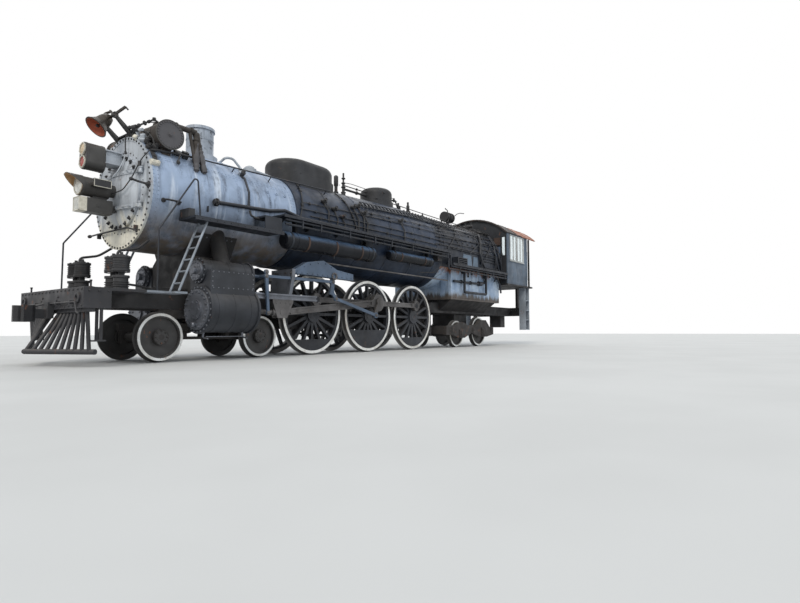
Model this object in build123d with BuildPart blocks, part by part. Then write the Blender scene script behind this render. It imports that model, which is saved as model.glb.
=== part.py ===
from build123d import *
import os
from math import atan2, cos, degrees, radians, sin, sqrt

os.makedirs("parts", exist_ok=True)

# Steam locomotive with a four-wheel leading truck, six coupled wheels and a
# four-wheel trailing truck. All lengths are in mm. Stations run forward from
# the main (second) driving axle, heights run up from the rail head, and Y
# runs to the engine's left.

# Overall length
FRONT_REACH = 8250
REAR_REACH = 10200
X_MAIN = (REAR_REACH - FRONT_REACH) / 2

# Wheels
FLANGE = 29
DRIVER_RADIUS = 990.5
LEADING_RADIUS = 457
TRAILING_RADIUS = 533.5
WHEEL_BACK = 678
TYRE_WIDTH = 140
TYRE_THICKNESS = 75
DRIVER_STATIONS = {"front": 2160, "main": 0, "rear": -2160}
LEADING_STATIONS = {"front": 6130, "rear": 3800}
TRAILING_STATIONS = {"front": -4850, "rear": -6470}
TRAILING_RADII = {"front": LEADING_RADIUS, "rear": TRAILING_RADIUS}
DRIVER_AXLE_RADIUS = 150
TRUCK_AXLE_RADIUS = 90
SPOKES = 16
BEARING_GAP = 0.3

# Cranks and rods: the left crank stands at the top, the right one leads it by
# a quarter turn and stands to the front
THROW = 355.5
CRANK_ANGLES = {1: 90, -1: 0}
MAIN_ROD_LENGTH = 3500
SIDE_ROD_INNER = 860
SIDE_ROD_THICKNESS = 100
PIN_OUTER = SIDE_ROD_INNER + SIDE_ROD_THICKNESS
MAIN_ROD_INNER = 1080
MAIN_ROD_THICKNESS = 100
MAIN_ROD_OUTER = MAIN_ROD_INNER + MAIN_ROD_THICKNESS
RETURN_CRANK_INNER = MAIN_ROD_OUTER + 12
RETURN_CRANK_THICKNESS = 50
SIDE_PIN_RADIUS = 75
MAIN_PIN_RADIUS = 110
ROD_GAP = 1.0
FLUTE_DEPTH = 22

# Cylinders
CYLINDER_SPREAD = 1130
CYLINDER_RADIUS = 450
CYLINDER_FRONT = 5560
CYLINDER_REAR = 4400
CYLINDER_HEIGHT = DRIVER_RADIUS
VALVE_HEIGHT = 1770
VALVE_RADIUS = 230
VALVE_SPREAD = 1060
VALVE_FRONT = 5530
VALVE_REAR = 4350

# Boiler
BOILER_HEIGHT = 3270
SMOKEBOX_RADIUS = 1110
SMOKEBOX_TOP = BOILER_HEIGHT + SMOKEBOX_RADIUS
SMOKEBOX_WALL = 20
SMOKEBOX_FRONT = 6530
SMOKEBOX_REAR = 3000
JACKET_RADIUS_FRONT = 1130
JACKET_RADIUS_REAR = 1270
TAPER_END = -1500
FIREBOX_FRONT = -3300
FIREBOX_REAR = -7480
FIREBOX_JACKET_BOTTOM = BOILER_HEIGHT - 510
FIREBOX_BOTTOM = BOILER_HEIGHT - 1640
FIREBOX_HALF_WIDTH = 1190

# Running boards, from the front one behind the ladder to the one at the firebox
BOARD_OUTER = 1580
BOARD_THICKNESS = 40
FRONT_BOARD_TOP = BOILER_HEIGHT - 520
MAIN_BOARD_TOP = BOILER_HEIGHT - 120
REAR_BOARD_TOP = BOILER_HEIGHT - 470

# Cab
CAB_FRONT = -7500
CAB_SIDE_REAR = -9300
CAB_ROOF_REAR = -REAR_REACH
CAB_HALF_WIDTH = 1570
CAB_FLOOR = BOILER_HEIGHT - 870
EAVES = BOILER_HEIGHT + 1130
ROOF_RISE = 660
ROOF_CROWN = EAVES + ROOF_RISE
CAB_WALL = 40
ROOF_OVERHANG = 30

# Frame
FRAME_INNER = 480
FRAME_OUTER = 610
FRAME_TOP = 1420
FRAME_TAIL_TOP = FIREBOX_BOTTOM - 100
FRAME_TAIL_BOTTOM = FRAME_TAIL_TOP - 350
FRAME_REAR = -REAR_REACH + 300
DECK_HEIGHT = 1300
BEAM_FRONT = FRONT_REACH - 510
BEAM_REAR = BEAM_FRONT - 440
BEAM_BOTTOM = DECK_HEIGHT - 350
DECK_REAR = BEAM_REAR - 600
COUPLER_HEIGHT = 876
DRAWBAR_PIN_RADIUS = 45


def x_at(station):
    return X_MAIN + station


def z_at(height):
    return FLANGE + height


def place(station, y, height):
    return (x_at(station), y, z_at(height))


def save(part, label):
    part.label = label
    export_step(part, f"parts/{label}.step")


def bar(start, end, radius):
    """Add a round bar from start to end, each (station, y, height)."""
    first = Vector(*place(*start))
    span = Vector(*place(*end)) - first
    with BuildSketch(Plane(origin=first, z_dir=span)) as section:
        Circle(radius)
    extrude(section.sketch, amount=span.length)


def pipe(points, bend, radius):
    """Add a pipe through points, each (station, y, height), with round bends."""
    with BuildLine() as route:
        FilletPolyline(*[place(*point) for point in points], radius=bend)
    with BuildSketch(route.line ^ 0) as section:
        Circle(radius)
    sweep(section.sketch, path=route.line)


def block(stations, widths, heights, mode=Mode.ADD):
    """Add a block between two stations, two Y values and two heights."""
    middle = place(sum(stations) / 2, sum(widths) / 2, sum(heights) / 2)
    with Locations(middle):
        Box(*[abs(last - first) for first, last in (stations, widths, heights)], mode=mode)


def drum(stations, y, height, radius, mode=Mode.ADD):
    """Add a cylinder whose axis runs along the engine."""
    rear, front = sorted(stations)
    with BuildSketch(Plane(origin=place(rear, y, height), z_dir=(1, 0, 0))) as section:
        Circle(radius)
    extrude(section.sketch, amount=front - rear, mode=mode)


def cross_drum(station, widths, height, radius, mode=Mode.ADD):
    """Add a cylinder whose axis runs across the engine."""
    right, left = sorted(widths)
    with BuildSketch(Plane(origin=place(station, right, height), z_dir=(0, 1, 0))) as section:
        Circle(radius)
    extrude(section.sketch, amount=left - right, mode=mode)


def post(station, y, heights, radius, mode=Mode.ADD):
    """Add an upright cylinder."""
    low, high = heights
    with BuildSketch(Plane(origin=place(station, y, low))) as section:
        Circle(radius)
    extrude(section.sketch, amount=high - low, mode=mode)


def extrude_outline(plane, points, thickness, mode):
    with BuildSketch(plane) as section:
        with BuildLine():
            Polyline(*points, close=True)
        make_face()
    extrude(section.sketch, amount=thickness, mode=mode)


def side_profile(points, widths, mode=Mode.ADD):
    """Extrude a side-view outline of (station, height) points between two Y values."""
    right, left = sorted(widths)
    plane = Plane(origin=(X_MAIN, left, FLANGE), x_dir=(1, 0, 0), z_dir=(0, -1, 0))
    extrude_outline(plane, points, left - right, mode)


def cross_profile(points, stations, mode=Mode.ADD):
    """Extrude a front-view outline of (y, height) points between two stations."""
    rear, front = sorted(stations)
    plane = Plane(origin=(x_at(rear), 0, FLANGE), x_dir=(0, 1, 0), z_dir=(1, 0, 0))
    extrude_outline(plane, points, front - rear, mode)


def plan_profile(points, heights, mode=Mode.ADD):
    """Extrude a plan-view outline of (station, y) points between two heights."""
    low, high = sorted(heights)
    plane = Plane(origin=(X_MAIN, 0, z_at(low)))
    extrude_outline(plane, points, high - low, mode)


# Wheels

def tread_outline(radius, inner_radius):
    """Points (radius, y) of a tyre's section, from its back face to its front face."""
    back = WHEEL_BACK
    front = WHEEL_BACK + TYRE_WIDTH
    return [
        (inner_radius, back),
        (radius + FLANGE - 5, back),
        (radius + FLANGE, back + 13),
        (radius + 8, back + 30),
        (radius, back + 42),
        (radius - 5, front),
        (inner_radius, front),
    ]


def spin_profile(station, radius, points):
    """Revolve (radius, y) points about a wheel's axle."""
    centre = place(station, 0, radius)
    with BuildSketch(Plane(origin=centre, x_dir=(1, 0, 0), z_dir=(0, 0, 1))) as section:
        with BuildLine():
            Polyline(*points, close=True)
        make_face()
    revolve(section.sketch, axis=Axis(centre, (0, 1, 0)))


def driver_tyres(station):
    outline = tread_outline(DRIVER_RADIUS, DRIVER_RADIUS - TYRE_THICKNESS)
    with BuildPart() as tyres:
        spin_profile(station, DRIVER_RADIUS, outline)
        spin_profile(station, DRIVER_RADIUS, [(radius, -y) for radius, y in outline])
    return tyres.part


HUB_RADIUS = 205
HUB_INNER = 650
HUB_OUTER = 850
CENTRE_RIM_INNER = DRIVER_RADIUS - TYRE_THICKNESS - 70
CENTRE_RIM_FACES = (690, 800)
SPOKE_FACES = (700, 790)
SPOKE_WIDTHS = (84, 62)
CRANK_BOSS_RADIUS = 165
BOSS_WEB_WIDTH = 310


def driver_centre(station, side, pin_radius, weight_angle):
    """One spoked wheel centre with its crank boss, crank pin and balance weight."""
    axle = place(station, 0, DRIVER_RADIUS)
    crank = CRANK_ANGLES[side]
    pin_x = THROW * cos(radians(crank))
    pin_z = THROW * sin(radians(crank))
    rim_outer = DRIVER_RADIUS - TYRE_THICKNESS

    def face_plane(offset):
        return Plane(origin=(axle[0], side * offset, axle[2]), x_dir=(1, 0, 0), z_dir=(0, -1, 0))

    def outward(amount):
        return -side * amount

    with BuildPart() as centre:
        with BuildSketch(face_plane(CENTRE_RIM_FACES[0])) as rim:
            Circle(rim_outer)
            Circle(CENTRE_RIM_INNER, mode=Mode.SUBTRACT)
        extrude(rim.sketch, amount=outward(CENTRE_RIM_FACES[1] - CENTRE_RIM_FACES[0]))
        with BuildSketch(face_plane(SPOKE_FACES[0])) as spokes:
            with PolarLocations(0, SPOKES):
                Polygon(
                    (HUB_RADIUS - 60, -SPOKE_WIDTHS[0] / 2),
                    (CENTRE_RIM_INNER + 10, -SPOKE_WIDTHS[1] / 2),
                    (CENTRE_RIM_INNER + 10, SPOKE_WIDTHS[1] / 2),
                    (HUB_RADIUS - 60, SPOKE_WIDTHS[0] / 2),
                    align=None,
                )
        extrude(spokes.sketch, amount=outward(SPOKE_FACES[1] - SPOKE_FACES[0]))
        with BuildSketch(face_plane(HUB_INNER)) as hub:
            Circle(HUB_RADIUS)
        extrude(hub.sketch, amount=outward(HUB_OUTER - HUB_INNER))
        with BuildSketch(face_plane(SPOKE_FACES[0])) as boss:
            with Locations((pin_x, pin_z)):
                Circle(CRANK_BOSS_RADIUS)
            with Locations((pin_x / 2, pin_z / 2)):
                Rectangle(THROW, BOSS_WEB_WIDTH, rotation=crank)
        extrude(boss.sketch, amount=outward(HUB_OUTER - SPOKE_FACES[0]))
        with BuildSketch(face_plane(CENTRE_RIM_FACES[0])) as weight:
            with BuildLine():
                start = crank + 180 - weight_angle
                arc = CenterArc((0, 0), CENTRE_RIM_INNER + 10, start, 2 * weight_angle)
                Line(arc @ 1, arc @ 0)
            make_face()
        extrude(weight.sketch, amount=outward(CENTRE_RIM_FACES[1] - CENTRE_RIM_FACES[0]))
        with BuildSketch(face_plane(HUB_OUTER)) as pin:
            with Locations((pin_x, pin_z)):
                Circle(pin_radius)
        extrude(pin.sketch, amount=outward(PIN_OUTER - HUB_OUTER))
    return centre.part


def driver_centres(station, pin_radius, weight_angle):
    with BuildPart() as centres:
        for side in (1, -1):
            add(driver_centre(station, side, pin_radius, weight_angle))
        cross_drum(station, (-HUB_INNER, HUB_INNER), DRIVER_RADIUS, DRIVER_AXLE_RADIUS)
    return centres.part


def truck_wheelset(station, radius, axle_end):
    """Two plain rolled wheels on their axle, turned as one profile."""
    rim_inner = radius - 85
    back = WHEEL_BACK
    front = WHEEL_BACK + TYRE_WIDTH
    hub = TRUCK_AXLE_RADIUS + 60
    half = (
        [(0, 0), (TRUCK_AXLE_RADIUS, 0), (TRUCK_AXLE_RADIUS, back - 20), (hub, back - 20)]
        + [(hub, back + 40), (rim_inner, back + 55)]
        + tread_outline(radius, rim_inner)
        + [(rim_inner, back + 85), (hub, back + 70), (hub, front + 15)]
        + [(TRUCK_AXLE_RADIUS, front + 15), (TRUCK_AXLE_RADIUS, axle_end), (0, axle_end)]
    )
    with BuildPart() as wheelset:
        spin_profile(station, radius, half)
        mirror(about=Plane.XZ)
    return wheelset.part


MAIN_DRIVER = "main"
for name, station in DRIVER_STATIONS.items():
    is_main = name == MAIN_DRIVER
    save(driver_tyres(station), f"{name}_driver_tyres")
    pin = MAIN_PIN_RADIUS if is_main else SIDE_PIN_RADIUS
    save(driver_centres(station, pin, 62 if is_main else 42), f"{name}_driver_centres")

LEADING_AXLE_END = WHEEL_BACK + TYRE_WIDTH + 20
TRAILING_AXLE_END = 985
for name, station in LEADING_STATIONS.items():
    save(truck_wheelset(station, LEADING_RADIUS, LEADING_AXLE_END), f"leading_wheelset_{name}")
for name, station in TRAILING_STATIONS.items():
    wheelset = truck_wheelset(station, TRAILING_RADII[name], TRAILING_AXLE_END)
    save(wheelset, f"trailing_wheelset_{name}")


# Side rods, main rods and crossheads

def crank_pin(station, side):
    """Station and height of a crank pin at rest."""
    angle = radians(CRANK_ANGLES[side])
    return station + THROW * cos(angle), DRIVER_RADIUS + THROW * sin(angle)


def shank_outline(start, end, start_depth, end_depth):
    """Sketch a tapered shank between two points on the active plane."""
    first = Vector(start)
    last = Vector(end)
    span = last - first
    across = Vector(0, 1).rotate(Axis.Z, degrees(atan2(span.Y, span.X)))
    with BuildLine() as sides:
        Polyline(
            first + across * start_depth / 2,
            last + across * end_depth / 2,
            last - across * end_depth / 2,
            first - across * start_depth / 2,
            close=True,
        )
    make_face(sides.line.edges())


def rod_outline(start, end, start_eye, end_eye, start_depth, end_depth):
    """Sketch a rod between two pins on the active plane: two eyes and a tapered shank."""
    shank_outline(start, end, start_depth, end_depth)
    with Locations(start):
        Circle(start_eye)
    with Locations(end):
        Circle(end_eye)


def rod_plane(side, inner):
    return Plane(origin=(X_MAIN, side * inner, FLANGE), x_dir=(1, 0, 0), z_dir=(0, -1, 0))


def flute(side, outer, start, end, start_gap, end_gap, width):
    """Cut the long shallow pocket in a rod's outer face, short of both its eyes."""
    first = Vector(start)
    along = (Vector(end) - first).normalized()
    with BuildSketch(rod_plane(side, outer - FLUTE_DEPTH)) as pocket:
        shank_outline(first + along * start_gap, Vector(end) - along * end_gap, width, width)
    extrude(pocket.sketch, amount=-side * FLUTE_DEPTH, mode=Mode.SUBTRACT)


MAIN_EYE = 215
END_EYE = 165
EYE_MARGIN = 60


def side_rods(side):
    main = crank_pin(DRIVER_STATIONS["main"], side)
    ends = [crank_pin(DRIVER_STATIONS[name], side) for name in ("front", "rear")]
    with BuildPart() as rods:
        with BuildSketch(rod_plane(side, SIDE_ROD_INNER)) as section:
            for end in ends:
                rod_outline(main, end, MAIN_EYE, END_EYE, 150, 130)
            with Locations(main):
                Circle(MAIN_PIN_RADIUS + ROD_GAP, mode=Mode.SUBTRACT)
            with Locations(*ends):
                Circle(SIDE_PIN_RADIUS + ROD_GAP, mode=Mode.SUBTRACT)
        extrude(section.sketch, amount=-side * SIDE_ROD_THICKNESS)
        for end in ends:
            flute(side, PIN_OUTER, main, end, MAIN_EYE + EYE_MARGIN, END_EYE + EYE_MARGIN, 80)
    return rods.part


def wrist_pin(side):
    """Station and height of the wrist pin at rest."""
    pin_station, pin_height = crank_pin(DRIVER_STATIONS["main"], side)
    rise = pin_height - CYLINDER_HEIGHT
    return pin_station + sqrt(MAIN_ROD_LENGTH**2 - rise**2), CYLINDER_HEIGHT


WRIST_PIN_RADIUS = 60
PISTON_ROD_RADIUS = 55
PISTON_ROD_REACH = 1500
GUIDE_BOTTOM = CYLINDER_HEIGHT + 285
CROSSHEAD_HALF_LENGTH = 300
CROSSHEAD_CHEEK = 35
CROSSHEAD_INNER = MAIN_ROD_INNER - 12
CROSSHEAD_OUTER = MAIN_ROD_OUTER + 12
RETURN_THROW = 240
BIG_EYE = 240
SMALL_EYE = 140


def return_pin(side):
    """Station and height of the return crank's pin, a quarter turn from the crank."""
    angle = radians(CRANK_ANGLES[side] - 90)
    return (
        DRIVER_STATIONS["main"] + RETURN_THROW * cos(angle),
        DRIVER_RADIUS + RETURN_THROW * sin(angle),
    )


def main_rod(side):
    """Main rod, the round journal through its big end and the return crank on it."""
    big = crank_pin(DRIVER_STATIONS["main"], side)
    small = wrist_pin(side)
    with BuildPart() as rod:
        with BuildSketch(rod_plane(side, MAIN_ROD_INNER)) as section:
            rod_outline(big, small, BIG_EYE, SMALL_EYE, 190, 150)
            with Locations(small):
                Circle(WRIST_PIN_RADIUS + ROD_GAP, mode=Mode.SUBTRACT)
        extrude(section.sketch, amount=-side * MAIN_ROD_THICKNESS)
        flute(side, MAIN_ROD_OUTER, big, small, BIG_EYE + EYE_MARGIN, SMALL_EYE + EYE_MARGIN, 95)
        journal_inner = PIN_OUTER + 10
        with BuildSketch(rod_plane(side, journal_inner)) as journal:
            with Locations(big):
                Circle(MAIN_PIN_RADIUS)
        extrude(journal.sketch, amount=-side * (RETURN_CRANK_INNER - journal_inner))
        with BuildSketch(rod_plane(side, RETURN_CRANK_INNER)) as crank:
            rod_outline(big, return_pin(side), 125, 75, 150, 110)
        extrude(crank.sketch, amount=-side * RETURN_CRANK_THICKNESS)
    return rod.part


def crosshead(side):
    """Crosshead body with its shoe above, its wrist pin and its piston rod."""
    pin_station, pin_height = wrist_pin(side)
    inner = side * (CROSSHEAD_INNER - CROSSHEAD_CHEEK)
    outer = side * (CROSSHEAD_OUTER + CROSSHEAD_CHEEK)
    top = GUIDE_BOTTOM - 1
    outline = [
        (pin_station - 120, pin_height - 130),
        (pin_station + 160, pin_height - 130),
        (pin_station + CROSSHEAD_HALF_LENGTH - 40, pin_height + 130),
        (pin_station + CROSSHEAD_HALF_LENGTH, top - 45),
        (pin_station + CROSSHEAD_HALF_LENGTH, top),
        (pin_station - CROSSHEAD_HALF_LENGTH, top),
        (pin_station - CROSSHEAD_HALF_LENGTH, top - 45),
        (pin_station - CROSSHEAD_HALF_LENGTH + 60, pin_height + 120),
    ]
    with BuildPart() as body:
        side_profile(outline, (inner, outer))
        block(
            (pin_station - CROSSHEAD_HALF_LENGTH - 10, pin_station + 175),
            (side * CROSSHEAD_INNER, side * CROSSHEAD_OUTER),
            (pin_height - 200, pin_height + 165),
            mode=Mode.SUBTRACT,
        )
        cross_drum(pin_station, (inner, outer), pin_height, WRIST_PIN_RADIUS)
        rod_range = (pin_station + 176, pin_station + PISTON_ROD_REACH)
        drum(rod_range, side * CYLINDER_SPREAD, CYLINDER_HEIGHT, PISTON_ROD_RADIUS)
    return body.part


for side, name in ((1, "left"), (-1, "right")):
    save(side_rods(side), f"side_rods_{name}")
    save(main_rod(side), f"main_rod_{name}")
    save(crosshead(side), f"crosshead_{name}")


# Guides: a grooved bar above each crosshead, hung from the cylinder and a yoke

GUIDE_REAR = 2420
GUIDE_TOP = GUIDE_BOTTOM + 130
GUIDE_INNER = MAIN_ROD_INNER - 47
GUIDE_OUTER = MAIN_ROD_OUTER + 47
GUIDE_GROOVE = 30
YOKE_STATION = 3230
YOKE_FRONT = YOKE_STATION + 90
YOKE_TOP = 1990
YOKE_FOOT = 1050
GEAR_PLATE_OUTER = 1340

with BuildPart() as guides:
    block((GUIDE_REAR, CYLINDER_REAR), (GUIDE_INNER, GUIDE_OUTER), (GUIDE_BOTTOM, GUIDE_TOP))
    for edge in (GUIDE_INNER, GUIDE_OUTER):
        block(
            (GUIDE_REAR - 10, CYLINDER_REAR + 10),
            (edge - GUIDE_GROOVE, edge + GUIDE_GROOVE),
            (GUIDE_BOTTOM + 40, GUIDE_TOP - 40),
            mode=Mode.SUBTRACT,
        )
    yoke = [
        (FRAME_OUTER, YOKE_FOOT),
        (FRAME_OUTER, YOKE_TOP),
        (GEAR_PLATE_OUTER, YOKE_TOP),
        (GEAR_PLATE_OUTER, YOKE_TOP - 160),
        (GUIDE_OUTER, GUIDE_TOP - 10),
        (GUIDE_INNER, GUIDE_TOP - 10),
        (FRAME_OUTER + 120, YOKE_FOOT),
    ]
    cross_profile(yoke, (YOKE_STATION, YOKE_FRONT))
    block(
        (YOKE_STATION - 10, YOKE_FRONT + 10),
        (RETURN_CRANK_INNER + 48, GEAR_PLATE_OUTER - 45),
        (VALVE_HEIGHT - 80, VALVE_HEIGHT + 100),
        mode=Mode.SUBTRACT,
    )
    mirror(about=Plane.XZ)
save(guides.part, "crosshead_guides")


# Valve gear: a bracket behind the yoke carries the curved link, whose rods run
# back to the return crank and forward to the valve stem

LINK_STATION = 1950
LINK_HEIGHT = 1790
LINK_RADIUS = 1400
LINK_HALF_WIDTH = 60
LINK_FOOT = (LINK_STATION - 130, LINK_HEIGHT - 420)
GEAR_PLANE = RETURN_CRANK_INNER + RETURN_CRANK_THICKNESS + 8
GEAR_THICKNESS = 45
GEAR_PLATE_THICKNESS = 40
VALVE_STEM_STATION = 4010
VALVE_STEM_RADIUS = 35
LEVER_FOOT = (VALVE_STEM_STATION - 60, 960)


def gear_bracket(widths):
    outline = [
        (YOKE_STATION, YOKE_TOP),
        (YOKE_STATION, YOKE_TOP - 100),
        (1240, YOKE_TOP - 120),
        (1240, YOKE_TOP + 40),
        (1840, YOKE_TOP + 100),
        (2320, YOKE_TOP + 290),
        (2860, YOKE_TOP + 200),
    ]
    side_profile(outline, widths)


def valve_gear_side(side):
    """The static gear of one side: bracket, link, eccentric rod, radius rod and lever."""
    gear_bracket((side * (GEAR_PLATE_OUTER - GEAR_PLATE_THICKNESS), side * GEAR_PLATE_OUTER))
    gear_bracket((side * (GEAR_PLANE - 90), side * (GEAR_PLANE - 90 + GEAR_PLATE_THICKNESS)))
    trunnion = (side * (GEAR_PLANE - 60), side * (GEAR_PLATE_OUTER - 10))
    cross_drum(LINK_STATION, trunnion, LINK_HEIGHT + 130, 55)
    with BuildSketch(rod_plane(side, GEAR_PLANE)) as link:
        with Locations((LINK_STATION + LINK_RADIUS, LINK_HEIGHT)):
            Circle(LINK_RADIUS + LINK_HALF_WIDTH)
            Circle(LINK_RADIUS - LINK_HALF_WIDTH, mode=Mode.SUBTRACT)
        with Locations((LINK_STATION, LINK_HEIGHT)):
            Rectangle(400, 640, mode=Mode.INTERSECT)
        rod_outline((LINK_STATION, LINK_HEIGHT - 280), LINK_FOOT, 60, 60, 90, 80)
    extrude(link.sketch, amount=-side * GEAR_THICKNESS)
    # Rods: start, end, start eye, end eye, start depth, end depth
    radius_rod_start = (LINK_STATION - 20, LINK_HEIGHT)
    stem_pin = (VALVE_STEM_STATION, VALVE_HEIGHT)
    lever_top = (VALVE_STEM_STATION, VALVE_HEIGHT + 90)
    for start, end, start_eye, end_eye, start_depth, end_depth in (
        (return_pin(side), LINK_FOOT, 80, 60, 80, 70),
        (radius_rod_start, stem_pin, 60, 55, 70, 60),
        (lever_top, LEVER_FOOT, 55, 50, 80, 60),
    ):
        with BuildSketch(rod_plane(side, GEAR_PLANE)) as rod:
            rod_outline(start, end, start_eye, end_eye, start_depth, end_depth)
        extrude(rod.sketch, amount=-side * GEAR_THICKNESS)
    stem_link = (side * (VALVE_SPREAD - 40), side * (GEAR_PLANE + 5))
    cross_drum(VALVE_STEM_STATION, stem_link, VALVE_HEIGHT, VALVE_STEM_RADIUS + 5)
    stem = (VALVE_STEM_STATION - 40, VALVE_REAR)
    drum(stem, side * VALVE_SPREAD, VALVE_HEIGHT, VALVE_STEM_RADIUS)


with BuildPart() as valve_gear:
    for side in (1, -1):
        valve_gear_side(side)
save(valve_gear.part, "valve_gear")


# Cylinders with their valve chests, end flanges and heads

END_FLANGE = 28
END_FLANGE_LENGTH = 50
CYLINDER_BLOCK_OUTER = CYLINDER_SPREAD + 330
SADDLE_HALF_WIDTH = 760
HEAD_RADIUS = 400
HEAD_THICKNESS = 45
VALVE_HEAD_THICKNESS = 60

with BuildPart() as cylinders:
    # Bores: rear, front, Y, height, radius
    for rear, front, y, height, radius in (
        (CYLINDER_REAR, CYLINDER_FRONT, CYLINDER_SPREAD, CYLINDER_HEIGHT, CYLINDER_RADIUS),
        (VALVE_REAR, VALVE_FRONT, VALVE_SPREAD, VALVE_HEIGHT, VALVE_RADIUS),
    ):
        drum((rear, front), y, height, radius)
        drum((rear, rear + END_FLANGE_LENGTH), y, height, radius + END_FLANGE)
        drum((front - END_FLANGE_LENGTH, front), y, height, radius + END_FLANGE)
    block(
        (CYLINDER_REAR + 60, CYLINDER_FRONT - 60),
        (SADDLE_HALF_WIDTH, CYLINDER_BLOCK_OUTER),
        (CYLINDER_HEIGHT + 250, VALVE_HEIGHT),
    )
    rod_bore = (CYLINDER_REAR - 200, CYLINDER_FRONT - 120)
    bore_radius = PISTON_ROD_RADIUS + ROD_GAP
    drum(rod_bore, CYLINDER_SPREAD, CYLINDER_HEIGHT, bore_radius, mode=Mode.SUBTRACT)
    mirror(about=Plane.XZ)
save(cylinders.part, "cylinders")

with BuildPart() as heads:
    cylinder_face = CYLINDER_FRONT + HEAD_THICKNESS
    drum((CYLINDER_FRONT, cylinder_face), CYLINDER_SPREAD, CYLINDER_HEIGHT, HEAD_RADIUS)
    drum((cylinder_face, cylinder_face + 30), CYLINDER_SPREAD, CYLINDER_HEIGHT, HEAD_RADIUS / 2)
    valve_face = VALVE_FRONT + VALVE_HEAD_THICKNESS
    drum((VALVE_FRONT, valve_face), VALVE_SPREAD, VALVE_HEIGHT, VALVE_RADIUS - 30)
    drum((valve_face, valve_face + 70), VALVE_SPREAD, VALVE_HEIGHT, VALVE_RADIUS / 3)
    mirror(about=Plane.XZ)
save(heads.part, "cylinder_heads")


# Saddle under the smokebox, with the steam pipes that rise beside it

SADDLE_FRONT = 5480
SADDLE_REAR = 4480
SADDLE_BOTTOM = 830
SADDLE_FOOT_TOP = 1200
SADDLE_SHOULDER = VALVE_HEIGHT + 220
SADDLE_NECK = BOILER_HEIGHT - 1150
SADDLE_TOP = BOILER_HEIGHT - 700
SADDLE_RANGE = (SADDLE_REAR - 20, SADDLE_FRONT + 20)
STEAM_PIPE_STATION = 4950
STEAM_PIPE_RADIUS = 160

with BuildPart() as saddle:
    outline = [
        (0, SADDLE_BOTTOM),
        (FRAME_OUTER + 70, SADDLE_BOTTOM),
        (SADDLE_HALF_WIDTH, SADDLE_FOOT_TOP),
        (SADDLE_HALF_WIDTH, SADDLE_SHOULDER),
        (620, SADDLE_NECK),
        (870, SADDLE_TOP),
        (0, SADDLE_TOP),
    ]
    cross_profile(outline, (SADDLE_REAR, SADDLE_FRONT))
    pipe_foot = (STEAM_PIPE_STATION, VALVE_SPREAD, VALVE_HEIGHT + 30)
    pipe_head = (STEAM_PIPE_STATION, VALVE_SPREAD - 320, BOILER_HEIGHT - 510)
    bar(pipe_foot, pipe_head, STEAM_PIPE_RADIUS)
    block(SADDLE_RANGE, (FRAME_INNER, FRAME_OUTER), (1000, FRAME_TOP), mode=Mode.SUBTRACT)
    drum(SADDLE_RANGE, CYLINDER_SPREAD, CYLINDER_HEIGHT, CYLINDER_RADIUS, mode=Mode.SUBTRACT)
    drum(SADDLE_RANGE, VALVE_SPREAD, VALVE_HEIGHT, VALVE_RADIUS, mode=Mode.SUBTRACT)
    mirror(about=Plane.XZ)
    drum(SADDLE_RANGE, 0, BOILER_HEIGHT, SMOKEBOX_RADIUS, mode=Mode.SUBTRACT)
save(saddle.part, "cylinder_saddle")


# Engine frame: two slab sides joined by cross members, with leaf springs above
# the driving axles

FRAME_FRONT_TOP = 1250
FRAME_BOTTOM = 1000
PEDESTAL_BOTTOM = 620
WINDOW_CUT = (820, 1180)
SPRING_HALF_LENGTH = 560
SPRING_LEAVES = 4
LEAF_THICKNESS = 32
LEAF_STEP = 130
SPRING_BOTTOM = FRAME_TOP + 60

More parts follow.
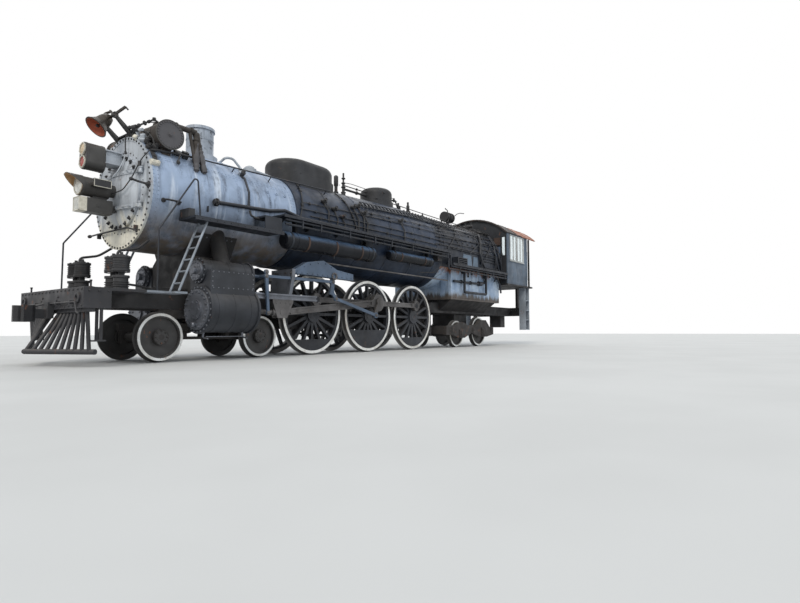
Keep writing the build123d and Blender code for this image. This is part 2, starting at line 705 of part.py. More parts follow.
with BuildPart() as frame:
    outline = [
        (BEAM_REAR, FRAME_BOTTOM),
        (BEAM_REAR, FRAME_FRONT_TOP),
        (DECK_REAR, FRAME_FRONT_TOP),
        (DECK_REAR - 500, FRAME_TOP),
        (-3300, FRAME_TOP),
        (-3700, FRAME_TAIL_TOP),
        (FRAME_REAR + 150, FRAME_TAIL_TOP),
        (FRAME_REAR + 150, FRAME_TAIL_BOTTOM),
        (-3500, FRAME_TAIL_BOTTOM),
        (-3000, PEDESTAL_BOTTOM),
        (2700, PEDESTAL_BOTTOM),
        (3050, FRAME_BOTTOM),
    ]
    side_profile(outline, (FRAME_INNER, FRAME_OUTER))
    for stations in ((350, 1810), (-1810, -350)):
        block(stations, (FRAME_INNER - 10, FRAME_OUTER + 10), WINDOW_CUT, mode=Mode.SUBTRACT)
    for station in DRIVER_STATIONS.values():
        block((station - 60, station + 60), (FRAME_INNER, FRAME_OUTER), (FRAME_TOP - 10, SPRING_BOTTOM + 10))
        for leaf in range(SPRING_LEAVES):
            half = SPRING_HALF_LENGTH - LEAF_STEP * (SPRING_LEAVES - 1 - leaf)
            low = SPRING_BOTTOM + LEAF_THICKNESS * leaf
            block((station - half, station + half), (FRAME_INNER, FRAME_OUTER), (low, low + LEAF_THICKNESS))
        for end in (-1, 1):
            hanger = station + end * (SPRING_HALF_LENGTH - 40)
            spring_top = SPRING_BOTTOM + LEAF_THICKNESS * SPRING_LEAVES
            block((hanger - 20, hanger + 20), (FRAME_INNER + 30, FRAME_OUTER - 30), (FRAME_TOP - 10, spring_top))
    mirror(about=Plane.XZ)
    # Cross members: station range and height range
    for stations, heights in (
        ((BEAM_REAR - 500, BEAM_REAR), (FRAME_BOTTOM, FRAME_FRONT_TOP)),
        ((3000, 3200), (1020, FRAME_TOP)),
        ((1000, 1160), (1180, FRAME_TOP)),
        ((-1160, -1000), (1180, FRAME_TOP)),
        ((-3300, -3100), (900, FRAME_TOP)),
        ((-3700, -3500), (FRAME_TAIL_BOTTOM + 20, FRAME_TAIL_TOP)),
        ((FRAME_REAR, FRAME_REAR + 500), (FRAME_TAIL_BOTTOM, FRAME_TAIL_TOP)),
    ):
        block(stations, (-FRAME_INNER - 10, FRAME_INNER + 10), heights)
    tail = (FRAME_REAR, FRAME_REAR + 260)
    block(tail, (-1150, 1150), (FRAME_TAIL_BOTTOM, FRAME_TAIL_TOP))
    pocket_outer = (FRAME_REAR, FRAME_REAR + 400)
    block(pocket_outer, (-260, 260), (COUPLER_HEIGHT - 176, FRAME_TAIL_BOTTOM + 10))
    pocket = (FRAME_REAR - 10, FRAME_REAR + 330)
    block(pocket, (-160, 160), (COUPLER_HEIGHT - 60, COUPLER_HEIGHT + 60), mode=Mode.SUBTRACT)
    pin_range = (COUPLER_HEIGHT - 200, FRAME_TAIL_TOP + 10)
    post(FRAME_REAR + 180, 0, pin_range, DRAWBAR_PIN_RADIUS, mode=Mode.SUBTRACT)
    bearing = DRIVER_AXLE_RADIUS + BEARING_GAP
    for station in DRIVER_STATIONS.values():
        cross_drum(station, (-700, 700), DRIVER_RADIUS, bearing, mode=Mode.SUBTRACT)
save(frame.part, "engine_frame")


# Pilot: deck, beam, bars and coupler

PILOT_HALF_WIDTH = 1350
with BuildPart() as pilot_beam:
    widths = (-PILOT_HALF_WIDTH, PILOT_HALF_WIDTH)
    block((BEAM_REAR, BEAM_FRONT), widths, (BEAM_BOTTOM, DECK_HEIGHT))
    block((DECK_REAR, BEAM_REAR), widths, (DECK_HEIGHT - 50, DECK_HEIGHT))
save(pilot_beam.part, "pilot_beam")

PILOT_BARS = 9
PILOT_PITCH = 130
PILOT_FOOT = BEAM_FRONT + 290
PILOT_FOOT_HEIGHT = 230
PILOT_SWEEP = 58
PILOT_RAIL = (BEAM_BOTTOM - 60, BEAM_BOTTOM)
with BuildPart() as pilot:
    block((BEAM_FRONT - 200, BEAM_FRONT - 60), (0, PILOT_HALF_WIDTH - 30), PILOT_RAIL)
    for number in range(PILOT_BARS):
        y = PILOT_PITCH * number + 150
        top = (BEAM_FRONT - 130, y, BEAM_BOTTOM - 30)
        bar(top, (PILOT_FOOT - PILOT_SWEEP * number, y, PILOT_FOOT_HEIGHT), 32)
    corner = (PILOT_FOOT - PILOT_SWEEP * PILOT_BARS, PILOT_PITCH * PILOT_BARS + 110, PILOT_FOOT_HEIGHT)
    bar((PILOT_FOOT + 60, 0, PILOT_FOOT_HEIGHT), corner, 45)
    mirror(about=Plane.XZ)
save(pilot.part, "pilot_bars")

COUPLER_HALF_HEIGHT = 140
# Coupler head in plan: distance behind the pulling face, and Y. The guard arm
# is on the left, the knuckle on the right.
COUPLER_PLAN = (
    (270, 80),
    (200, 175),
    (60, 205),
    (40, 150),
    (150, 60),
    (165, -40),
    (60, -55),
    (0, -85),
    (0, -150),
    (60, -190),
    (180, -185),
    (270, -80),
)
with BuildPart() as coupler:
    pocket_height = (COUPLER_HEIGHT - 80, COUPLER_HEIGHT + 200)
    block((BEAM_FRONT, BEAM_FRONT + 100), (-200, 200), pocket_height)
    shank = (BEAM_FRONT, FRONT_REACH - 260)
    block(shank, (-80, 80), (COUPLER_HEIGHT - 80, COUPLER_HEIGHT + 80))
    head = (COUPLER_HEIGHT - COUPLER_HALF_HEIGHT, COUPLER_HEIGHT + COUPLER_HALF_HEIGHT)
    plan_profile([(FRONT_REACH - back, y) for back, y in COUPLER_PLAN], head)
save(coupler.part, "front_coupler")


# Leading truck: inside frames, with springs between the axle boxes

LEADING_PIVOT = (LEADING_STATIONS["front"] + LEADING_STATIONS["rear"]) / 2
LEADING_RAIL = (580, 720)
LEADING_WIDTHS = (430, 560)
with BuildPart() as leading_truck:
    rear = LEADING_STATIONS["rear"] - 200
    front = LEADING_STATIONS["front"] + 200
    block((rear, front), LEADING_WIDTHS, LEADING_RAIL)
    for station in LEADING_STATIONS.values():
        block((station - 150, station + 150), LEADING_WIDTHS, (320, 600))
    block((rear + 400, front - 400), LEADING_WIDTHS, (400, 450))
    for station in (LEADING_PIVOT - 500, LEADING_PIVOT + 500):
        post(station, sum(LEADING_WIDTHS) / 2, (440, 590), 60)
    mirror(about=Plane.XZ)
    block((LEADING_PIVOT - 250, LEADING_PIVOT + 250), (-440, 440), (560, 740))
    post(LEADING_PIVOT, 0, (740, SADDLE_BOTTOM - BEARING_GAP), 220)
    bearing = TRUCK_AXLE_RADIUS + BEARING_GAP
    for station in LEADING_STATIONS.values():
        cross_drum(station, (-600, 600), LEADING_RADIUS, bearing, mode=Mode.SUBTRACT)
save(leading_truck.part, "leading_truck_frame")


# Trailing truck: outside frames with their axle boxes and box lids

TRAILING_PIVOT = -3350
TRAILING_WIDTHS = (890, 1020)
BOX_HALF = 150
with BuildPart() as trailing_truck:
    outline = [
        (-3850, 420),
        (-3850, 720),
        (-4500, 760),
        (-4700, 860),
        (-5000, 860),
        (-5300, 760),
        (-6000, 780),
        (-6250, 960),
        (-6690, 960),
        (-7000, 700),
        (-7300, 700),
        (-7300, 420),
        (-6760, 330),
        (-6180, 330),
        (-5600, 480),
        (-5100, 320),
        (-4600, 320),
        (-4300, 420),
    ]
    side_profile(outline, TRAILING_WIDTHS)
    for name, station in TRAILING_STATIONS.items():
        radius = TRAILING_RADII[name]
        box = (station - BOX_HALF - 10, station + BOX_HALF + 10)
        block(box, (870, 1060), (radius - BOX_HALF, radius + BOX_HALF))
        lid = (station - 100, station + 100)
        block(lid, (1050, 1085), (radius - 110, radius + 100))
    mirror(about=Plane.XZ)
    block((-4150, -3850), (-1020, 1020), (450, 720))
    block((-3900, -3500), (-420, 420), (500, 700))
    post(TRAILING_PIVOT, 0, (500, 900 - BEARING_GAP), 190)
    block((-7300, -7120), (-1020, 1020), (450, 680))
    bearing = TRUCK_AXLE_RADIUS + BEARING_GAP
    reach = TRAILING_AXLE_END + BEARING_GAP
    for name, station in TRAILING_STATIONS.items():
        cross_drum(station, (-reach, reach), TRAILING_RADII[name], bearing, mode=Mode.SUBTRACT)
save(trailing_truck.part, "trailing_truck_frame")


# Boiler

BOILER_AXIS = Axis((X_MAIN, 0, z_at(BOILER_HEIGHT)), (1, 0, 0))


def boiler_section():
    """Plane of the boiler's half section: local X is the station, local Y the radius."""
    return Plane(origin=BOILER_AXIS.position, x_dir=(1, 0, 0), z_dir=(0, -1, 0))


def boiler_radius(station):
    """Jacket radius at a station: a cone from the smokebox joint to the taper's end."""
    share = (SMOKEBOX_REAR - station) / (SMOKEBOX_REAR - TAPER_END)
    share = min(max(share, 0), 1)
    return JACKET_RADIUS_FRONT + share * (JACKET_RADIUS_REAR - JACKET_RADIUS_FRONT)


def boiler_form(front, rear, mode=Mode.ADD):
    """The jacket's outer form between two stations, revolved about the boiler's axis."""
    stations = [front] + [s for s in (TAPER_END,) if rear < s < front] + [rear]
    points = [(front, 0)] + [(s, boiler_radius(s)) for s in stations] + [(rear, 0)]
    with BuildSketch(boiler_section()) as section:
        with BuildLine():
            Polyline(*points, close=True)
        make_face()
    revolve(section.sketch, axis=BOILER_AXIS, mode=mode)


def smokebox_form(mode=Mode.ADD):
    drum((SMOKEBOX_REAR, SMOKEBOX_FRONT), 0, BOILER_HEIGHT, SMOKEBOX_RADIUS, mode=mode)


HEATER_STATION = 6130
HEATER_HEIGHT = BOILER_HEIGHT + 1080
HEATER_RADIUS = 270
HEATER_HALF_LENGTH = 1000
STACK_STATION = 4870
STACK_RADIUS = 290
STACK_BORE = STACK_RADIUS - 40
STACK_TOP = SMOKEBOX_TOP + 690
DOOR_RADIUS = 720
FRONT_PLATE = 30
FRONT_RING = 12
FRONT_RING_WIDTH = 70

with BuildPart() as smokebox:
    drum((SMOKEBOX_REAR, SMOKEBOX_FRONT - FRONT_PLATE), 0, BOILER_HEIGHT, SMOKEBOX_RADIUS)
    inside = (SMOKEBOX_REAR + 40, SMOKEBOX_FRONT)
    drum(inside, 0, BOILER_HEIGHT, SMOKEBOX_RADIUS - SMOKEBOX_WALL, mode=Mode.SUBTRACT)
    heater_seat = HEATER_RADIUS + BEARING_GAP
    heater_reach = (-HEATER_HALF_LENGTH - 200, HEATER_HALF_LENGTH + 200)
    cross_drum(HEATER_STATION, heater_reach, HEATER_HEIGHT, heater_seat, mode=Mode.SUBTRACT)
    post(STACK_STATION, 0, (BOILER_HEIGHT, STACK_TOP), STACK_BORE, mode=Mode.SUBTRACT)
save(smokebox.part, "smokebox")

with BuildPart() as smokebox_front:
    plate_rear = SMOKEBOX_FRONT - FRONT_PLATE
    ring_front = SMOKEBOX_FRONT + FRONT_RING
    ring_inner = SMOKEBOX_RADIUS - FRONT_RING_WIDTH
    drum((plate_rear, ring_front), 0, BOILER_HEIGHT, SMOKEBOX_RADIUS)
    drum((SMOKEBOX_FRONT, ring_front), 0, BOILER_HEIGHT, ring_inner, mode=Mode.SUBTRACT)
    opening = (plate_rear - 10, ring_front)
    drum(opening, 0, BOILER_HEIGHT, DOOR_RADIUS - 40, mode=Mode.SUBTRACT)
save(smokebox_front.part, "smokebox_front")

with BuildPart() as jacket:
    boiler_form(SMOKEBOX_REAR, FIREBOX_FRONT)
save(jacket.part, "boiler_jacket")

with BuildPart() as firebox:
    boiler_form(FIREBOX_FRONT, FIREBOX_REAR)
    # Lower boxes: half width, top, bottom and front station
    for half, top, bottom, front in (
        (JACKET_RADIUS_REAR, BOILER_HEIGHT, FIREBOX_JACKET_BOTTOM, FIREBOX_FRONT - 400),
        (FIREBOX_HALF_WIDTH, FIREBOX_JACKET_BOTTOM, FIREBOX_BOTTOM, FIREBOX_FRONT - 570),
    ):
        block((FIREBOX_REAR, front), (-half, half), (bottom, top))
save(firebox.part, "firebox")

ASHPAN_KNEE = FIREBOX_BOTTOM - 480
ASHPAN_HALF_WIDTH = 470
ASHPAN_REAR = -7300
ASHPAN_FRONT = -4000
HOPPER_REAR = -6150
HOPPER_FRONT = -5250
with BuildPart() as ashpan:
    slope = [
        (-ASHPAN_HALF_WIDTH, ASHPAN_KNEE),
        (ASHPAN_HALF_WIDTH, ASHPAN_KNEE),
        (FIREBOX_HALF_WIDTH - 90, FIREBOX_BOTTOM),
        (-FIREBOX_HALF_WIDTH + 90, FIREBOX_BOTTOM),
    ]
    cross_profile(slope, (ASHPAN_REAR, ASHPAN_FRONT))
    for side in (1, -1):
        block(
            (ASHPAN_REAR - 10, ASHPAN_FRONT + 10),
            (side * (FRAME_INNER - BEARING_GAP), side * (FRAME_OUTER + BEARING_GAP)),
            (FRAME_TAIL_BOTTOM - BEARING_GAP, FRAME_TAIL_TOP + BEARING_GAP),
            mode=Mode.SUBTRACT,
        )
    hopper = (HOPPER_REAR, HOPPER_FRONT)
    block(hopper, (-ASHPAN_HALF_WIDTH, ASHPAN_HALF_WIDTH), (ASHPAN_KNEE - 390, ASHPAN_KNEE))
save(ashpan.part, "ashpan")


# Boiler mountings

with BuildPart() as stack:
    post(STACK_STATION, 0, (BOILER_HEIGHT + 800, STACK_TOP), STACK_RADIUS)
    post(STACK_STATION, 0, (STACK_TOP - 60, STACK_TOP), STACK_RADIUS + 22)
    post(STACK_STATION, 0, (BOILER_HEIGHT + 800, SMOKEBOX_TOP + 45), STACK_RADIUS + 85)
    post(STACK_STATION, 0, (BOILER_HEIGHT + 700, STACK_TOP + 10), STACK_BORE, mode=Mode.SUBTRACT)
    smokebox_form(mode=Mode.SUBTRACT)
save(stack.part, "stack")

HEATER_CAP = 40
MANIFOLD_HEIGHT = HEATER_HEIGHT + 240
MANIFOLD_Y = HEATER_HALF_LENGTH - 100
with BuildPart() as heater:
    inner_face = HEATER_HALF_LENGTH - HEATER_CAP
    cross_drum(HEATER_STATION, (0, inner_face), HEATER_HEIGHT, HEATER_RADIUS)
    cross_drum(HEATER_STATION, (inner_face, HEATER_HALF_LENGTH), HEATER_HEIGHT, HEATER_RADIUS + 15)
    bracket = (HEATER_STATION - 90, HEATER_STATION + 90)
    block(bracket, (800, 860), (BOILER_HEIGHT + 500, HEATER_HEIGHT))
    drum((HEATER_STATION - 600, HEATER_STATION - 60), MANIFOLD_Y, MANIFOLD_HEIGHT, 55)
    # Legs from the manifold down to the smokebox: station at the top and at the foot
    for top_station, foot_station in ((5670, 5570), (5580, 5390)):
        bar((top_station, MANIFOLD_Y, MANIFOLD_HEIGHT), (foot_station, 1010, BOILER_HEIGHT + 480), 34)
    mirror(about=Plane.XZ)
    smokebox_form(mode=Mode.SUBTRACT)
save(heater.part, "feedwater_heater")

SAND_DOME_REAR = 950
SAND_DOME_FRONT = 2880
SAND_DOME_WIDTH = 1280
SAND_DOME_TOP = BOILER_HEIGHT + 1690
DOME_SKIRT = 40
with BuildPart() as sand_dome:
    length = SAND_DOME_FRONT - SAND_DOME_REAR
    middle = (SAND_DOME_FRONT + SAND_DOME_REAR) / 2
    with BuildSketch(Plane(origin=place(middle, 0, BOILER_HEIGHT + 600))) as plan:
        SlotOverall(length, SAND_DOME_WIDTH)
    extrude(plan.sketch, amount=SAND_DOME_TOP - BOILER_HEIGHT - 600)
    fillet(sand_dome.faces().sort_by(Axis.Z)[-1].edges(), 180)
    with BuildSketch(Plane(origin=place(middle, 0, BOILER_HEIGHT + 600))) as skirt:
        SlotOverall(length + 2 * DOME_SKIRT, SAND_DOME_WIDTH + 2 * DOME_SKIRT)
    extrude(skirt.sketch, amount=JACKET_RADIUS_REAR - 600)
    for station in (middle - 420, middle + 420):
        post(station, 0, (SAND_DOME_TOP - 20, SAND_DOME_TOP + 35), 130)
    boiler_form(SMOKEBOX_REAR, TAPER_END, mode=Mode.SUBTRACT)
    smokebox_form(mode=Mode.SUBTRACT)
save(sand_dome.part, "sand_dome")

STEAM_DOME_STATION = -1320
STEAM_DOME_RADIUS = 500
STEAM_DOME_TOP = BOILER_HEIGHT + 1740
with BuildPart() as steam_dome:
    post(STEAM_DOME_STATION, 0, (BOILER_HEIGHT + 800, STEAM_DOME_TOP), STEAM_DOME_RADIUS)
    fillet(steam_dome.faces().sort_by(Axis.Z)[-1].edges(), 170)
    skirt = (BOILER_HEIGHT + 800, BOILER_HEIGHT + JACKET_RADIUS_REAR + 45)
    post(STEAM_DOME_STATION, 0, skirt, STEAM_DOME_RADIUS + DOME_SKIRT)
    boiler_form(SMOKEBOX_REAR, FIREBOX_FRONT, mode=Mode.SUBTRACT)
save(steam_dome.part, "steam_dome")

# Turret, whistle and safety valves: station, Y, stem radius, and the heights of
# the base's top, the body's top and the stem's top above the boiler's axis
FITTINGS = (
    (500, 0, 30, 1310, 1560, 1660),
    (190, 0, 26, 1330, 1640, 1930),
    (-2700, -160, 34, 1320, 1500, 1620),
    (-2820, 160, 34, 1320, 1500, 1620),
)
GENERATOR = (-5850, -5350)
GENERATOR_HEIGHT = BOILER_HEIGHT + 1600
with BuildPart() as fittings:
    for station, y, radius, base, body, stem in FITTINGS:
        for top, width in ((base, 2.4), (body, 1.6), (stem, 1)):
            post(station, y, (BOILER_HEIGHT + 1100, BOILER_HEIGHT + top), width * radius)
    rear, front = GENERATOR
    middle = (rear + front) / 2
    post(middle, 0, (BOILER_HEIGHT + 1100, GENERATOR_HEIGHT - 100), 60)
    drum(GENERATOR, 0, GENERATOR_HEIGHT, 165)
    for start in (rear, middle - 20, front - 40):
        drum((start, start + 40), 0, GENERATOR_HEIGHT, 190)
    boiler_form(SMOKEBOX_REAR, FIREBOX_REAR, mode=Mode.SUBTRACT)
save(fittings.part, "boiler_fittings")


# Smokebox door with the headlight, its number boards, the lower lamp and the
# two-lens signal lamp; it swings about a hinge on the engine's left

DOOR_FACE = SMOKEBOX_FRONT + 50
DISH_RADIUS = DOOR_RADIUS - 60
DISH_HEIGHT = 130
HINGE_Y = DOOR_RADIUS + 70
HINGE_OFFSET = 330


def door_dish(mode=Mode.ADD):
    """The door's dished middle, a shallow cap of a sphere."""
    sphere = (DISH_RADIUS**2 + DISH_HEIGHT**2) / (2 * DISH_HEIGHT)
    crown = DOOR_FACE + DISH_HEIGHT
    half = DISH_RADIUS / 2
    middle = (crown - sphere + sqrt(sphere**2 - half**2), half)
    with BuildSketch(boiler_section()) as section:
        with BuildLine():
            ThreePointArc((DOOR_FACE, DISH_RADIUS), middle, (crown, 0))
            Polyline((crown, 0), (DOOR_FACE, 0), (DOOR_FACE, DISH_RADIUS))
        make_face()
    revolve(section.sketch, axis=BOILER_AXIS, mode=mode)


with BuildPart() as door:
    drum((SMOKEBOX_FRONT + BEARING_GAP, DOOR_FACE), 0, BOILER_HEIGHT, DOOR_RADIUS)
    door_dish()
    for height in (BOILER_HEIGHT - HINGE_OFFSET, BOILER_HEIGHT + HINGE_OFFSET):
        block((DOOR_FACE - 20, DOOR_FACE + 20), (500, HINGE_Y), (height - 30, height + 30))
        post(DOOR_FACE, HINGE_Y, (height - 30, height + 30), 30)
save(door.part, "smokebox_door")

HEADLIGHT_REAR = SMOKEBOX_FRONT + 290
HEADLIGHT_FRONT = HEADLIGHT_REAR + 510
HEADLIGHT_RADIUS = 180
VISOR_RADIUS = HEADLIGHT_RADIUS + 10
VISOR_TIP = HEADLIGHT_FRONT + 220
LAMP_REAR = SMOKEBOX_FRONT + 240
LAMP_FRONT = LAMP_REAR + 585
LAMP_TOP = BOILER_HEIGHT - 220
with BuildPart() as headlight:
    drum((DOOR_FACE, HEADLIGHT_REAR), 0, BOILER_HEIGHT, 120)
    drum((HEADLIGHT_REAR, HEADLIGHT_FRONT), 0, BOILER_HEIGHT, HEADLIGHT_RADIUS)
    drum((HEADLIGHT_FRONT - 40, VISOR_TIP), 0, BOILER_HEIGHT, VISOR_RADIUS)
    drum((HEADLIGHT_FRONT, VISOR_TIP), 0, BOILER_HEIGHT, VISOR_RADIUS - 15, mode=Mode.SUBTRACT)
    visor_cut = [
        (HEADLIGHT_FRONT, BOILER_HEIGHT - VISOR_RADIUS - 10),
        (HEADLIGHT_FRONT, BOILER_HEIGHT - 20),
        (VISOR_TIP, BOILER_HEIGHT + VISOR_RADIUS - 20),
        (VISOR_TIP + 10, BOILER_HEIGHT - VISOR_RADIUS - 10),
    ]
    side_profile(visor_cut, (-VISOR_RADIUS - 10, VISOR_RADIUS + 10), mode=Mode.SUBTRACT)
    board_range = (HEADLIGHT_REAR + 70, HEADLIGHT_FRONT - 130)
    for side in (1, -1):
        arm = (side * (HEADLIGHT_RADIUS - 20), side * 330)
        block(board_range, arm, (BOILER_HEIGHT - 10, BOILER_HEIGHT + 40))
        board = (side * 300, side * 330)
        block(board_range, board, (BOILER_HEIGHT - 40, BOILER_HEIGHT + 110))
    block((LAMP_REAR, LAMP_FRONT), (-130, 130), (LAMP_TOP - 260, LAMP_TOP))
    block((DOOR_FACE, LAMP_REAR + 10), (-60, 60), (LAMP_TOP - 190, LAMP_TOP - 70))
    hanger = (HEADLIGHT_REAR + 30, HEADLIGHT_REAR + 280)
    block(hanger, (-60, 60), (LAMP_TOP - 10, BOILER_HEIGHT - HEADLIGHT_RADIUS + 30))
    door_dish(mode=Mode.SUBTRACT)
save(headlight.part, "headlight")

SIGNAL_REAR = SMOKEBOX_FRONT + 390
SIGNAL_FRONT = SIGNAL_REAR + 350
SIGNAL_HEIGHT = BOILER_HEIGHT + 575
with BuildPart() as signal_light:
    plane = Plane(origin=place(SIGNAL_REAR, 0, SIGNAL_HEIGHT), x_dir=(0, 1, 0), z_dir=(1, 0, 0))
    with BuildSketch(plane) as face:
        SlotOverall(510, 290, rotation=90)
    extrude(face.sketch, amount=SIGNAL_FRONT - SIGNAL_REAR)
    block((DOOR_FACE, SIGNAL_REAR + 5), (-90, 90), (SIGNAL_HEIGHT + 15, SIGNAL_HEIGHT + 135))
    door_dish(mode=Mode.SUBTRACT)
save(signal_light.part, "signal_light")

BELL_STATION = 6840
BELL_HEIGHT = SMOKEBOX_TOP + 310
BELL_SHAFT_RADIUS = 28
YOKE_HALF = 270
BELL_BASE = (SMOKEBOX_TOP - 80, SMOKEBOX_TOP + 50)
BELL_TILT = 42
# Bell wall: distance from the shaft's axis out and along the bell's own axis
BELL_OUTLINE = (
    (0, 40),
    (90, 20),
    (120, -60),
    (140, -200),
    (215, -330),
    (195, -335),
    (120, -200),
    (0, -50),
)
with BuildPart() as bell_bracket:
    block((SMOKEBOX_FRONT - 90, SMOKEBOX_FRONT), (-YOKE_HALF - 40, YOKE_HALF + 40), BELL_BASE)
    for side in (1, -1):
        foot = (SMOKEBOX_FRONT - 40, side * YOKE_HALF, BELL_BASE[1] - 50)
        bar(foot, (BELL_STATION, side * YOKE_HALF, BELL_HEIGHT), 30)
        bearing = (side * (YOKE_HALF - 35), side * (YOKE_HALF + 35))
        cross_drum(BELL_STATION, bearing, BELL_HEIGHT, 55)
    smokebox_form(mode=Mode.SUBTRACT)
    bore = BELL_SHAFT_RADIUS + BEARING_GAP
    cross_drum(BELL_STATION, (-YOKE_HALF - 100, YOKE_HALF + 100), BELL_HEIGHT, bore, mode=Mode.SUBTRACT)
save(bell_bracket.part, "bell_bracket")

with BuildPart() as bell:
    lean = radians(BELL_TILT)
    down = Vector(sin(lean), 0, -cos(lean))
    pivot = Vector(*place(BELL_STATION, 0, BELL_HEIGHT))
    plane = Plane(origin=pivot, x_dir=(0, 1, 0), z_dir=Vector(0, 1, 0).cross(-down))
    with BuildSketch(plane) as section:
        with BuildLine():
            Polyline(*BELL_OUTLINE, close=True)
        make_face()
    revolve(section.sketch, axis=Axis(pivot, down))
    cross_drum(BELL_STATION, (-YOKE_HALF - 34, YOKE_HALF + 34), BELL_HEIGHT, BELL_SHAFT_RADIUS)
    bar((BELL_STATION, 180, BELL_HEIGHT), (BELL_STATION - 240, 180, BELL_HEIGHT + 260), 18)
save(bell.part, "bell")


# Running boards with their brackets and the steps between them

# Boards: rear station, front station, top, inner width, depth of the edge strip
BOARDS = (
    (3770, 5920, FRONT_BOARD_TOP, 1000, 80),
    (-3370, 3765, MAIN_BOARD_TOP, 1110, 60),
    (CAB_FRONT, -3420, REAR_BOARD_TOP, JACKET_RADIUS_REAR, 80),
)
BRACKET_STATIONS = (3600, 2700, 1700, 60, -1350, -3000)
RISER = (3770, 4230)
SLATTED_STEP = (-4480, -3840)
STEP_INNER = 1290
STEP_OUTER = 1500
with BuildPart() as boards:
    for rear, front, top, inner, edge in BOARDS:
        block((rear, front), (inner, BOARD_OUTER), (top - BOARD_THICKNESS, top))
        block((rear, front), (BOARD_OUTER - 15, BOARD_OUTER), (top - edge, top))
    underside = MAIN_BOARD_TOP - BOARD_THICKNESS
    for station in BRACKET_STATIONS:
        triangle = [(1000, underside + 5), (1480, underside + 5), (1150, underside - 160), (1000, underside - 160)]
        cross_profile(triangle, (station - 12, station + 12))
    # The step between the front and main boards
    block(RISER, (1100, STEP_OUTER), (MAIN_BOARD_TOP - 140, MAIN_BOARD_TOP - 100))
    block(RISER, (STEP_OUTER - 20, STEP_OUTER), (FRONT_BOARD_TOP - 5, MAIN_BOARD_TOP - 100))
    # The slatted step between the main and rear boards
    step_top = REAR_BOARD_TOP + 250
    block(SLATTED_STEP, (STEP_INNER, STEP_OUTER), (step_top - BOARD_THICKNESS, step_top))
    for station in SLATTED_STEP:
        end_plate = (station, station + 30) if station == SLATTED_STEP[0] else (station - 30, station)
        block(end_plate, (STEP_INNER, STEP_OUTER), (REAR_BOARD_TOP - 5, step_top))
    for slat in range(3):
        low = REAR_BOARD_TOP + 30 + 60 * slat
        block(SLATTED_STEP, (STEP_OUTER - 20, STEP_OUTER), (low, low + 30))
    mirror(about=Plane.XZ)
    boiler_form(SMOKEBOX_REAR, FIREBOX_REAR, mode=Mode.SUBTRACT)
    smokebox_form(mode=Mode.SUBTRACT)
save(boards.part, "running_boards")


# Handrails: the long rails on the smokebox, the left hoop beside the ladder, and the
# right hoop, which stands further forward and runs in to the smokebox

HOOP_Y = 1250
RIGHT_HOOP_RISE = 200
RAIL_Y = 900
RAIL_FRONT = 5800
RAIL_REAR = 1670
RAIL_FRONT_HEIGHT = BOILER_HEIGHT + 790
RAIL_REAR_HEIGHT = BOILER_HEIGHT + 930
with BuildPart() as handrails:
    rail_start = (RAIL_FRONT, RAIL_Y, RAIL_FRONT_HEIGHT)
    bar(rail_start, (RAIL_REAR, RAIL_Y, RAIL_REAR_HEIGHT), 16)
    for station in (5720, 4600, 3600, 2700, 1800):
        share = (RAIL_FRONT - station) / (RAIL_FRONT - RAIL_REAR)
        rise = RAIL_FRONT_HEIGHT + share * (RAIL_REAR_HEIGHT - RAIL_FRONT_HEIGHT) - BOILER_HEIGHT
        reach = sqrt(RAIL_Y**2 + rise**2)
        shell = SMOKEBOX_RADIUS if station > SMOKEBOX_REAR else boiler_radius(station)
        shrink = (shell + 0.5) / reach
        foot = (station, RAIL_Y * shrink, BOILER_HEIGHT + rise * shrink)
        bar(foot, (station, RAIL_Y, BOILER_HEIGHT + rise), 12)
    mirror(about=Plane.XZ)
    left_hoop = [
        (6460, HOOP_Y, DECK_HEIGHT - 10),
        (6450, HOOP_Y, BOILER_HEIGHT - 830),
        (5690, HOOP_Y, BOILER_HEIGHT + 360),
        (5610, HOOP_Y, FRONT_BOARD_TOP - 10),
    ]
    pipe(left_hoop, 50, 16)
    right_foot = min(SMOKEBOX_FRONT + 560, BEAM_REAR - 100)
    upper_end = SMOKEBOX_FRONT - 280
    shrink = (SMOKEBOX_RADIUS + 0.5) / sqrt(HOOP_Y**2 + RIGHT_HOOP_RISE**2)
    right_hoop = [
        (right_foot, -HOOP_Y, DECK_HEIGHT - 10),
        (right_foot - 10, -HOOP_Y, BOILER_HEIGHT - 925),
        (upper_end, -HOOP_Y, BOILER_HEIGHT + RIGHT_HOOP_RISE),
        (upper_end, -HOOP_Y * shrink, BOILER_HEIGHT + RIGHT_HOOP_RISE * shrink),
    ]
    pipe(right_hoop, 50, 16)
    # The hoops' feet are cut level where they stand on the deck and the board
    for station, y, top in (
        (6460, HOOP_Y, DECK_HEIGHT),
        (5610, HOOP_Y, FRONT_BOARD_TOP),
        (right_foot, -HOOP_Y, DECK_HEIGHT),
    ):
        below = (station - 50, station + 50)
        block(below, (y - 50, y + 50), (top - BOARD_THICKNESS, top), mode=Mode.SUBTRACT)
save(handrails.part, "handrails")


# Air reservoirs hung below the boards: rear, front, Y, height, radius, hangers

RESERVOIRS = (
    (400, 3530, 1270, BOILER_HEIGHT - 630, 200, (3200, 700)),
    (-2430, -270, 1330, BOILER_HEIGHT - 555, 145, (-500, -2200)),
)
with BuildPart() as reservoirs:
    for rear, front, y, height, radius, _ in RESERVOIRS:
        drum((rear, front), y, height, radius)
    chamfer(reservoirs.edges().filter_by(GeomType.CIRCLE), 45)
    for _, _, y, height, radius, hangers in RESERVOIRS:
        for station in hangers:
            top = MAIN_BOARD_TOP - BOARD_THICKNESS
            block((station - 30, station + 30), (y - 60, y + 60), (height + radius / 2, top))
            drum((station - 30, station + 30), y, height, radius + 8)
    mirror(about=Plane.XZ)
save(reservoirs.part, "air_reservoirs")


# Cab

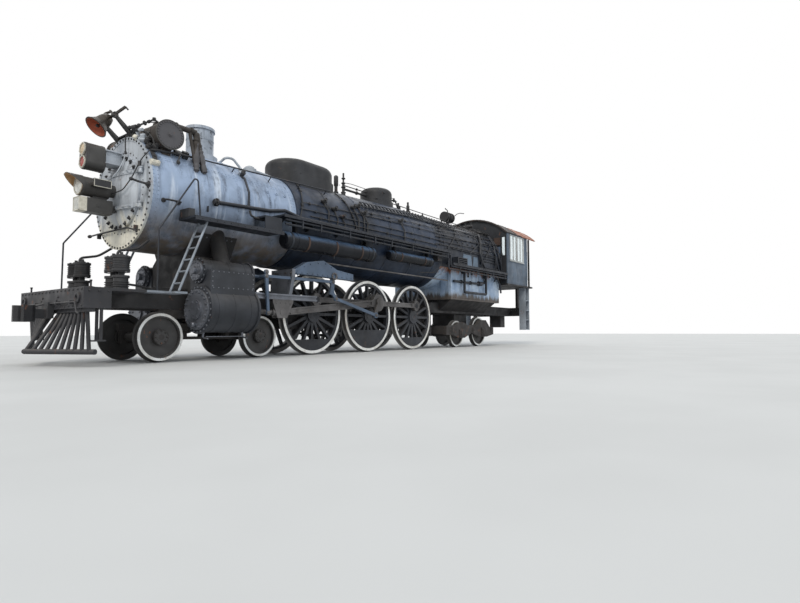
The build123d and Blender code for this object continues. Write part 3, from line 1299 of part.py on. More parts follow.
WINDOW_HEIGHTS = (BOILER_HEIGHT + 90, EAVES - 70)
WINDOWS = ((-8350, -7750), (-9000, -8420))
FRONT_WINDOW = (1330, 1480)
FRONT_WINDOW_HEIGHTS = (BOILER_HEIGHT + 230, EAVES - 150)
WALL_INNER = CAB_HALF_WIDTH - CAB_WALL
BOILER_HOLE = JACKET_RADIUS_REAR + 5


def cab_side(side):
    with BuildPart() as wall:
        widths = (side * WALL_INNER, side * CAB_HALF_WIDTH)
        block((CAB_SIDE_REAR, CAB_FRONT), widths, (CAB_FLOOR, EAVES))
        for window in WINDOWS:
            block(window, (-2000, 2000), WINDOW_HEIGHTS, mode=Mode.SUBTRACT)
    return wall.part


save(cab_side(1), "cab_side_left")
save(cab_side(-1), "cab_side_right")

# Roof: an arched sheet whose underside is a circle that the front wall also follows
ROOF_THICKNESS = 45
ROOF_HALF = CAB_HALF_WIDTH + ROOF_OVERHANG
CEILING_HALF = ROOF_HALF - 60
CEILING_CROWN = ROOF_CROWN - ROOF_THICKNESS
CEILING_RISE = CEILING_CROWN - EAVES
CEILING_RADIUS = (CEILING_HALF**2 + CEILING_RISE**2) / (2 * CEILING_RISE)


def ceiling_height(y):
    return CEILING_CROWN - CEILING_RADIUS + sqrt(CEILING_RADIUS**2 - y**2)


with BuildPart() as cab_front:
    corner = ceiling_height(WALL_INNER)
    plane = Plane(origin=(x_at(CAB_FRONT - CAB_WALL), 0, FLANGE), x_dir=(0, 1, 0), z_dir=(1, 0, 0))
    with BuildSketch(plane) as wall:
        with BuildLine():
            Polyline(
                (-WALL_INNER, corner),
                (-WALL_INNER, CAB_FLOOR),
                (WALL_INNER, CAB_FLOOR),
                (WALL_INNER, corner),
            )
            ThreePointArc((WALL_INNER, corner), (0, CEILING_CROWN), (-WALL_INNER, corner))
        make_face()
    extrude(wall.sketch, amount=CAB_WALL)
    through = (CAB_FRONT - 200, CAB_FRONT + 100)
    for side in (1, -1):
        widths = (side * FRONT_WINDOW[0], side * FRONT_WINDOW[1])
        block(through, widths, FRONT_WINDOW_HEIGHTS, mode=Mode.SUBTRACT)
    block(through, (-BOILER_HOLE, BOILER_HOLE), (CAB_FLOOR - 10, BOILER_HEIGHT), mode=Mode.SUBTRACT)
    drum(through, 0, BOILER_HEIGHT, BOILER_HOLE, mode=Mode.SUBTRACT)
save(cab_front.part, "cab_front")

with BuildPart() as cab_roof:
    plane = Plane(origin=(x_at(CAB_ROOF_REAR), 0, FLANGE), x_dir=(0, 1, 0), z_dir=(1, 0, 0))
    with BuildSketch(plane) as shell:
        with BuildLine():
            ThreePointArc((ROOF_HALF, EAVES), (0, ROOF_CROWN), (-ROOF_HALF, EAVES))
            Line((-ROOF_HALF, EAVES), (-CEILING_HALF, EAVES))
            ThreePointArc((-CEILING_HALF, EAVES), (0, CEILING_CROWN), (CEILING_HALF, EAVES))
            Line((CEILING_HALF, EAVES), (ROOF_HALF, EAVES))
        make_face()
    extrude(shell.sketch, amount=CAB_FRONT - CAB_ROOF_REAR + 100)
save(cab_roof.part, "cab_roof")

FLOOR_THICKNESS = 60
FLOOR_UNDERSIDE = CAB_FLOOR - FLOOR_THICKNESS
with BuildPart() as cab_floor:
    block((FRAME_REAR, FIREBOX_REAR), (0, CAB_HALF_WIDTH), (FLOOR_UNDERSIDE, CAB_FLOOR))
    corner_post = (FRAME_REAR + 200, FRAME_REAR + 260)
    block(corner_post, (1480, 1540), (FLOOR_UNDERSIDE, EAVES))
    support_height = (FRAME_TAIL_TOP, FLOOR_UNDERSIDE)
    block((FRAME_REAR + 100, FRAME_REAR + 260), (900, 1000), support_height)
    block((FIREBOX_REAR - 260, FIREBOX_REAR - 100), (FRAME_INNER, FRAME_OUTER - 10), support_height)
    mirror(about=Plane.XZ)
save(cab_floor.part, "cab_floor")

BACKHEAD_DEPTH = 560
with BuildPart() as backhead:
    depth = (FIREBOX_REAR - BACKHEAD_DEPTH, FIREBOX_REAR)
    drum(depth, 0, BOILER_HEIGHT, 1180)
    block(depth, (-1150, 1150), (CAB_FLOOR, BOILER_HEIGHT))
    below = (FIREBOX_REAR - BACKHEAD_DEPTH - 40, FIREBOX_REAR)
    block(below, (-1300, 1300), (CAB_FLOOR - 1400, CAB_FLOOR), mode=Mode.SUBTRACT)
    fire_door = (FIREBOX_REAR - BACKHEAD_DEPTH - 60, FIREBOX_REAR - BACKHEAD_DEPTH + 10)
    drum(fire_door, 0, BOILER_HEIGHT - 320, 260)
save(backhead.part, "backhead")

GLASS = 8
with BuildPart() as glass:
    middle = CAB_HALF_WIDTH - CAB_WALL / 2
    for window in WINDOWS:
        block(window, (middle - GLASS / 2, middle + GLASS / 2), WINDOW_HEIGHTS)
    middle = CAB_FRONT - CAB_WALL / 2
    block((middle - GLASS / 2, middle + GLASS / 2), FRONT_WINDOW, FRONT_WINDOW_HEIGHTS)
    mirror(about=Plane.XZ)
save(glass.part, "cab_glass")


# Ladder from the deck to the front board, and the steps below the cab

LADDER_FOOT = 6140
LADDER_HEAD = 5570
LADDER_SIDES = (1120, 1420)
LADDER_RUNGS = 6
REAR_STEPS = (FRAME_REAR + 300, FRAME_REAR + 650)
REAR_STEP_WIDTHS = (1250, 1540)
TREAD = 30
with BuildPart() as steps:
    for y in LADDER_SIDES:
        foot = (LADDER_FOOT, y, DECK_HEIGHT + 9)
        bar(foot, (LADDER_HEAD, y, FRONT_BOARD_TOP - 54), 22)
    for number in range(LADDER_RUNGS):
        share = (number + 0.7) / LADDER_RUNGS
        station = LADDER_FOOT - share * (LADDER_FOOT - LADDER_HEAD)
        height = DECK_HEIGHT + share * (FRONT_BOARD_TOP - 50 - DECK_HEIGHT)
        bar((station, LADDER_SIDES[0] - 10, height), (station, LADDER_SIDES[1] + 10, height), 18)
    block((LADDER_FOOT - 140, LADDER_FOOT + 100), (1050, 1480), (DECK_HEIGHT - 40, DECK_HEIGHT))
    block((LADDER_FOOT, DECK_REAR), (1050, PILOT_HALF_WIDTH), (DECK_HEIGHT - 40, DECK_HEIGHT))
    rear, front = REAR_STEPS
    for height in (600, 1000, 1400, 1800):
        block(REAR_STEPS, REAR_STEP_WIDTHS, (height - TREAD / 2, height + TREAD / 2))
    for station in (rear - 5, front):
        block((station, station + 15), REAR_STEP_WIDTHS, (600 - TREAD / 2, FLOOR_UNDERSIDE))
    mirror(about=Plane.XZ)
save(steps.part, "steps")


# Air pumps on the front deck: low and high above the deck, and radius

PUMP_STATION = BEAM_FRONT - 780
PUMP_SECTIONS = (
    (0, 30, 140),
    (20, 230, 122),
    (220, 260, 142),
    (250, 350, 50),
    (340, 380, 148),
    (370, 580, 132),
    (570, 610, 148),
)
PUMP_SPREADS = (640, 930)
with BuildPart() as pumps:
    for y in PUMP_SPREADS:
        for low, high, radius in PUMP_SECTIONS:
            post(PUMP_STATION, y, (DECK_HEIGHT + low, DECK_HEIGHT + high), radius)
    foot = (PUMP_STATION - 60, PUMP_STATION + 60)
    block(foot, PUMP_SPREADS, (DECK_HEIGHT, DECK_HEIGHT + 60))
    mirror(about=Plane.XZ)
save(pumps.part, "air_pumps")

SHOE_GAP = 10
SHOE_THICKNESS = 65
SHOE_WIDTHS = (715, 800)
HANGER_WIDTHS = (715, 770)
with BuildPart() as brakes:
    for station in DRIVER_STATIONS.values():
        hanger = station - DRIVER_RADIUS - 90
        with BuildSketch(rod_plane(1, SHOE_WIDTHS[0])) as shoe:
            with Locations((station, DRIVER_RADIUS)):
                Circle(DRIVER_RADIUS + SHOE_GAP + SHOE_THICKNESS)
                Circle(DRIVER_RADIUS + SHOE_GAP, mode=Mode.SUBTRACT)
            with Locations((hanger + 160, 500)):
                Rectangle(240, 330, mode=Mode.INTERSECT)
        extrude(shoe.sketch, amount=SHOE_WIDTHS[0] - SHOE_WIDTHS[1])
        block((hanger - 20, hanger + 150), HANGER_WIDTHS, (470, 530))
        block((hanger - 20, hanger + 20), HANGER_WIDTHS, (420, 1290))
        cross_drum(hanger, (FRAME_OUTER, HANGER_WIDTHS[1] + 5), 1250, 28)
        cross_drum(hanger, (0, HANGER_WIDTHS[1]), 450, 35)
    mirror(about=Plane.XZ)
save(brakes.part, "brake_gear")


# Pipes on the left side: bend radius, pipe radius and points (station, Y,
# height above the boiler's axis)

PIPES = (
    (60, 40, [(5230, 1145, -80), (3830, 1150, -10), (3400, 1165, 70), (2900, 1174, -30), (1000, 1232, -50)]),
    (60, 25, [(4400, 840, 690), (4400, 985, 630), (4400, 1150, 290), (4400, 1150, -30)]),
    (60, 25, [(3690, 1520, -220), (-3330, 1520, -220), (-3330, 1520, -590), (CAB_FRONT, 1520, -590)]),
    (60, 25, [(3690, 1520, -320), (-3200, 1520, -320), (-3200, 1520, -690), (CAB_FRONT, 1520, -690)]),
    (
        50,
        45,
        [
            (-4600, FIREBOX_HALF_WIDTH, -670),
            (-4600, 1300, -670),
            (-4600, 1300, -1370),
            (-6200, 1300, -1370),
            (-6200, 1300, -670),
            (-6200, FIREBOX_HALF_WIDTH, -670),
        ],
    ),
)
# Pipes down the firebox jacket: station at the top and at the bottom
JACKET_PIPES = ((-5680, -5830), (-6620, -6970), (-7050, -7460))
# Flat hangers of the paired pipes: stations, and low and high above the boiler's axis
PIPE_HANGERS = (
    ((3200, 2610, 1590, 590, -140, -1150, -2150, -3100), -365, -160),
    ((-3900, -5100, -6300, -7300), -735, -510),
)
with BuildPart() as pipework:
    for bend, radius, points in PIPES:
        pipe([(s, y, BOILER_HEIGHT + rise) for s, y, rise in points], bend, radius)
    for top, bottom in JACKET_PIPES:
        points = [
            (top, 1010, BOILER_HEIGHT + 730),
            (top, 1180, BOILER_HEIGHT + 630),
            (bottom, 1330, BOILER_HEIGHT + 180),
            (bottom, 1330, REAR_BOARD_TOP),
        ]
        pipe(points, 60, 20)
    for stations, low, high in PIPE_HANGERS:
        for station in stations:
            hanger = (station - 20, station + 20)
            block(hanger, (1540, 1560), (BOILER_HEIGHT + low, BOILER_HEIGHT + high))
    mirror(about=Plane.XZ)
    boiler_form(SMOKEBOX_REAR, FIREBOX_REAR, mode=Mode.SUBTRACT)
    smokebox_form(mode=Mode.SUBTRACT)
save(pipework.part, "pipework")
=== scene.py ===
"""Steam locomotive with a four-wheel leading truck, six coupled wheels and a four-wheel
trailing truck: its finishes, fine pieces, lights and camera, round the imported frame."""

import math

import bmesh
import bpy
import numpy as np
from mathutils import Matrix, Vector


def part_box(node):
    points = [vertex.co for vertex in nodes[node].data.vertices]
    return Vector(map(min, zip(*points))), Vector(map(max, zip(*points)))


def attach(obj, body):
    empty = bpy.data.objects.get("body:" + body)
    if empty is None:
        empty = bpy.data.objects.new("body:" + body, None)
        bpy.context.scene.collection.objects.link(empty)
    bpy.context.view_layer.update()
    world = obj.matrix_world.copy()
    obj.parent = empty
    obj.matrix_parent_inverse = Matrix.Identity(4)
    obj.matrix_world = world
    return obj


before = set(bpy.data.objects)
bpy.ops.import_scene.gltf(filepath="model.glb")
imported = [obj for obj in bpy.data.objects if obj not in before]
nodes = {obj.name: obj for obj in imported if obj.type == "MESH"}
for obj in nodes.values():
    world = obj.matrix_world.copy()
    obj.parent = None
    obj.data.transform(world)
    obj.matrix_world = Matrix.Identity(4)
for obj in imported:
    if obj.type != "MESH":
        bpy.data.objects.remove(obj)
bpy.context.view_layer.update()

# Places: stations run forward from the main driving axle, heights up from the rail head
X_MAIN = 0.975
FLANGE = 0.029

# Wheels, rods and valve gear; sides are 1 on the left and -1 on the right
DRIVER_RADIUS = 0.9905
DRIVER_STATIONS = {"front": 2.16, "main": 0.0, "rear": -2.16}
TRAILING_STATIONS = (-4.85, -6.47)
# Truck, axle, station, wheel radius
TRUCK_WHEELS = (
    ("leading", "front", 6.13, 0.457),
    ("leading", "rear", 3.8, 0.457),
    ("trailing", "front", TRAILING_STATIONS[0], 0.457),
    ("trailing", "rear", TRAILING_STATIONS[1], 0.5335),
)
# How far each side's crank pin lies ahead of its axle and above it
CRANK_SHIFT = {1: (0.0, 0.3555), -1: (0.3555, 0.0)}
WRIST_STATIONS = {1: 3.4819, -1: 3.8555}
RETURN_PINS = {1: (0.24, 0.9905), -1: (0.0, 0.7505)}
SIDE_ROD_FACE = 0.96
MAIN_ROD_FACE = 1.18
GEAR_FACE = 1.295
BRACKET_FACE = 1.34
LINK_STATION = 1.95
CYLINDER_Y = 1.13
VALVE_Y = 1.06
VALVE_HEIGHT = 1.77

# Boiler
BOILER_HEIGHT = 3.27
SMOKEBOX_RADIUS = 1.11
FRONT_COURSE_RADIUS = 1.13
FIREBOX_RADIUS = 1.27
TAPER_FRONT = 3.0
TAPER_LENGTH = 4.5
TAPER_RISE = 0.14
SMOKEBOX_SEAMS = (6.49, 6.40, 4.62, 3.14, 3.06)
JACKET_BANDS = (2.96, 1.9, 0.7, -0.5, -1.7, -2.9)
FIREBOX_BANDS = (-3.36, -4.6, -5.9, -7.2)
STACK_STATION = 4.87
HEATER_STATION = 6.13
HEATER_HEIGHT = 4.35
WHISTLE_STATION = 0.5
SAFETY_VALVE_STATIONS = (-2.70, -2.82)
TURRET_STATION = -6.75
GENERATOR_HEIGHT = 4.87

# Smokebox front: its plate, the dished door, the lamps and the bell above
FRONT_PLATE = 6.53
DOOR_FACE = 6.58
HINGE_Y = 0.79
DISH_RADIUS = 0.66
DISH_SPHERE = 1.7404
DISH_MIDDLE = 6.71 - DISH_SPHERE
HEADLIGHT_FACE = 7.331
SIGNAL_HEIGHT = 3.845
LENS_RISE = 0.122
BELL_STATION = 6.84
BELL_HEIGHT = 4.69
BELL_TILT = math.radians(42)

# Air tanks below the boards: Y, height, radius, stations of their drain and of their hangers
AIR_TANKS = (
    (1.27, 2.64, 0.20, 1.9, (2.9, 1.95, 1.0)),
    (1.33, 2.715, 0.145, -1.3, (-0.75, -1.95)),
)

# Cab, front beam and pumps
CAB_SIDE = 1.57
CAB_FRONT = -7.505
BACKHEAD_FACE = -8.04
ROOF_RADIUS = 2.2694
ROOF_MIDDLE = 5.06 - ROOF_RADIUS
BEAM_FACE = 7.74
DECK_TOP = 1.30
PUMP_STATION = 6.96


def at(station, y, height):
    """A point, or an array of points, from stations, Y values and heights in metres."""
    station, y, height = np.broadcast_arrays(station, y, height)
    return np.stack([X_MAIN + station, y * 1.0, FLANGE + height], axis=-1)


def add_object(name, data):
    """A new object in the scene, from its mesh, lamp or camera data."""
    made = bpy.data.objects.new(name, data)
    bpy.context.scene.collection.objects.link(made)
    return made


# Camera


def make_camera():
    """A camera at the photograph's place: its distance, height, heading and slight tilt were
    fitted to the wheels, the boiler and the cab."""
    data = bpy.data.cameras.new("camera")
    data.sensor_fit = "HORIZONTAL"
    data.sensor_width = 36.0
    data.lens = 23.84
    data.clip_start = 0.05
    data.clip_end = 600.0
    camera = add_object("camera", data)
    heading = math.radians(36.80)
    pitch = math.radians(3.157)
    roll = math.radians(-0.1625)
    forward = Vector((
        -math.cos(heading) * math.cos(pitch), -math.sin(heading) * math.cos(pitch), math.sin(pitch)
    ))
    aim = forward.to_track_quat("-Z", "Y") @ Matrix.Rotation(roll, 3, "Z").to_quaternion()
    camera.rotation_mode = "QUATERNION"
    camera.rotation_quaternion = aim
    camera.location = (12.479, 10.533, 0.594)
    bpy.context.scene.camera = camera


make_camera()


# Finishes


class Finish:
    """A finish being built from shader nodes, which read Object coordinates in metres."""

    def __init__(self, name):
        self.material = bpy.data.materials.new(name)
        self.material.use_nodes = True
        self.tree = self.material.node_tree
        self.shader = self.tree.nodes["Principled BSDF"]
        source = self.node("ShaderNodeTexCoord", {})
        self.place = source.outputs["Object"]
        self.facing = source.outputs["Normal"]

    def node(self, kind, inputs, **settings):
        """A node with its settings, and its inputs linked or set by their names or numbers."""
        made = self.tree.nodes.new(kind)
        for key, value in settings.items():
            setattr(made, key, value)
        for key, value in inputs.items():
            self.feed(made.inputs[key], value)
        return made

    def feed(self, socket, value):
        if isinstance(value, bpy.types.NodeSocket):
            self.tree.links.new(value, socket)
        else:
            socket.default_value = value

    def surface(self, **inputs):
        """Sets the shader's inputs, whose names have _ for a space."""
        for key, value in inputs.items():
            self.feed(self.shader.inputs[key.replace("_", " ")], value)

    def sum(self, operation, first, second=0.0):
        return self.node("ShaderNodeMath", {0: first, 1: second}, operation=operation).outputs[0]

    def noise(self, scale, detail=3.0, stretch=(1, 1, 1), shift=(0, 0, 0), rough=0.55):
        """Fractal noise about 0.5, with scale features a metre, stretched along the axes."""
        places = {"Vector": self.place, "Location": shift, "Scale": stretch}
        mapping = self.node("ShaderNodeMapping", places)
        inputs = {"Vector": mapping.outputs[0], "Scale": scale, "Detail": detail, "Roughness": rough}
        return self.node("ShaderNodeTexNoise", inputs).outputs["Fac"]

    def band(self, value, low, high, start=0.0, end=1.0):
        """A smooth step from start, where value is low, to end, where it is high."""
        inputs = {"Value": value, "From Min": low, "From Max": high, "To Min": start, "To Max": end}
        return self.node("ShaderNodeMapRange", inputs, interpolation_type="SMOOTHSTEP").outputs["Result"]

    def mix(self, share, first, second):
        """Two colours mixed: all first where share is 0 and all second where it is 1."""
        inputs = {0: share}
        for number, colour in ((6, first), (7, second)):
            inputs[number] = colour if isinstance(colour, bpy.types.NodeSocket) else (*colour, 1.0)
        return self.node("ShaderNodeMix", inputs, data_type="RGBA").outputs[2]

    def axis(self, vector, index):
        return self.node("ShaderNodeSeparateXYZ", {0: vector}).outputs[index]

    def distance(self, centre, keep=(1, 1, 1)):
        """Distance from a centre, measured only along the axes whose keep is 1."""
        shift = [-c * k for c, k in zip(centre, keep)]
        mapping = self.node("ShaderNodeMapping", {"Vector": self.place, "Scale": keep, "Location": shift})
        length = self.node("ShaderNodeVectorMath", {0: mapping.outputs[0]}, operation="LENGTH")
        return length.outputs["Value"]

    def bump(self, height, strength, **inputs):
        """Feeds the shader the normal of a bump 4 mm deep."""
        inputs = {"Strength": strength, "Distance": 0.004, "Height": height, **inputs}
        self.surface(Normal=self.node("ShaderNodeBump", inputs).outputs["Normal"])


RUST = (0.13, 0.055, 0.030)
DUST = (0.23, 0.21, 0.19)
GRIME = (0.035, 0.030, 0.026)


def weathered(
    name, colour, spread=0.25, roughness=(0.35, 0.6), metallic=0.0, streaks=0.0, dust=0.0, rust=0.0,
    grime=0.0, dents=0.0, grain=0.15, edge=0.006, wear=0.0, wear_colour=(0.30, 0.30, 0.31), gleam=0.35,
    extra=None,
):
    """Paint or bare metal in the open air. Its colour varies by broad noise, and over it come
    dark streaks that run down, dust on what faces up, rust and grime in patches, and wear
    where an edge turns. The bump adds shallow dents and a fine grain to rounded edges."""
    made = Finish(name)
    dark = [c * (1 - spread) for c in colour]
    light = [min(c * (1 + spread), 1.0) for c in colour]
    tint = made.mix(made.band(made.noise(1.3, 4.0), 0.3, 0.7), dark, light)
    fine = made.noise(60.0, 4.0)
    gloss = made.band(made.noise(4.0, 5.0), 0.3, 0.7, *roughness)
    if extra is not None:
        tint = extra(made, tint)
    if streaks:
        run = made.noise(1.0, 5.0, (5.0, 5.0, 0.45), rough=0.7)
        tint = made.mix(made.band(run, 0.5, 0.72, 0.0, streaks), tint, [c * 0.35 for c in colour])
    if grime:
        patch = made.noise(2.6, 7.0, shift=(3.0, 1.0, 2.0), rough=0.7)
        tint = made.mix(made.band(patch, 0.5, 0.7, 0.0, grime), tint, GRIME)
    if rust:
        patch = made.noise(7.0, 9.0, (1, 1, 0.6), (7.0, 2.0, 5.0), 0.72)
        mask = made.band(patch, 0.66 - 0.2 * rust, 0.74 - 0.14 * rust)
        shade = made.mix(made.band(fine, 0.35, 0.65), RUST, [c * 1.7 for c in RUST])
        tint = made.mix(mask, tint, shade)
        gloss = made.sum("MAXIMUM", gloss, made.band(mask, 0.0, 1.0, 0.0, 0.85))
    if dust:
        up = made.band(made.axis(made.facing, 2), 0.05, 1.0, 0.0, dust)
        settled = made.sum("MULTIPLY", up, made.band(made.noise(3.0, 3.0), 0.3, 0.7, 0.55, 1.0))
        tint = made.mix(settled, tint, DUST)
    bevel = made.node("ShaderNodeBevel", {"Radius": edge}, samples=4).outputs["Normal"]
    if wear:
        true = made.node("ShaderNodeNewGeometry", {}).outputs["Normal"]
        agree = made.node("ShaderNodeVectorMath", {0: true, 1: bevel}, operation="DOT_PRODUCT")
        at_edge = made.band(agree.outputs["Value"], 0.80, 0.985, 1.0, 0.0)
        worn = made.sum("MULTIPLY", at_edge, made.band(made.noise(14.0, 5.0), 0.42, 0.62, 0.0, wear))
        tint = made.mix(worn, tint, wear_colour)
    made.surface(Base_Color=tint, Roughness=gloss, Metallic=metallic, Specular_IOR_Level=gleam)
    height = made.sum("MULTIPLY", fine, grain)
    if dents:
        dent = made.noise(2.2, 1.5, shift=(1.0, 4.0, 2.0))
        height = made.sum("ADD", height, made.sum("MULTIPLY", dent, dents * 20))
    made.bump(height, 0.6, Normal=bevel)
    return made.material


def runs_painted_highlights_and_low_brown(made, tint):
    """Pale streaks down the smokebox, which are painted highlights, dark runs down it, and brown that
    thickens downwards over its lower half."""
    height = made.axis(made.place, 2)
    run = made.noise(1.0, 6.0, (6.5, 0.6, 0.45), (9.0, 2.0, 1.0), 0.66)
    # Pale streaks: painted highlights
    tint = made.mix(made.band(run, 0.54, 0.70, 0.0, 0.75), tint, (0.60, 0.66, 0.74))
    tint = made.mix(made.band(run, 0.30, 0.42, 0.6, 0.0), tint, (0.10, 0.12, 0.15))
    fade = made.band(height, 2.35, 3.15, 1.0, 0.0)
    patch = made.band(made.noise(3.0, 6.0, shift=(2.0, 2.0, 2.0)), 0.25, 0.6, 0.45, 1.0)
    return made.mix(made.sum("MULTIPLY", fade, patch), tint, (0.15, 0.125, 0.105))


def painted_sunlit_foot(made, tint):
    """Painted sunlight: a cream over the silver paint, growing below the boiler's axis."""
    height = made.axis(made.place, 2)
    ragged = made.sum(
        "ADD", height, made.band(made.noise(1.6, 6.0, (1, 4, 0.8)), 0.25, 0.75, -0.22, 0.22)
    )
    low = made.band(ragged, 2.45, 3.0, 0.9, 0.0)
    # The cream is painted sunlight
    return made.mix(low, tint, (0.74, 0.70, 0.58))


def white_rim(station, radius, rim):
    """White paint on the outer face of a tyre or wheel rim, worn through in places."""
    centre = at(station, 0, radius).tolist()

    def paint(made, tint):
        outward = made.band(made.sum("ABSOLUTE", made.axis(made.place, 1)), 0.8085, 0.8115)
        reach = made.distance(centre, (1, 0, 1))
        ring = made.sum("MULTIPLY", outward, made.band(reach, radius - rim - 0.002, radius - rim + 0.002))
        chips = made.band(made.noise(9.0, 8.0, shift=(5.0, 3.0, 1.0), rough=0.75), 0.60, 0.66, 1.0, 0.15)
        soiled = made.mix(
            made.band(made.noise(3.0, 5.0), 0.35, 0.75), (0.83, 0.83, 0.81), (0.52, 0.49, 0.44)
        )
        return made.mix(made.sum("MULTIPLY", ring, chips), tint, soiled)

    return paint


def roof_halves(made, tint):
    """Bare red rust over the rear half of the cab roof, thinning into dark paint forward."""
    along = made.axis(made.place, 0)
    ragged = made.sum("ADD", along, made.band(made.noise(2.0, 6.0), 0.2, 0.8, -0.5, 0.5))
    rear = made.band(ragged, X_MAIN - 8.75, X_MAIN - 8.35, 1.0, 0.0)
    rusty = made.mix(
        made.band(made.noise(12.0, 6.0), 0.3, 0.7), (0.27, 0.105, 0.065), (0.42, 0.20, 0.135)
    )
    return made.mix(rear, tint, rusty)


def stack_soot(made, tint):
    """Soot inside the stack's bore and in a ragged ring over its lip."""
    reach = made.distance(at(STACK_STATION, 0, 0).tolist(), (1, 1, 0))
    ragged = made.sum("ADD", reach, made.band(made.noise(9.0, 5.0), 0.3, 0.7, -0.02, 0.02))
    return made.mix(made.band(ragged, 0.262, 0.285, 1.0, 0.0), tint, (0.012, 0.011, 0.010))


def bright_lower_sheet(made, tint):
    """Silver paint on the firebox's lower sheet, tinted blue as painted skylight shade, with rust running
    from its top edge.
    """
    height = made.axis(made.place, 2)
    low = made.band(height, FLANGE + 2.700, FLANGE + 2.704, 1.0, 0.0)
    # Silver tinted blue: its blue is painted skylight shade
    silver = made.mix(
        made.band(made.noise(2.2, 6.0, rough=0.65), 0.32, 0.68), (0.24, 0.33, 0.47), (0.48, 0.57, 0.68)
    )
    run = made.noise(1.0, 6.0, (6.0, 6.0, 0.9), (4.0, 4.0, 4.0), 0.7)
    edge = made.sum("ADD", height, made.band(run, 0.3, 0.7, 0.0, 0.30))
    rusty = made.band(edge, FLANGE + 2.66, FLANGE + 2.86)
    foot = made.band(
        made.sum("ADD", height, made.band(run, 0.3, 0.7, -0.2, 0.0)), FLANGE + 1.62, FLANGE + 1.80, 1.0,
        0.0,
    )
    stained = made.mix(rusty, silver, (0.24, 0.105, 0.055))
    stained = made.mix(foot, stained, (0.10, 0.085, 0.075))
    return made.mix(low, tint, stained)


def heater_ends(made, tint):
    """Grey paint on the heater drum's two end caps."""
    out = made.sum("ABSOLUTE", made.axis(made.place, 1))
    return made.mix(made.band(out, 0.996, 0.9985), tint, (0.082, 0.079, 0.084))


def tank_painted_highlight(made, tint):
    """Painted highlight: a blue-grey sky reflection over the air tanks' upper sides, broken up in patches
    and a little fainter on the front tank.
    """
    up = made.band(made.axis(made.facing, 2), 0.05, 0.75)
    # Noise that breaks the painted highlight into patches
    worn = made.band(made.noise(3.0, 6.0, (0.5, 1, 1)), 0.3, 0.65, 0.35, 1.0)
    rear = made.band(made.axis(made.place, 0), X_MAIN - 0.2, X_MAIN + 0.2, 1.0, 0.8)
    share = made.sum("MULTIPLY", made.sum("MULTIPLY", up, worn), rear)
    # Blue-grey: painted sky reflection
    return made.mix(share, tint, (0.14, 0.215, 0.34))


def lamp_faces(made, tint):
    """Cream on the front of the box lamp, and painted sunlight in amber inside the headlight's visor."""
    along = made.axis(made.place, 0)
    height = made.axis(made.place, 2)
    box = made.sum(
        "MULTIPLY", made.band(along, X_MAIN + 7.222, X_MAIN + 7.230),
        made.band(height, 3.09, 3.10, 1.0, 0.0),
    )
    face = made.mix(made.band(made.noise(14.0, 5.0), 0.3, 0.7), (0.50, 0.46, 0.37), (0.70, 0.66, 0.56))
    tint = made.mix(box, tint, face)
    reach = made.distance(at(0, 0, BOILER_HEIGHT).tolist(), (0, 1, 1))
    inside = made.sum(
        "MULTIPLY", made.band(reach, 0.178, 0.181, 1.0, 0.0),
        made.band(along, X_MAIN + 7.30, X_MAIN + 7.31),
    )
    # Amber inside the visor: painted sunlight
    amber = made.mix(made.band(made.noise(10.0, 5.0), 0.3, 0.7), (0.30, 0.16, 0.07), (0.46, 0.30, 0.16))
    return made.mix(inside, tint, amber)


# The smokebox's silver on its sides: a copy of the front's silver, darkened and tinted blue as painted
# skylight shade
SILVER = weathered(
    "aluminium_paint_side_painted_shade", (0.28, 0.35, 0.47), spread=0.2, roughness=(0.38, 0.6), metallic=0.15,
    streaks=0.95, rust=0.10, grime=0.35, dents=0.5, grain=0.1, extra=runs_painted_highlights_and_low_brown,
)
# The smokebox front's silver, with painted sunlight in cream over its lower part
SILVER_FRONT = weathered(
    "aluminium_paint_front", (0.43, 0.46, 0.50), spread=0.2, roughness=(0.4, 0.6), metallic=0.1,
    streaks=0.75, rust=0.2, grime=0.45, dents=0.3, grain=0.12, extra=painted_sunlit_foot,
)
STACK_SILVER = weathered(
    "stack_aluminium_paint", (0.36, 0.40, 0.46), spread=0.2, metallic=0.15, streaks=0.75, rust=0.12,
    grime=0.3, extra=stack_soot,
)
# Black paint on the jacket and the upper firebox, its blue tint partly a painted sky reflection
JACKET_BLACK = weathered(
    "jacket_black", (0.015, 0.024, 0.044), spread=0.5, roughness=(0.36, 0.6), dust=0.08, streaks=0.8,
    rust=0.08, dents=0.3,
)
FIREBOX_BLUE = weathered(
    "firebox_grey", (0.012, 0.017, 0.028), spread=0.5, roughness=(0.4, 0.62), dust=0.06, streaks=0.7,
    rust=0.12, dents=0.25, extra=bright_lower_sheet,
)
FRAME_BLACK = weathered(
    "frame_black", (0.024, 0.023, 0.024), spread=0.35, roughness=(0.5, 0.8), dust=0.35, rust=0.2, grime=0.5,
    grain=0.5, wear=0.5,
)
TRUCK_BLACK = weathered(
    "truck_black", (0.031, 0.028, 0.027), spread=0.35, roughness=(0.5, 0.8), dust=0.4, rust=0.35, grime=0.5,
    grain=0.6, wear=0.5,
)
WHEEL_BLACK = weathered(
    "wheel_black", (0.026, 0.028, 0.034), spread=0.35, roughness=(0.4, 0.65), dust=0.25, rust=0.2,
    grime=0.4, grain=0.3, wear=0.5,
)
ROD_STEEL = weathered(
    "rod_steel", (0.125, 0.12, 0.12), spread=0.35, roughness=(0.38, 0.6), metallic=0.7, dust=0.4, rust=0.2,
    grime=0.6, wear=0.5,
)
GUIDE_STEEL = weathered(
    "guide_steel", (0.16, 0.17, 0.195), roughness=(0.35, 0.55), metallic=0.6, dust=0.4, rust=0.15,
    grime=0.4, wear=0.4,
)
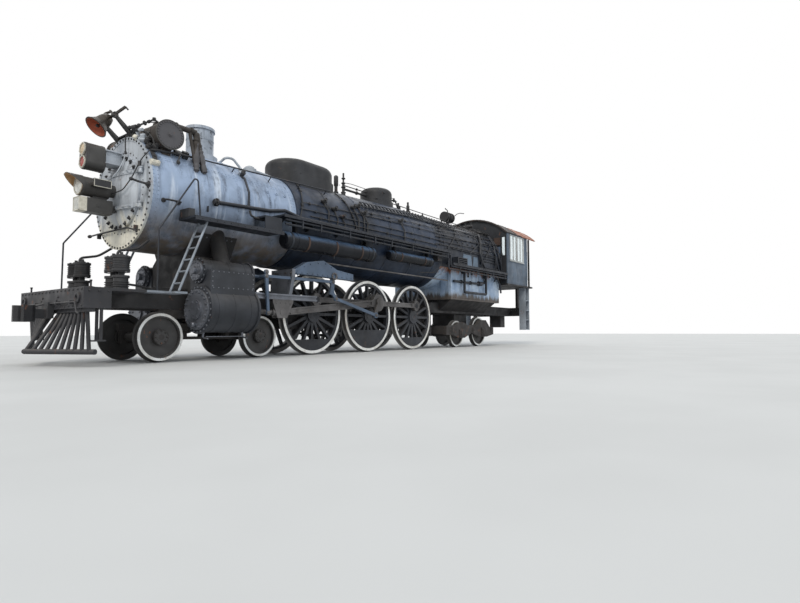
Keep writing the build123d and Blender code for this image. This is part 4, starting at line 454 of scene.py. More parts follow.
GEAR_GREY = weathered(
    "gear_grey", (0.088, 0.123, 0.178), roughness=(0.4, 0.6), metallic=0.2, dust=0.4, rust=0.12, grime=0.4,
    wear=0.4,
)
CYLINDER_BLACK = weathered(
    "cylinder_jacket", (0.028, 0.031, 0.038), spread=0.4, roughness=(0.36, 0.58), dust=0.25, rust=0.1,
    streaks=0.4, dents=0.2,
)
CAB_BLACK = weathered(
    "cab_black", (0.020, 0.022, 0.026), spread=0.35, roughness=(0.4, 0.65), dust=0.2, rust=0.2, streaks=0.5,
    dents=0.2, wear=0.3,
)
CAB_GREY = weathered(
    "cab_side_grey", (0.085, 0.115, 0.155), spread=0.3, roughness=(0.42, 0.65), rust=0.2, streaks=0.8,
    grime=0.3, dents=0.3,
)
ROOF_RUST = weathered(
    "roof_rust", (0.038, 0.032, 0.030), spread=0.4, roughness=(0.55, 0.85), dust=0.2, rust=0.4, grain=0.5,
    extra=roof_halves,
)
DOME_DARK = weathered(
    "dome_dark", (0.021, 0.022, 0.025), spread=0.4, roughness=(0.45, 0.65), dust=0.1, rust=0.12,
    streaks=0.5, dents=0.2,
)
HEATER_BROWN = weathered(
    "heater_brown", (0.040, 0.034, 0.030), spread=0.35, roughness=(0.5, 0.75), dust=0.2, rust=0.3,
    grime=0.3, grain=0.4, extra=heater_ends,
)
LAMP_DARK = weathered(
    "lamp_dark", (0.056, 0.053, 0.050), roughness=(0.38, 0.58), dust=0.15, rust=0.12, dents=0.15, wear=0.3,
    extra=lamp_faces,
)
FITTING_IRON = weathered(
    "fitting_iron", (0.026, 0.026, 0.028), spread=0.4, roughness=(0.45, 0.75), dust=0.15, rust=0.28,
    grain=0.5, wear=0.4,
)
PIPE_BLACK = weathered(
    "pipe_black", (0.018, 0.021, 0.028), spread=0.35, roughness=(0.38, 0.6), dust=0.15, rust=0.12,
    grain=0.2,
)
# The air tanks' dark paint, with a painted sky highlight over their upper sides
TANK_BLACK = weathered(
    "tank_black", (0.012, 0.013, 0.016), spread=0.3, roughness=(0.25, 0.4), streaks=0.5, rust=0.12,
    gleam=0.15, extra=tank_painted_highlight,
)
LADDER_GREY = weathered(
    "ladder_grey", (0.26, 0.29, 0.33), roughness=(0.45, 0.65), metallic=0.15, dust=0.1, rust=0.3, grime=0.4
)
BELL_DARK = weathered(
    "bell_bronze", (0.060, 0.050, 0.042), spread=0.3, roughness=(0.35, 0.55), metallic=0.6, dust=0.2,
    rust=0.1, grime=0.4,
)
PILOT_BLACK = weathered(
    "pilot_black", (0.030, 0.030, 0.034), spread=0.3, roughness=(0.42, 0.65), dust=0.35, rust=0.3,
    grime=0.4, wear=0.5,
)
HANGER_RUST = weathered(
    "hanger_rust", (0.055, 0.034, 0.026), spread=0.35, roughness=(0.6, 0.85), rust=0.45, grime=0.4,
    grain=0.5,
)
LAMP_RIM = weathered(
    "rim_cream", (0.58, 0.55, 0.47), spread=0.2, roughness=(0.4, 0.6), streaks=0.3, rust=0.15, grime=0.3,
    wear=0.2,
)
BLANK_BOARD = weathered(
    "board_black", (0.018, 0.018, 0.020), spread=0.3, roughness=(0.3, 0.5), dust=0.1, grime=0.2
)
BELL_RED = weathered(
    "bell_red", (0.33, 0.075, 0.035), roughness=(0.5, 0.75), streaks=0.3, rust=0.2, grime=0.35
)
PANEL_BLUE = weathered(
    "panel_blue", (0.12, 0.17, 0.23), spread=0.2, roughness=(0.35, 0.55), streaks=0.5, dust=0.2, rust=0.15,
    dents=0.2,
)
FRAME_PALE = weathered(
    "window_frame_grey", (0.42, 0.43, 0.42), roughness=(0.5, 0.75), streaks=0.4, rust=0.15, grime=0.4
)
BRASS = weathered(
    "gauge_brass", (0.52, 0.36, 0.14), spread=0.2, roughness=(0.25, 0.5), metallic=0.9, grime=0.4
)
DIAL_WHITE = weathered("dial_white", (0.72, 0.70, 0.64), spread=0.08, roughness=(0.25, 0.4), grime=0.2)


def tyre_finish(name, station):
    return weathered(
        f"tyre_{name}", (0.16, 0.155, 0.15), metallic=0.5, rust=0.25, grime=0.3, edge=0.004,
        extra=white_rim(station, DRIVER_RADIUS, 0.075),
    )


def wheelset_finish(name, station, radius):
    return weathered(
        f"wheelset_{name}", (0.045, 0.043, 0.042), roughness=(0.45, 0.7), dust=0.4, rust=0.25, grime=0.4,
        edge=0.004, extra=white_rim(station, radius, 0.055),
    )


def window_glass():
    """Clear glass, dusty in patches."""
    made = Finish("window_glass")
    dirt = made.band(made.noise(6.0, 6.0), 0.45, 0.8, 0.02, 0.25)
    made.surface(
        Roughness=dirt, Base_Color=(0.78, 0.86, 0.88, 1.0), Transmission_Weight=0.9, IOR=1.45
    )
    return made.material


def lens(name, colour, share):
    """A pressed glass lens: fine upright flutes in the bump, deeper colour in patches."""
    made = Finish(name)
    shade = made.mix(made.band(made.noise(9.0, 4.0), 0.3, 0.7), [c * 0.7 for c in colour], colour)
    gloss = made.band(made.noise(20.0, 5.0), 0.4, 0.8, 0.06, 0.3)
    made.surface(Base_Color=shade, Roughness=gloss, Transmission_Weight=share, IOR=1.5)
    inputs = {"Vector": made.place, "Scale": 22.0}
    flute = made.node("ShaderNodeTexWave", inputs, bands_direction="Y")
    made.bump(flute.outputs["Fac"], 0.5)
    return made.material


WINDOW_GLASS = window_glass()
LENS_CLEAR = lens("lens_clear", (0.80, 0.80, 0.76), 0.25)
LENS_AMBER = lens("lens_amber", (0.80, 0.62, 0.40), 0.2)
LENS_RED = lens("lens_red", (0.42, 0.035, 0.022), 0.2)

# Which finish each of the frame's nodes takes
NODE_FINISHES = {}
for node_finish, node_names in (
    (FRAME_BLACK, "engine_frame cylinder_saddle ashpan cab_floor brake_gear"),
    (PILOT_BLACK, "pilot_beam pilot_bars"),
    (FITTING_IRON, "front_coupler boiler_fittings backhead air_pumps"),
    (CYLINDER_BLACK, "cylinders"),
    (GUIDE_STEEL, "cylinder_heads crosshead_guides"),
    (GEAR_GREY, "valve_gear"),
    (SILVER, "smokebox"),
    (SILVER_FRONT, "smokebox_front smokebox_door"),
    (JACKET_BLACK, "boiler_jacket"),
    (FIREBOX_BLUE, "firebox"),
    (STACK_SILVER, "stack"),
    (HEATER_BROWN, "feedwater_heater"),
    (DOME_DARK, "sand_dome steam_dome"),
    (LAMP_DARK, "bell_bracket headlight signal_light"),
    (PIPE_BLACK, "running_boards handrails pipework"),
    (TANK_BLACK, "air_reservoirs"),
    (CAB_GREY, "cab_side_left cab_side_right"),
    (CAB_BLACK, "cab_front"),
    (ROOF_RUST, "cab_roof"),
    (WINDOW_GLASS, "cab_glass"),
    (LADDER_GREY, "steps"),
    (TRUCK_BLACK, "leading_truck_frame trailing_truck_frame"),
    (WHEEL_BLACK, "front_driver_centres main_driver_centres rear_driver_centres"),
    (ROD_STEEL, "side_rods_left side_rods_right main_rod_left main_rod_right"),
    (ROD_STEEL, "crosshead_left crosshead_right"),
    (BELL_DARK, "bell"),
):
    NODE_FINISHES.update(dict.fromkeys(node_names.split(), node_finish))
for axle, axle_station in DRIVER_STATIONS.items():
    NODE_FINISHES[f"{axle}_driver_tyres"] = tyre_finish(axle, axle_station)
for truck, axle, axle_station, wheel_radius in TRUCK_WHEELS:
    NODE_FINISHES[f"{truck}_wheelset_{axle}"] = wheelset_finish(
        f"{truck}_{axle}", axle_station, wheel_radius
    )

for node_name, node_finish in NODE_FINISHES.items():
    mesh = nodes[node_name].data
    mesh.materials.clear()
    mesh.materials.append(node_finish)


# Surfaces worked out as arrays: a shape is its points and a list of face arrays


def unit(vectors):
    """Vectors over their own lengths."""
    vectors = np.asarray(vectors, float)
    return vectors / np.linalg.norm(vectors, axis=-1, keepdims=True)


def across(direction):
    """Two unit vectors square to each direction and to each other: helper x direction, and
    direction x that."""
    helper = np.where(np.abs(direction[..., 2:3]) < 0.9, (0.0, 0.0, 1.0), (1.0, 0.0, 0.0))
    side = unit(np.cross(helper, direction))
    return side, np.cross(direction, side)


def fan(rim, centre):
    """Triangles from each pair of neighbours round a closed rim to one middle point."""
    return np.stack([rim, np.roll(rim, -1), np.full(len(rim), centre)], axis=1)


def skin(outlines, closed=False):
    """A surface through a row of closed outlines, an array (outline, corner, 3). Quads join
    each outline to the next; fans to the mean of the first and the last close the ends, or,
    where closed is true, the last outline joins the first."""
    outlines = np.asarray(outlines, float)
    rows, columns = outlines.shape[:2]
    numbers = np.arange(rows * columns).reshape(rows, columns)
    here = numbers if closed else numbers[:-1]
    ahead = np.roll(numbers, -1, axis=0) if closed else numbers[1:]
    quads = np.stack([here, np.roll(here, -1, axis=1), np.roll(ahead, -1, axis=1), ahead], axis=-1)
    points = outlines.reshape(-1, 3)
    faces = [quads.reshape(-1, 4)]
    if not closed:
        points = np.vstack([points, outlines[0].mean(axis=0), outlines[-1].mean(axis=0)])
        faces += [fan(numbers[0][::-1], rows * columns), fan(numbers[-1], rows * columns + 1)]
    return points, faces


def turned(profile, base, direction, sides=24, closed=False):
    """A profile of (along, radius) pairs turned round a direction from a base point:
    base + along * direction + radius * (cos a * side + sin a * up)."""
    profile = np.asarray(profile, float)
    direction = unit(direction)
    side, up = across(direction)
    angle = np.linspace(0, 2 * np.pi, sides, endpoint=False)[:, None]
    spoke = np.cos(angle) * side + np.sin(angle) * up
    return skin(
        np.asarray(base) + profile[:, :1, None] * direction + profile[:, 1:, None] * spoke, closed
    )


def hoop(inner, outer, start, end, base, direction, sides=48):
    """A square-sectioned ring: the rectangle (start..end, inner..outer) turned round a direction."""
    section = [(start, inner), (end, inner), (end, outer), (start, outer)]
    return turned(section, base, direction, sides, closed=True)


def rounded(points, bend, steps=5):
    """A path with round corners: (1-t)^2 a + 2t(1-t) corner + t^2 b, where a and b lie one
    bend's length before and after the corner."""
    points = np.asarray(points, float)
    corners = points[1:-1]
    before = corners + bend * unit(points[:-2] - corners)
    after = corners + bend * unit(points[2:] - corners)
    t = np.linspace(0, 1, steps)[:, None, None]
    curves = (1 - t) ** 2 * before + 2 * t * (1 - t) * corners + t**2 * after
    return np.vstack([points[:1], curves.transpose(1, 0, 2).reshape(-1, 3), points[-1:]])


def tube(path, radius, sides=8):
    """A round tube along a path: each circle stands square to the mean of the runs before
    and after its point, and starts from the path's flattest direction."""
    path = np.asarray(path, float)
    runs = unit(np.diff(path, axis=0))
    tangent = unit(np.vstack([runs[:1], runs[:-1] + runs[1:], runs[-1:]]))
    flattest = np.linalg.svd(path - path.mean(axis=0))[2][-1]
    side = unit(np.cross(tangent, flattest))
    up = np.cross(tangent, side)
    angle = np.linspace(0, 2 * np.pi, sides, endpoint=False)[None, :, None]
    spoke = np.cos(angle) * side[:, None] + np.sin(angle) * up[:, None]
    radius = np.broadcast_to(radius, len(path))[:, None, None]
    return skin(path[:, None] + radius * spoke)


def slab(low, high):
    """A box between two opposite corners."""
    (x0, y0, z0), (x1, y1, z1) = low, high
    floor = np.array([(x0, y0, z0), (x1, y0, z0), (x1, y1, z0), (x0, y1, z0)], float)
    return skin([floor, floor + (0, 0, z1 - z0)])


def block(stations, y, heights):
    """A box on the engine between two stations, two Y values and two heights."""
    return slab(*at(stations, y, heights))


def strap(path, outward, across_strap, width, thickness, sunk=0.003):
    """A flat strap: at each point of a path the rectangle width by thickness, standing on
    the surface whose outward direction is given, a little sunk into it."""
    path = np.asarray(path, float)
    outward = np.broadcast_to(unit(outward), path.shape)
    half = 0.5 * width * np.broadcast_to(unit(across_strap), path.shape)
    corners = [
        path - half - sunk * outward,
        path + half - sunk * outward,
        path + half + thickness * outward,
        path - half + thickness * outward,
    ]
    return skin(np.stack(corners, axis=1))


def joined(shapes):
    """Several shapes as one: points stacked, face numbers moved up by the points before."""
    starts = np.cumsum([0] + [len(points) for points, _ in shapes])
    points = np.vstack([points for points, _ in shapes])
    return points, [group + start for start, (_, faces) in zip(starts, shapes) for group in faces]


def repeated(shape, places, outward, along=None):
    """Copies of a shape made on +Z: its point (x, y, z) goes to
    place + x * side + y * up + z * outward, where side may be given by along."""
    points, faces = shape
    places = np.asarray(places, float).reshape(-1, 3)
    outward = unit(np.broadcast_to(outward, places.shape))
    if along is None:
        side, up = across(outward)
    else:
        side = unit(np.broadcast_to(along, places.shape))
        up = np.cross(outward, side)
    frames = np.stack([side, up, outward], axis=1)
    moved = places[:, None] + points @ frames
    step = len(points) * np.arange(len(places))[:, None, None]
    return moved.reshape(-1, 3), [(group + step).reshape(-1, group.shape[1]) for group in faces]


def pipe(stations, y, heights, radius, bend=0.0, sides=8, steps=5):
    """A round pipe through places on the engine, its corners rounded where a bend is given."""
    path = at(stations, y, heights)
    return tube(rounded(path, bend, steps) if bend else path, radius, sides)


def both_sides(shapes):
    """Shapes with their mirror images, y to -y."""
    return shapes + [(points * (1, -1, 1), faces) for points, faces in shapes]


def around(stations, degrees, radius):
    """Points on a drum about the boiler's axis, and their outward directions: angles run
    from the top towards the engine's left."""
    stations, angle, radius = np.broadcast_arrays(stations, np.radians(degrees), radius)
    outward = np.stack([0 * angle, np.sin(angle), np.cos(angle)], axis=-1)
    return at(stations, radius * np.sin(angle), BOILER_HEIGHT + radius * np.cos(angle)), outward


def ring_of(count, station, y, height, radius, direction=(1, 0, 0), start=0.0):
    """Points evenly round a circle whose middle and direction are given."""
    side, up = across(np.array(direction, float))
    angle = (np.arange(count) / count * 2 * np.pi + math.radians(start))[:, None]
    return at(station, y, height) + radius * (np.cos(angle) * side + np.sin(angle) * up)


def circle_of(shape, count, station, y, height, radius, direction=(1, 0, 0), start=0.0):
    """Copies of a shape evenly round a circle, each standing along the circle's direction."""
    return repeated(shape, ring_of(count, station, y, height, radius, direction, start), direction)


def row_of(shape, span, y, height, direction=(0, 1, 0)):
    """Copies of a shape in a level row, whose span is its first station, its end and its step."""
    return repeated(shape, at(np.arange(*span), y, height), direction)


def on_drum(shape, stations, degrees, radius):
    """Copies of a shape on a drum about the boiler's axis, each standing straight out."""
    return repeated(shape, *around(stations, degrees, radius))


def rim_bars(low, high, width):
    """The two corners of each of four bars that lie just inside a rectangle."""
    (left, foot), (right, top) = low, high
    return (
        (low, (right, foot + width)), ((left, top - width), high),
        (low, (left + width, top)), ((right - width, foot), high),
    )


def make_piece(name, shapes, finish, body="engine", bevel=0.0):
    """One object from its shapes: faces turned outward, smooth up to 38 degrees, riding on
    its body and taking its finish from a slot."""
    points, faces = joined(shapes)
    mesh = bpy.data.meshes.new(name)
    mesh.from_pydata(points.tolist(), [], [row for group in faces for row in group.tolist()])
    form = bmesh.new()
    form.from_mesh(mesh)
    bmesh.ops.recalc_face_normals(form, faces=form.faces)
    form.to_mesh(mesh)
    form.free()
    mesh.shade_smooth()
    mesh.set_sharp_from_angle(angle=math.radians(38))
    mesh.materials.append(finish)
    piece = add_object(name, mesh)
    if bevel:
        edges = piece.modifiers.new("edges", "BEVEL")
        edges.width = bevel
        edges.segments = 2
        edges.limit_method = "ANGLE"
    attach(piece, body)
    return piece


ORIGIN = (0.0, 0.0, 0.0)
UP = (0.0, 0.0, 1.0)
AHEAD = (1.0, 0.0, 0.0)
LEFT = (0.0, 1.0, 0.0)
RIVET = turned([(-0.004, 0.014), (0.006, 0.0135), (0.011, 0.007)], ORIGIN, UP, 7)
BIG_RIVET = turned([(-0.004, 0.02), (0.008, 0.019), (0.014, 0.011)], ORIGIN, UP, 8)
BOLT = turned([(-0.004, 0.02), (0.012, 0.02), (0.016, 0.016)], ORIGIN, UP, 6)
NUT = turned([(-0.004, 0.027), (0.018, 0.027), (0.019, 0.013), (0.034, 0.012)], ORIGIN, UP, 6)
PIN_NUT = turned(
    [(-0.004, 0.048), (0.006, 0.048), (0.007, 0.036), (0.022, 0.036), (0.023, 0.018), (0.030, 0.016)],
    ORIGIN, UP, 12,
)
OIL_CUP = turned(
    [(-0.01, 0.022), (0.02, 0.022), (0.021, 0.03), (0.048, 0.03), (0.054, 0.016)], ORIGIN, UP, 12
)
CAP = turned(
    [(-0.004, 0.045), (0.012, 0.043), (0.02, 0.03), (0.022, 0.018), (0.038, 0.018)], ORIGIN, UP, 10
)


def jacket_radius(station):
    """The boiler jacket's radius: level on the smokebox, a cone to the taper's end, then level."""
    station = np.asarray(station, float)
    cone = FRONT_COURSE_RADIUS + (TAPER_FRONT - station) / TAPER_LENGTH * TAPER_RISE
    return np.where(station > TAPER_FRONT, SMOKEBOX_RADIUS, np.minimum(cone, FIREBOX_RADIUS))


# Smokebox: rivet rows, fittings on its side, and what stands on it


def smokebox_rivets():
    shapes = []
    degrees = np.arange(-146, 147, 4.0)
    for station in SMOKEBOX_SEAMS:
        shapes.append(on_drum(RIVET, station, degrees, SMOKEBOX_RADIUS))
    for degree in (56.0, 59.0, -56.0, -59.0):
        shapes.append(on_drum(RIVET, np.arange(3.22, 6.34, 0.085), degree, SMOKEBOX_RADIUS))
    make_piece("smokebox_rivets", shapes, SILVER)


def smokebox_side_fittings():
    """Grab bar, flanged feed pipe end, box by the board, wash-out plugs and patch plates."""
    grab_height = 3.03
    grab = at([6.29, 6.29, 5.99, 5.99], [1.075, 1.20, 1.20, 1.075], grab_height)
    iron = [tube(rounded(grab, 0.04), 0.02)]
    iron += [hoop(0.02, 0.045, 0.0, 0.02, at(s, 1.08, grab_height), LEFT, 16) for s in (6.29, 5.99)]
    iron += [
        turned(
            [(-0.05, 0.055), (0.0, 0.055), (0.002, 0.085), (0.032, 0.085), (0.034, 0.05), (0.07, 0.045)],
            at(5.22, 1.17, 3.185), (-1, 0, 0), 20,
        ),
        circle_of(BOLT, 6, 5.222, 1.17, 3.185, 0.066),
        block((5.80, 5.93), (1.05, 1.36), (2.745, 2.915)),
        block((5.345, 5.370), (1.085, 1.118), (2.97, 3.09)),
    ]
    make_piece("smokebox_fittings", both_sides(iron), FITTING_IRON, bevel=0.004)
    plugs = []
    for degree in (66, -66):
        plugs.append(on_drum(CAP, [3.3, 3.55, 3.8], degree, SMOKEBOX_RADIUS))
    # A patch riveted over the shell low on each side
    for side in (1, -1):
        path, outward = around(4.05, side * np.linspace(70, 92, 9), SMOKEBOX_RADIUS)
        plugs.append(strap(path, outward, AHEAD, 0.62, 0.008))
        for station in (3.77, 4.33):
            plugs.append(on_drum(RIVET, station, side * np.linspace(71, 91, 8), 1.118))
    make_piece("smokebox_patches", plugs, SILVER)


def top_plumbing():
    """Silver-painted pipes and valve bodies between the stack and the sand dome, and the
    clutter of unions ahead of the heater."""
    arc = at(
        [4.62, 4.55, 4.40, 4.22, 4.22], [0.36, 0.50, 0.56, 0.60, 0.70], [4.30, 4.42, 4.42, 4.23, 4.12]
    )
    pale = [tube(rounded(arc, 0.06), 0.028, 10)]
    for station, y in ((3.84, 0.42), (3.84, -0.42)):
        base = at(station, y, 4.27)
        pale += [
            turned(
                [(-0.04, 0.15), (0.07, 0.15), (0.075, 0.12), (0.12, 0.10), (0.145, 0.05)], base, UP, 24
            ),
            circle_of(BOLT, 8, station, y, 4.34, 0.133, UP),
        ]
    feed = at([3.70, 3.3, 3.05], [0.42, 0.30, 0.22], [4.33, 4.36, 4.37])
    pale += [
        tube(rounded(feed, 0.1), 0.035, 10),
        turned(
            [(-0.05, 0.05), (0.05, 0.05), (0.06, 0.07), (0.09, 0.07)], at(4.40, 0.84, 4.02),
            (0.2, 0.75, 0.65), 14,
        ),
        # Relief valve, elbow and brackets ahead of the heater
        turned(
            [(-0.06, 0.07), (0.05, 0.07), (0.055, 0.095), (0.085, 0.095), (0.09, 0.06), (0.15, 0.05)],
            at(6.44, 0.62, 4.20), (0.45, 0.4, 0.8), 16,
        ),
    ]
    elbow = at([6.46, 6.50, 6.50], [0.44, 0.44, 0.66], [4.33, 4.45, 4.42])
    pale.append(tube(rounded(elbow, 0.05), 0.03, 10))
    for y in (0.36, -0.36, -0.55):
        pale.append(block((6.42, 6.52), (y - 0.03, y + 0.03), (4.16, 4.42 - abs(y) * 0.2)))
    make_piece("smokebox_top_pipes", pale, SILVER_FRONT, bevel=0.003)
    dark = []
    # Vertical pipe and its elbow down to the board, and the check valve at its head
    head = at(4.40, 0.90, 3.99)
    dark.append(turned(
        [(-0.05, 0.03), (0.0, 0.05), (0.07, 0.055), (0.09, 0.035), (0.13, 0.03)], head, (0, 0.7, 0.7), 14
    ))
    low = at([4.385, 4.37, 4.30, 4.10], [1.165, 1.19, 1.24, 1.30], [3.16, 3.05, 3.01, 2.99])
    dark.append(tube(rounded(low, 0.05), 0.025, 10))
    loop, _ = around([6.46, 6.40, 6.37, 6.42, 6.47], [38.0, 46.0, 60.0, 70.0, 66.0], 1.135)
    dark += [
        tube(rounded(loop, 0.09, 7), 0.007, 6),
        pipe([6.5, 6.36, 6.2, 6.0], [0.30, 0.42, 0.60, 0.80], [4.42, 4.66, 4.67, 4.60], 0.012, 0.08, 6),
    ]
    make_piece("smokebox_dark_pipes", dark, FITTING_IRON)


def top_front_clutter():
    """The coupled air line from the bell to the heater, an arched pipe under it, and the
    valves, drain and junction box round the smokebox's shoulder."""
    line = at(
        [6.50, 6.56, 6.59, 6.55, 6.515, 6.455, 6.41, 6.35, 6.27],
        [0.25, 0.27, 0.34, 0.45, 0.55, 0.65, 0.72, 0.80, 0.82],
        [4.42, 4.47, 4.50, 4.49, 4.52, 4.56, 4.585, 4.63, 4.58],
    )
    dark = [tube(rounded(line, 0.03, 4), 0.017)]
    for share, radius, half in (
        (2, 0.036, 0.03), (3, 0.05, 0.055), (4, 0.036, 0.022), (5, 0.045, 0.022), (6, 0.032, 0.03),
        (7, 0.036, 0.03),
    ):
        run = unit(line[share + 1] - line[share - 1])
        dark.append(turned(
            [
                (-half, radius * 0.8), (-half + 0.008, radius), (half - 0.008, radius),
                (half, radius * 0.8),
            ],
            line[share], run, 14,
        ))
    arch = at(
        [6.50, 6.56, 6.52, 6.48, 6.41, 6.37, 6.36], [0.20, 0.32, 0.50, 0.60, 0.72, 0.82, 0.85],
        [4.36, 4.45, 4.44, 4.42, 4.36, 4.24, 4.12],
    )
    dark.append(tube(rounded(arch, 0.05, 4), 0.022, 10))
    for share in (2, 4):
        dark.append(turned(
            [(-0.025, 0.035), (0.025, 0.035)], arch[share], unit(arch[share + 1] - arch[share - 1]), 12
        ))
    # Valve cluster beside the heater's front, with its handwheel
    for station, y, height, reach in (
        (6.44, 0.70, 4.16, 0.10), (6.36, 0.84, 4.04, 0.08), (6.46, 0.80, 4.03, 0.06)
    ):
        out = unit(np.array([0.0, y, height - BOILER_HEIGHT]))
        base = at(station, y, height)
        dark += [
            turned(
                [
                    (-0.06, 0.03), (0.0, 0.035), (0.01, 0.055), (reach, 0.055), (reach + 0.01, 0.03),
                    (reach + 0.05, 0.02),
                ],
                base, out, 12,
            ),
            hoop(0.045, 0.055, reach + 0.04, reach + 0.05, base, out, 16),
        ]
    # Bar under the heater and the bolted band that holds its foot
    dark.append(pipe([6.45, 6.30, 5.80, 5.45], 0.90, [3.99, 4.02, 4.06, 4.07], 0.022, sides=10))
    band, band_out = around(6.42, np.linspace(30, 62, 12), SMOKEBOX_RADIUS)
    dark.append(strap(band, band_out, AHEAD, 0.07, 0.02))
    for degree in (34, 42, 50, 58):
        dark.append(on_drum(BOLT, [6.40, 6.44], degree, 1.13))
    # Drain bulb hanging from the bar
    dark += [
        pipe([5.86, 5.92, 5.96], [0.90, 0.97, 1.01], [4.05, 3.97, 3.88], 0.014, 0.03),
        turned(
            [(-0.045, 0.016), (-0.02, 0.034), (0.02, 0.038), (0.045, 0.02)], at(5.965, 1.015, 3.85),
            (0.05, 0.4, -1), 14,
        ),
    ]
    # Boxes between the heater's foot and its legs
    for station, degree, size in ((5.86, 44, 0.07), (5.72, 47, 0.05), (5.66, 40, 0.06), (5.48, 46, 0.05)):
        places, out = around(station, degree, 1.13)
        dark.append(repeated(
            slab((-size, -size * 0.7, -0.04), (size, size * 0.7, 0.06)), places, out, along=AHEAD
        ))
    # Hose from the bell's bracket to the door's top edge
    dark += [
        pipe([6.55, 6.62, 6.61, 6.60], [0.24, 0.24, 0.23, 0.22], [4.40, 4.33, 4.18, 4.02], 0.013, 0.04),
        turned([(-0.03, 0.021), (0.03, 0.021)], at(6.60, 0.22, 4.03), UP, 12),
    ]
    make_piece("smokebox_top_clutter", dark, FITTING_IRON)
    pale = [turned(
        [(-0.05, 0.03), (0.0, 0.032), (0.005, 0.05), (0.035, 0.05), (0.045, 0.03), (0.06, 0.02)],
        at(6.55, 0.50, 4.28), (0.5, 0.35, 0.8), 16,
    )]
    places, out = around(6.45, 67.0, SMOKEBOX_RADIUS)
    pale += [
        repeated(slab((-0.085, -0.05, -0.01), (0.085, 0.05, 0.055)), places, out, along=AHEAD),
        repeated(slab((-0.06, -0.035, 0.05), (0.06, 0.035, 0.065)), places, out, along=AHEAD),
    ]
    pale.append(on_drum(CAP, [6.40, 6.50], 67.0, 1.17))
    plate, plate_out = around(5.74, np.linspace(24, 40, 8), SMOKEBOX_RADIUS)
    pale.append(strap(plate, plate_out, AHEAD, 0.16, 0.012))
    make_piece("smokebox_pale_boxes", pale, LAMP_RIM, bevel=0.003)


smokebox_rivets()
smokebox_side_fittings()
top_plumbing()
top_front_clutter()


# Smokebox front: plate bolts and cross bar, the door's dogs and straps, and the lamps


def dish(y, height):
    """Station of the door's dished face: the sphere's, and level outside the dish."""
    reach = np.asarray(y, float) ** 2 + (np.asarray(height, float) - BOILER_HEIGHT) ** 2
    return np.where(reach < DISH_RADIUS**2, DISH_MIDDLE + np.sqrt(DISH_SPHERE**2 - reach), DOOR_FACE)


def front_plate_details():
    bolts = [
        circle_of(BOLT, 60, FRONT_PLATE + 0.012, 0, BOILER_HEIGHT, 1.075),
        circle_of(RIVET, 36, FRONT_PLATE, 0, BOILER_HEIGHT, 0.80),
    ]
    bar = at(
        [6.585, 6.585, 6.60, 6.60, 6.585, 6.585], [-1.25, -0.87, -0.30, 0.34, 0.62, 0.70],
        [2.55, 2.555, 2.55, 2.55, 2.48, 2.43],
    )
    bolts.append(tube(rounded(bar, 0.05), 0.017))
    for y in (-0.87, 0.62):
        bolts.append(block((FRONT_PLATE, 6.60), (y - 0.02, y + 0.02), (2.46, 2.57)))
    bolts.append(turned(
        [(-0.02, 0.035), (0.03, 0.035), (0.035, 0.02)], at(6.585, -1.25, 2.55), (0, -1, 0), 12
    ))
    marker = at([FRONT_PLATE, 6.70, 6.852], [1.015, 1.005, 1.0], [3.285, 3.30, 3.322])
    bolts += [
        tube(marker, 0.021, 10),
        turned(
            [(0.0, 0.07), (0.018, 0.07), (0.02, 0.04), (0.06, 0.034)], at(FRONT_PLATE, 1.015, 3.285), AHEAD,
            16,
        ),
        turned(
            [(-0.02, 0.028), (0.0, 0.034), (0.03, 0.03), (0.036, 0.01)], at(6.852, 1.0, 3.322), AHEAD, 12
        ),
    ]
    conduit = at([6.50, 6.56, 6.60, 6.62], [0.95, 0.925, 0.86, 0.79], [3.96, 3.875, 3.79, 3.70])
    bolts += [
        tube(rounded(conduit, 0.03), 0.011),
        turned([(-0.05, 0.032), (0.05, 0.032)], at(6.605, 0.79, 3.70), UP, 14),
    ]
    make_piece("front_plate_bolts", bolts, FITTING_IRON)


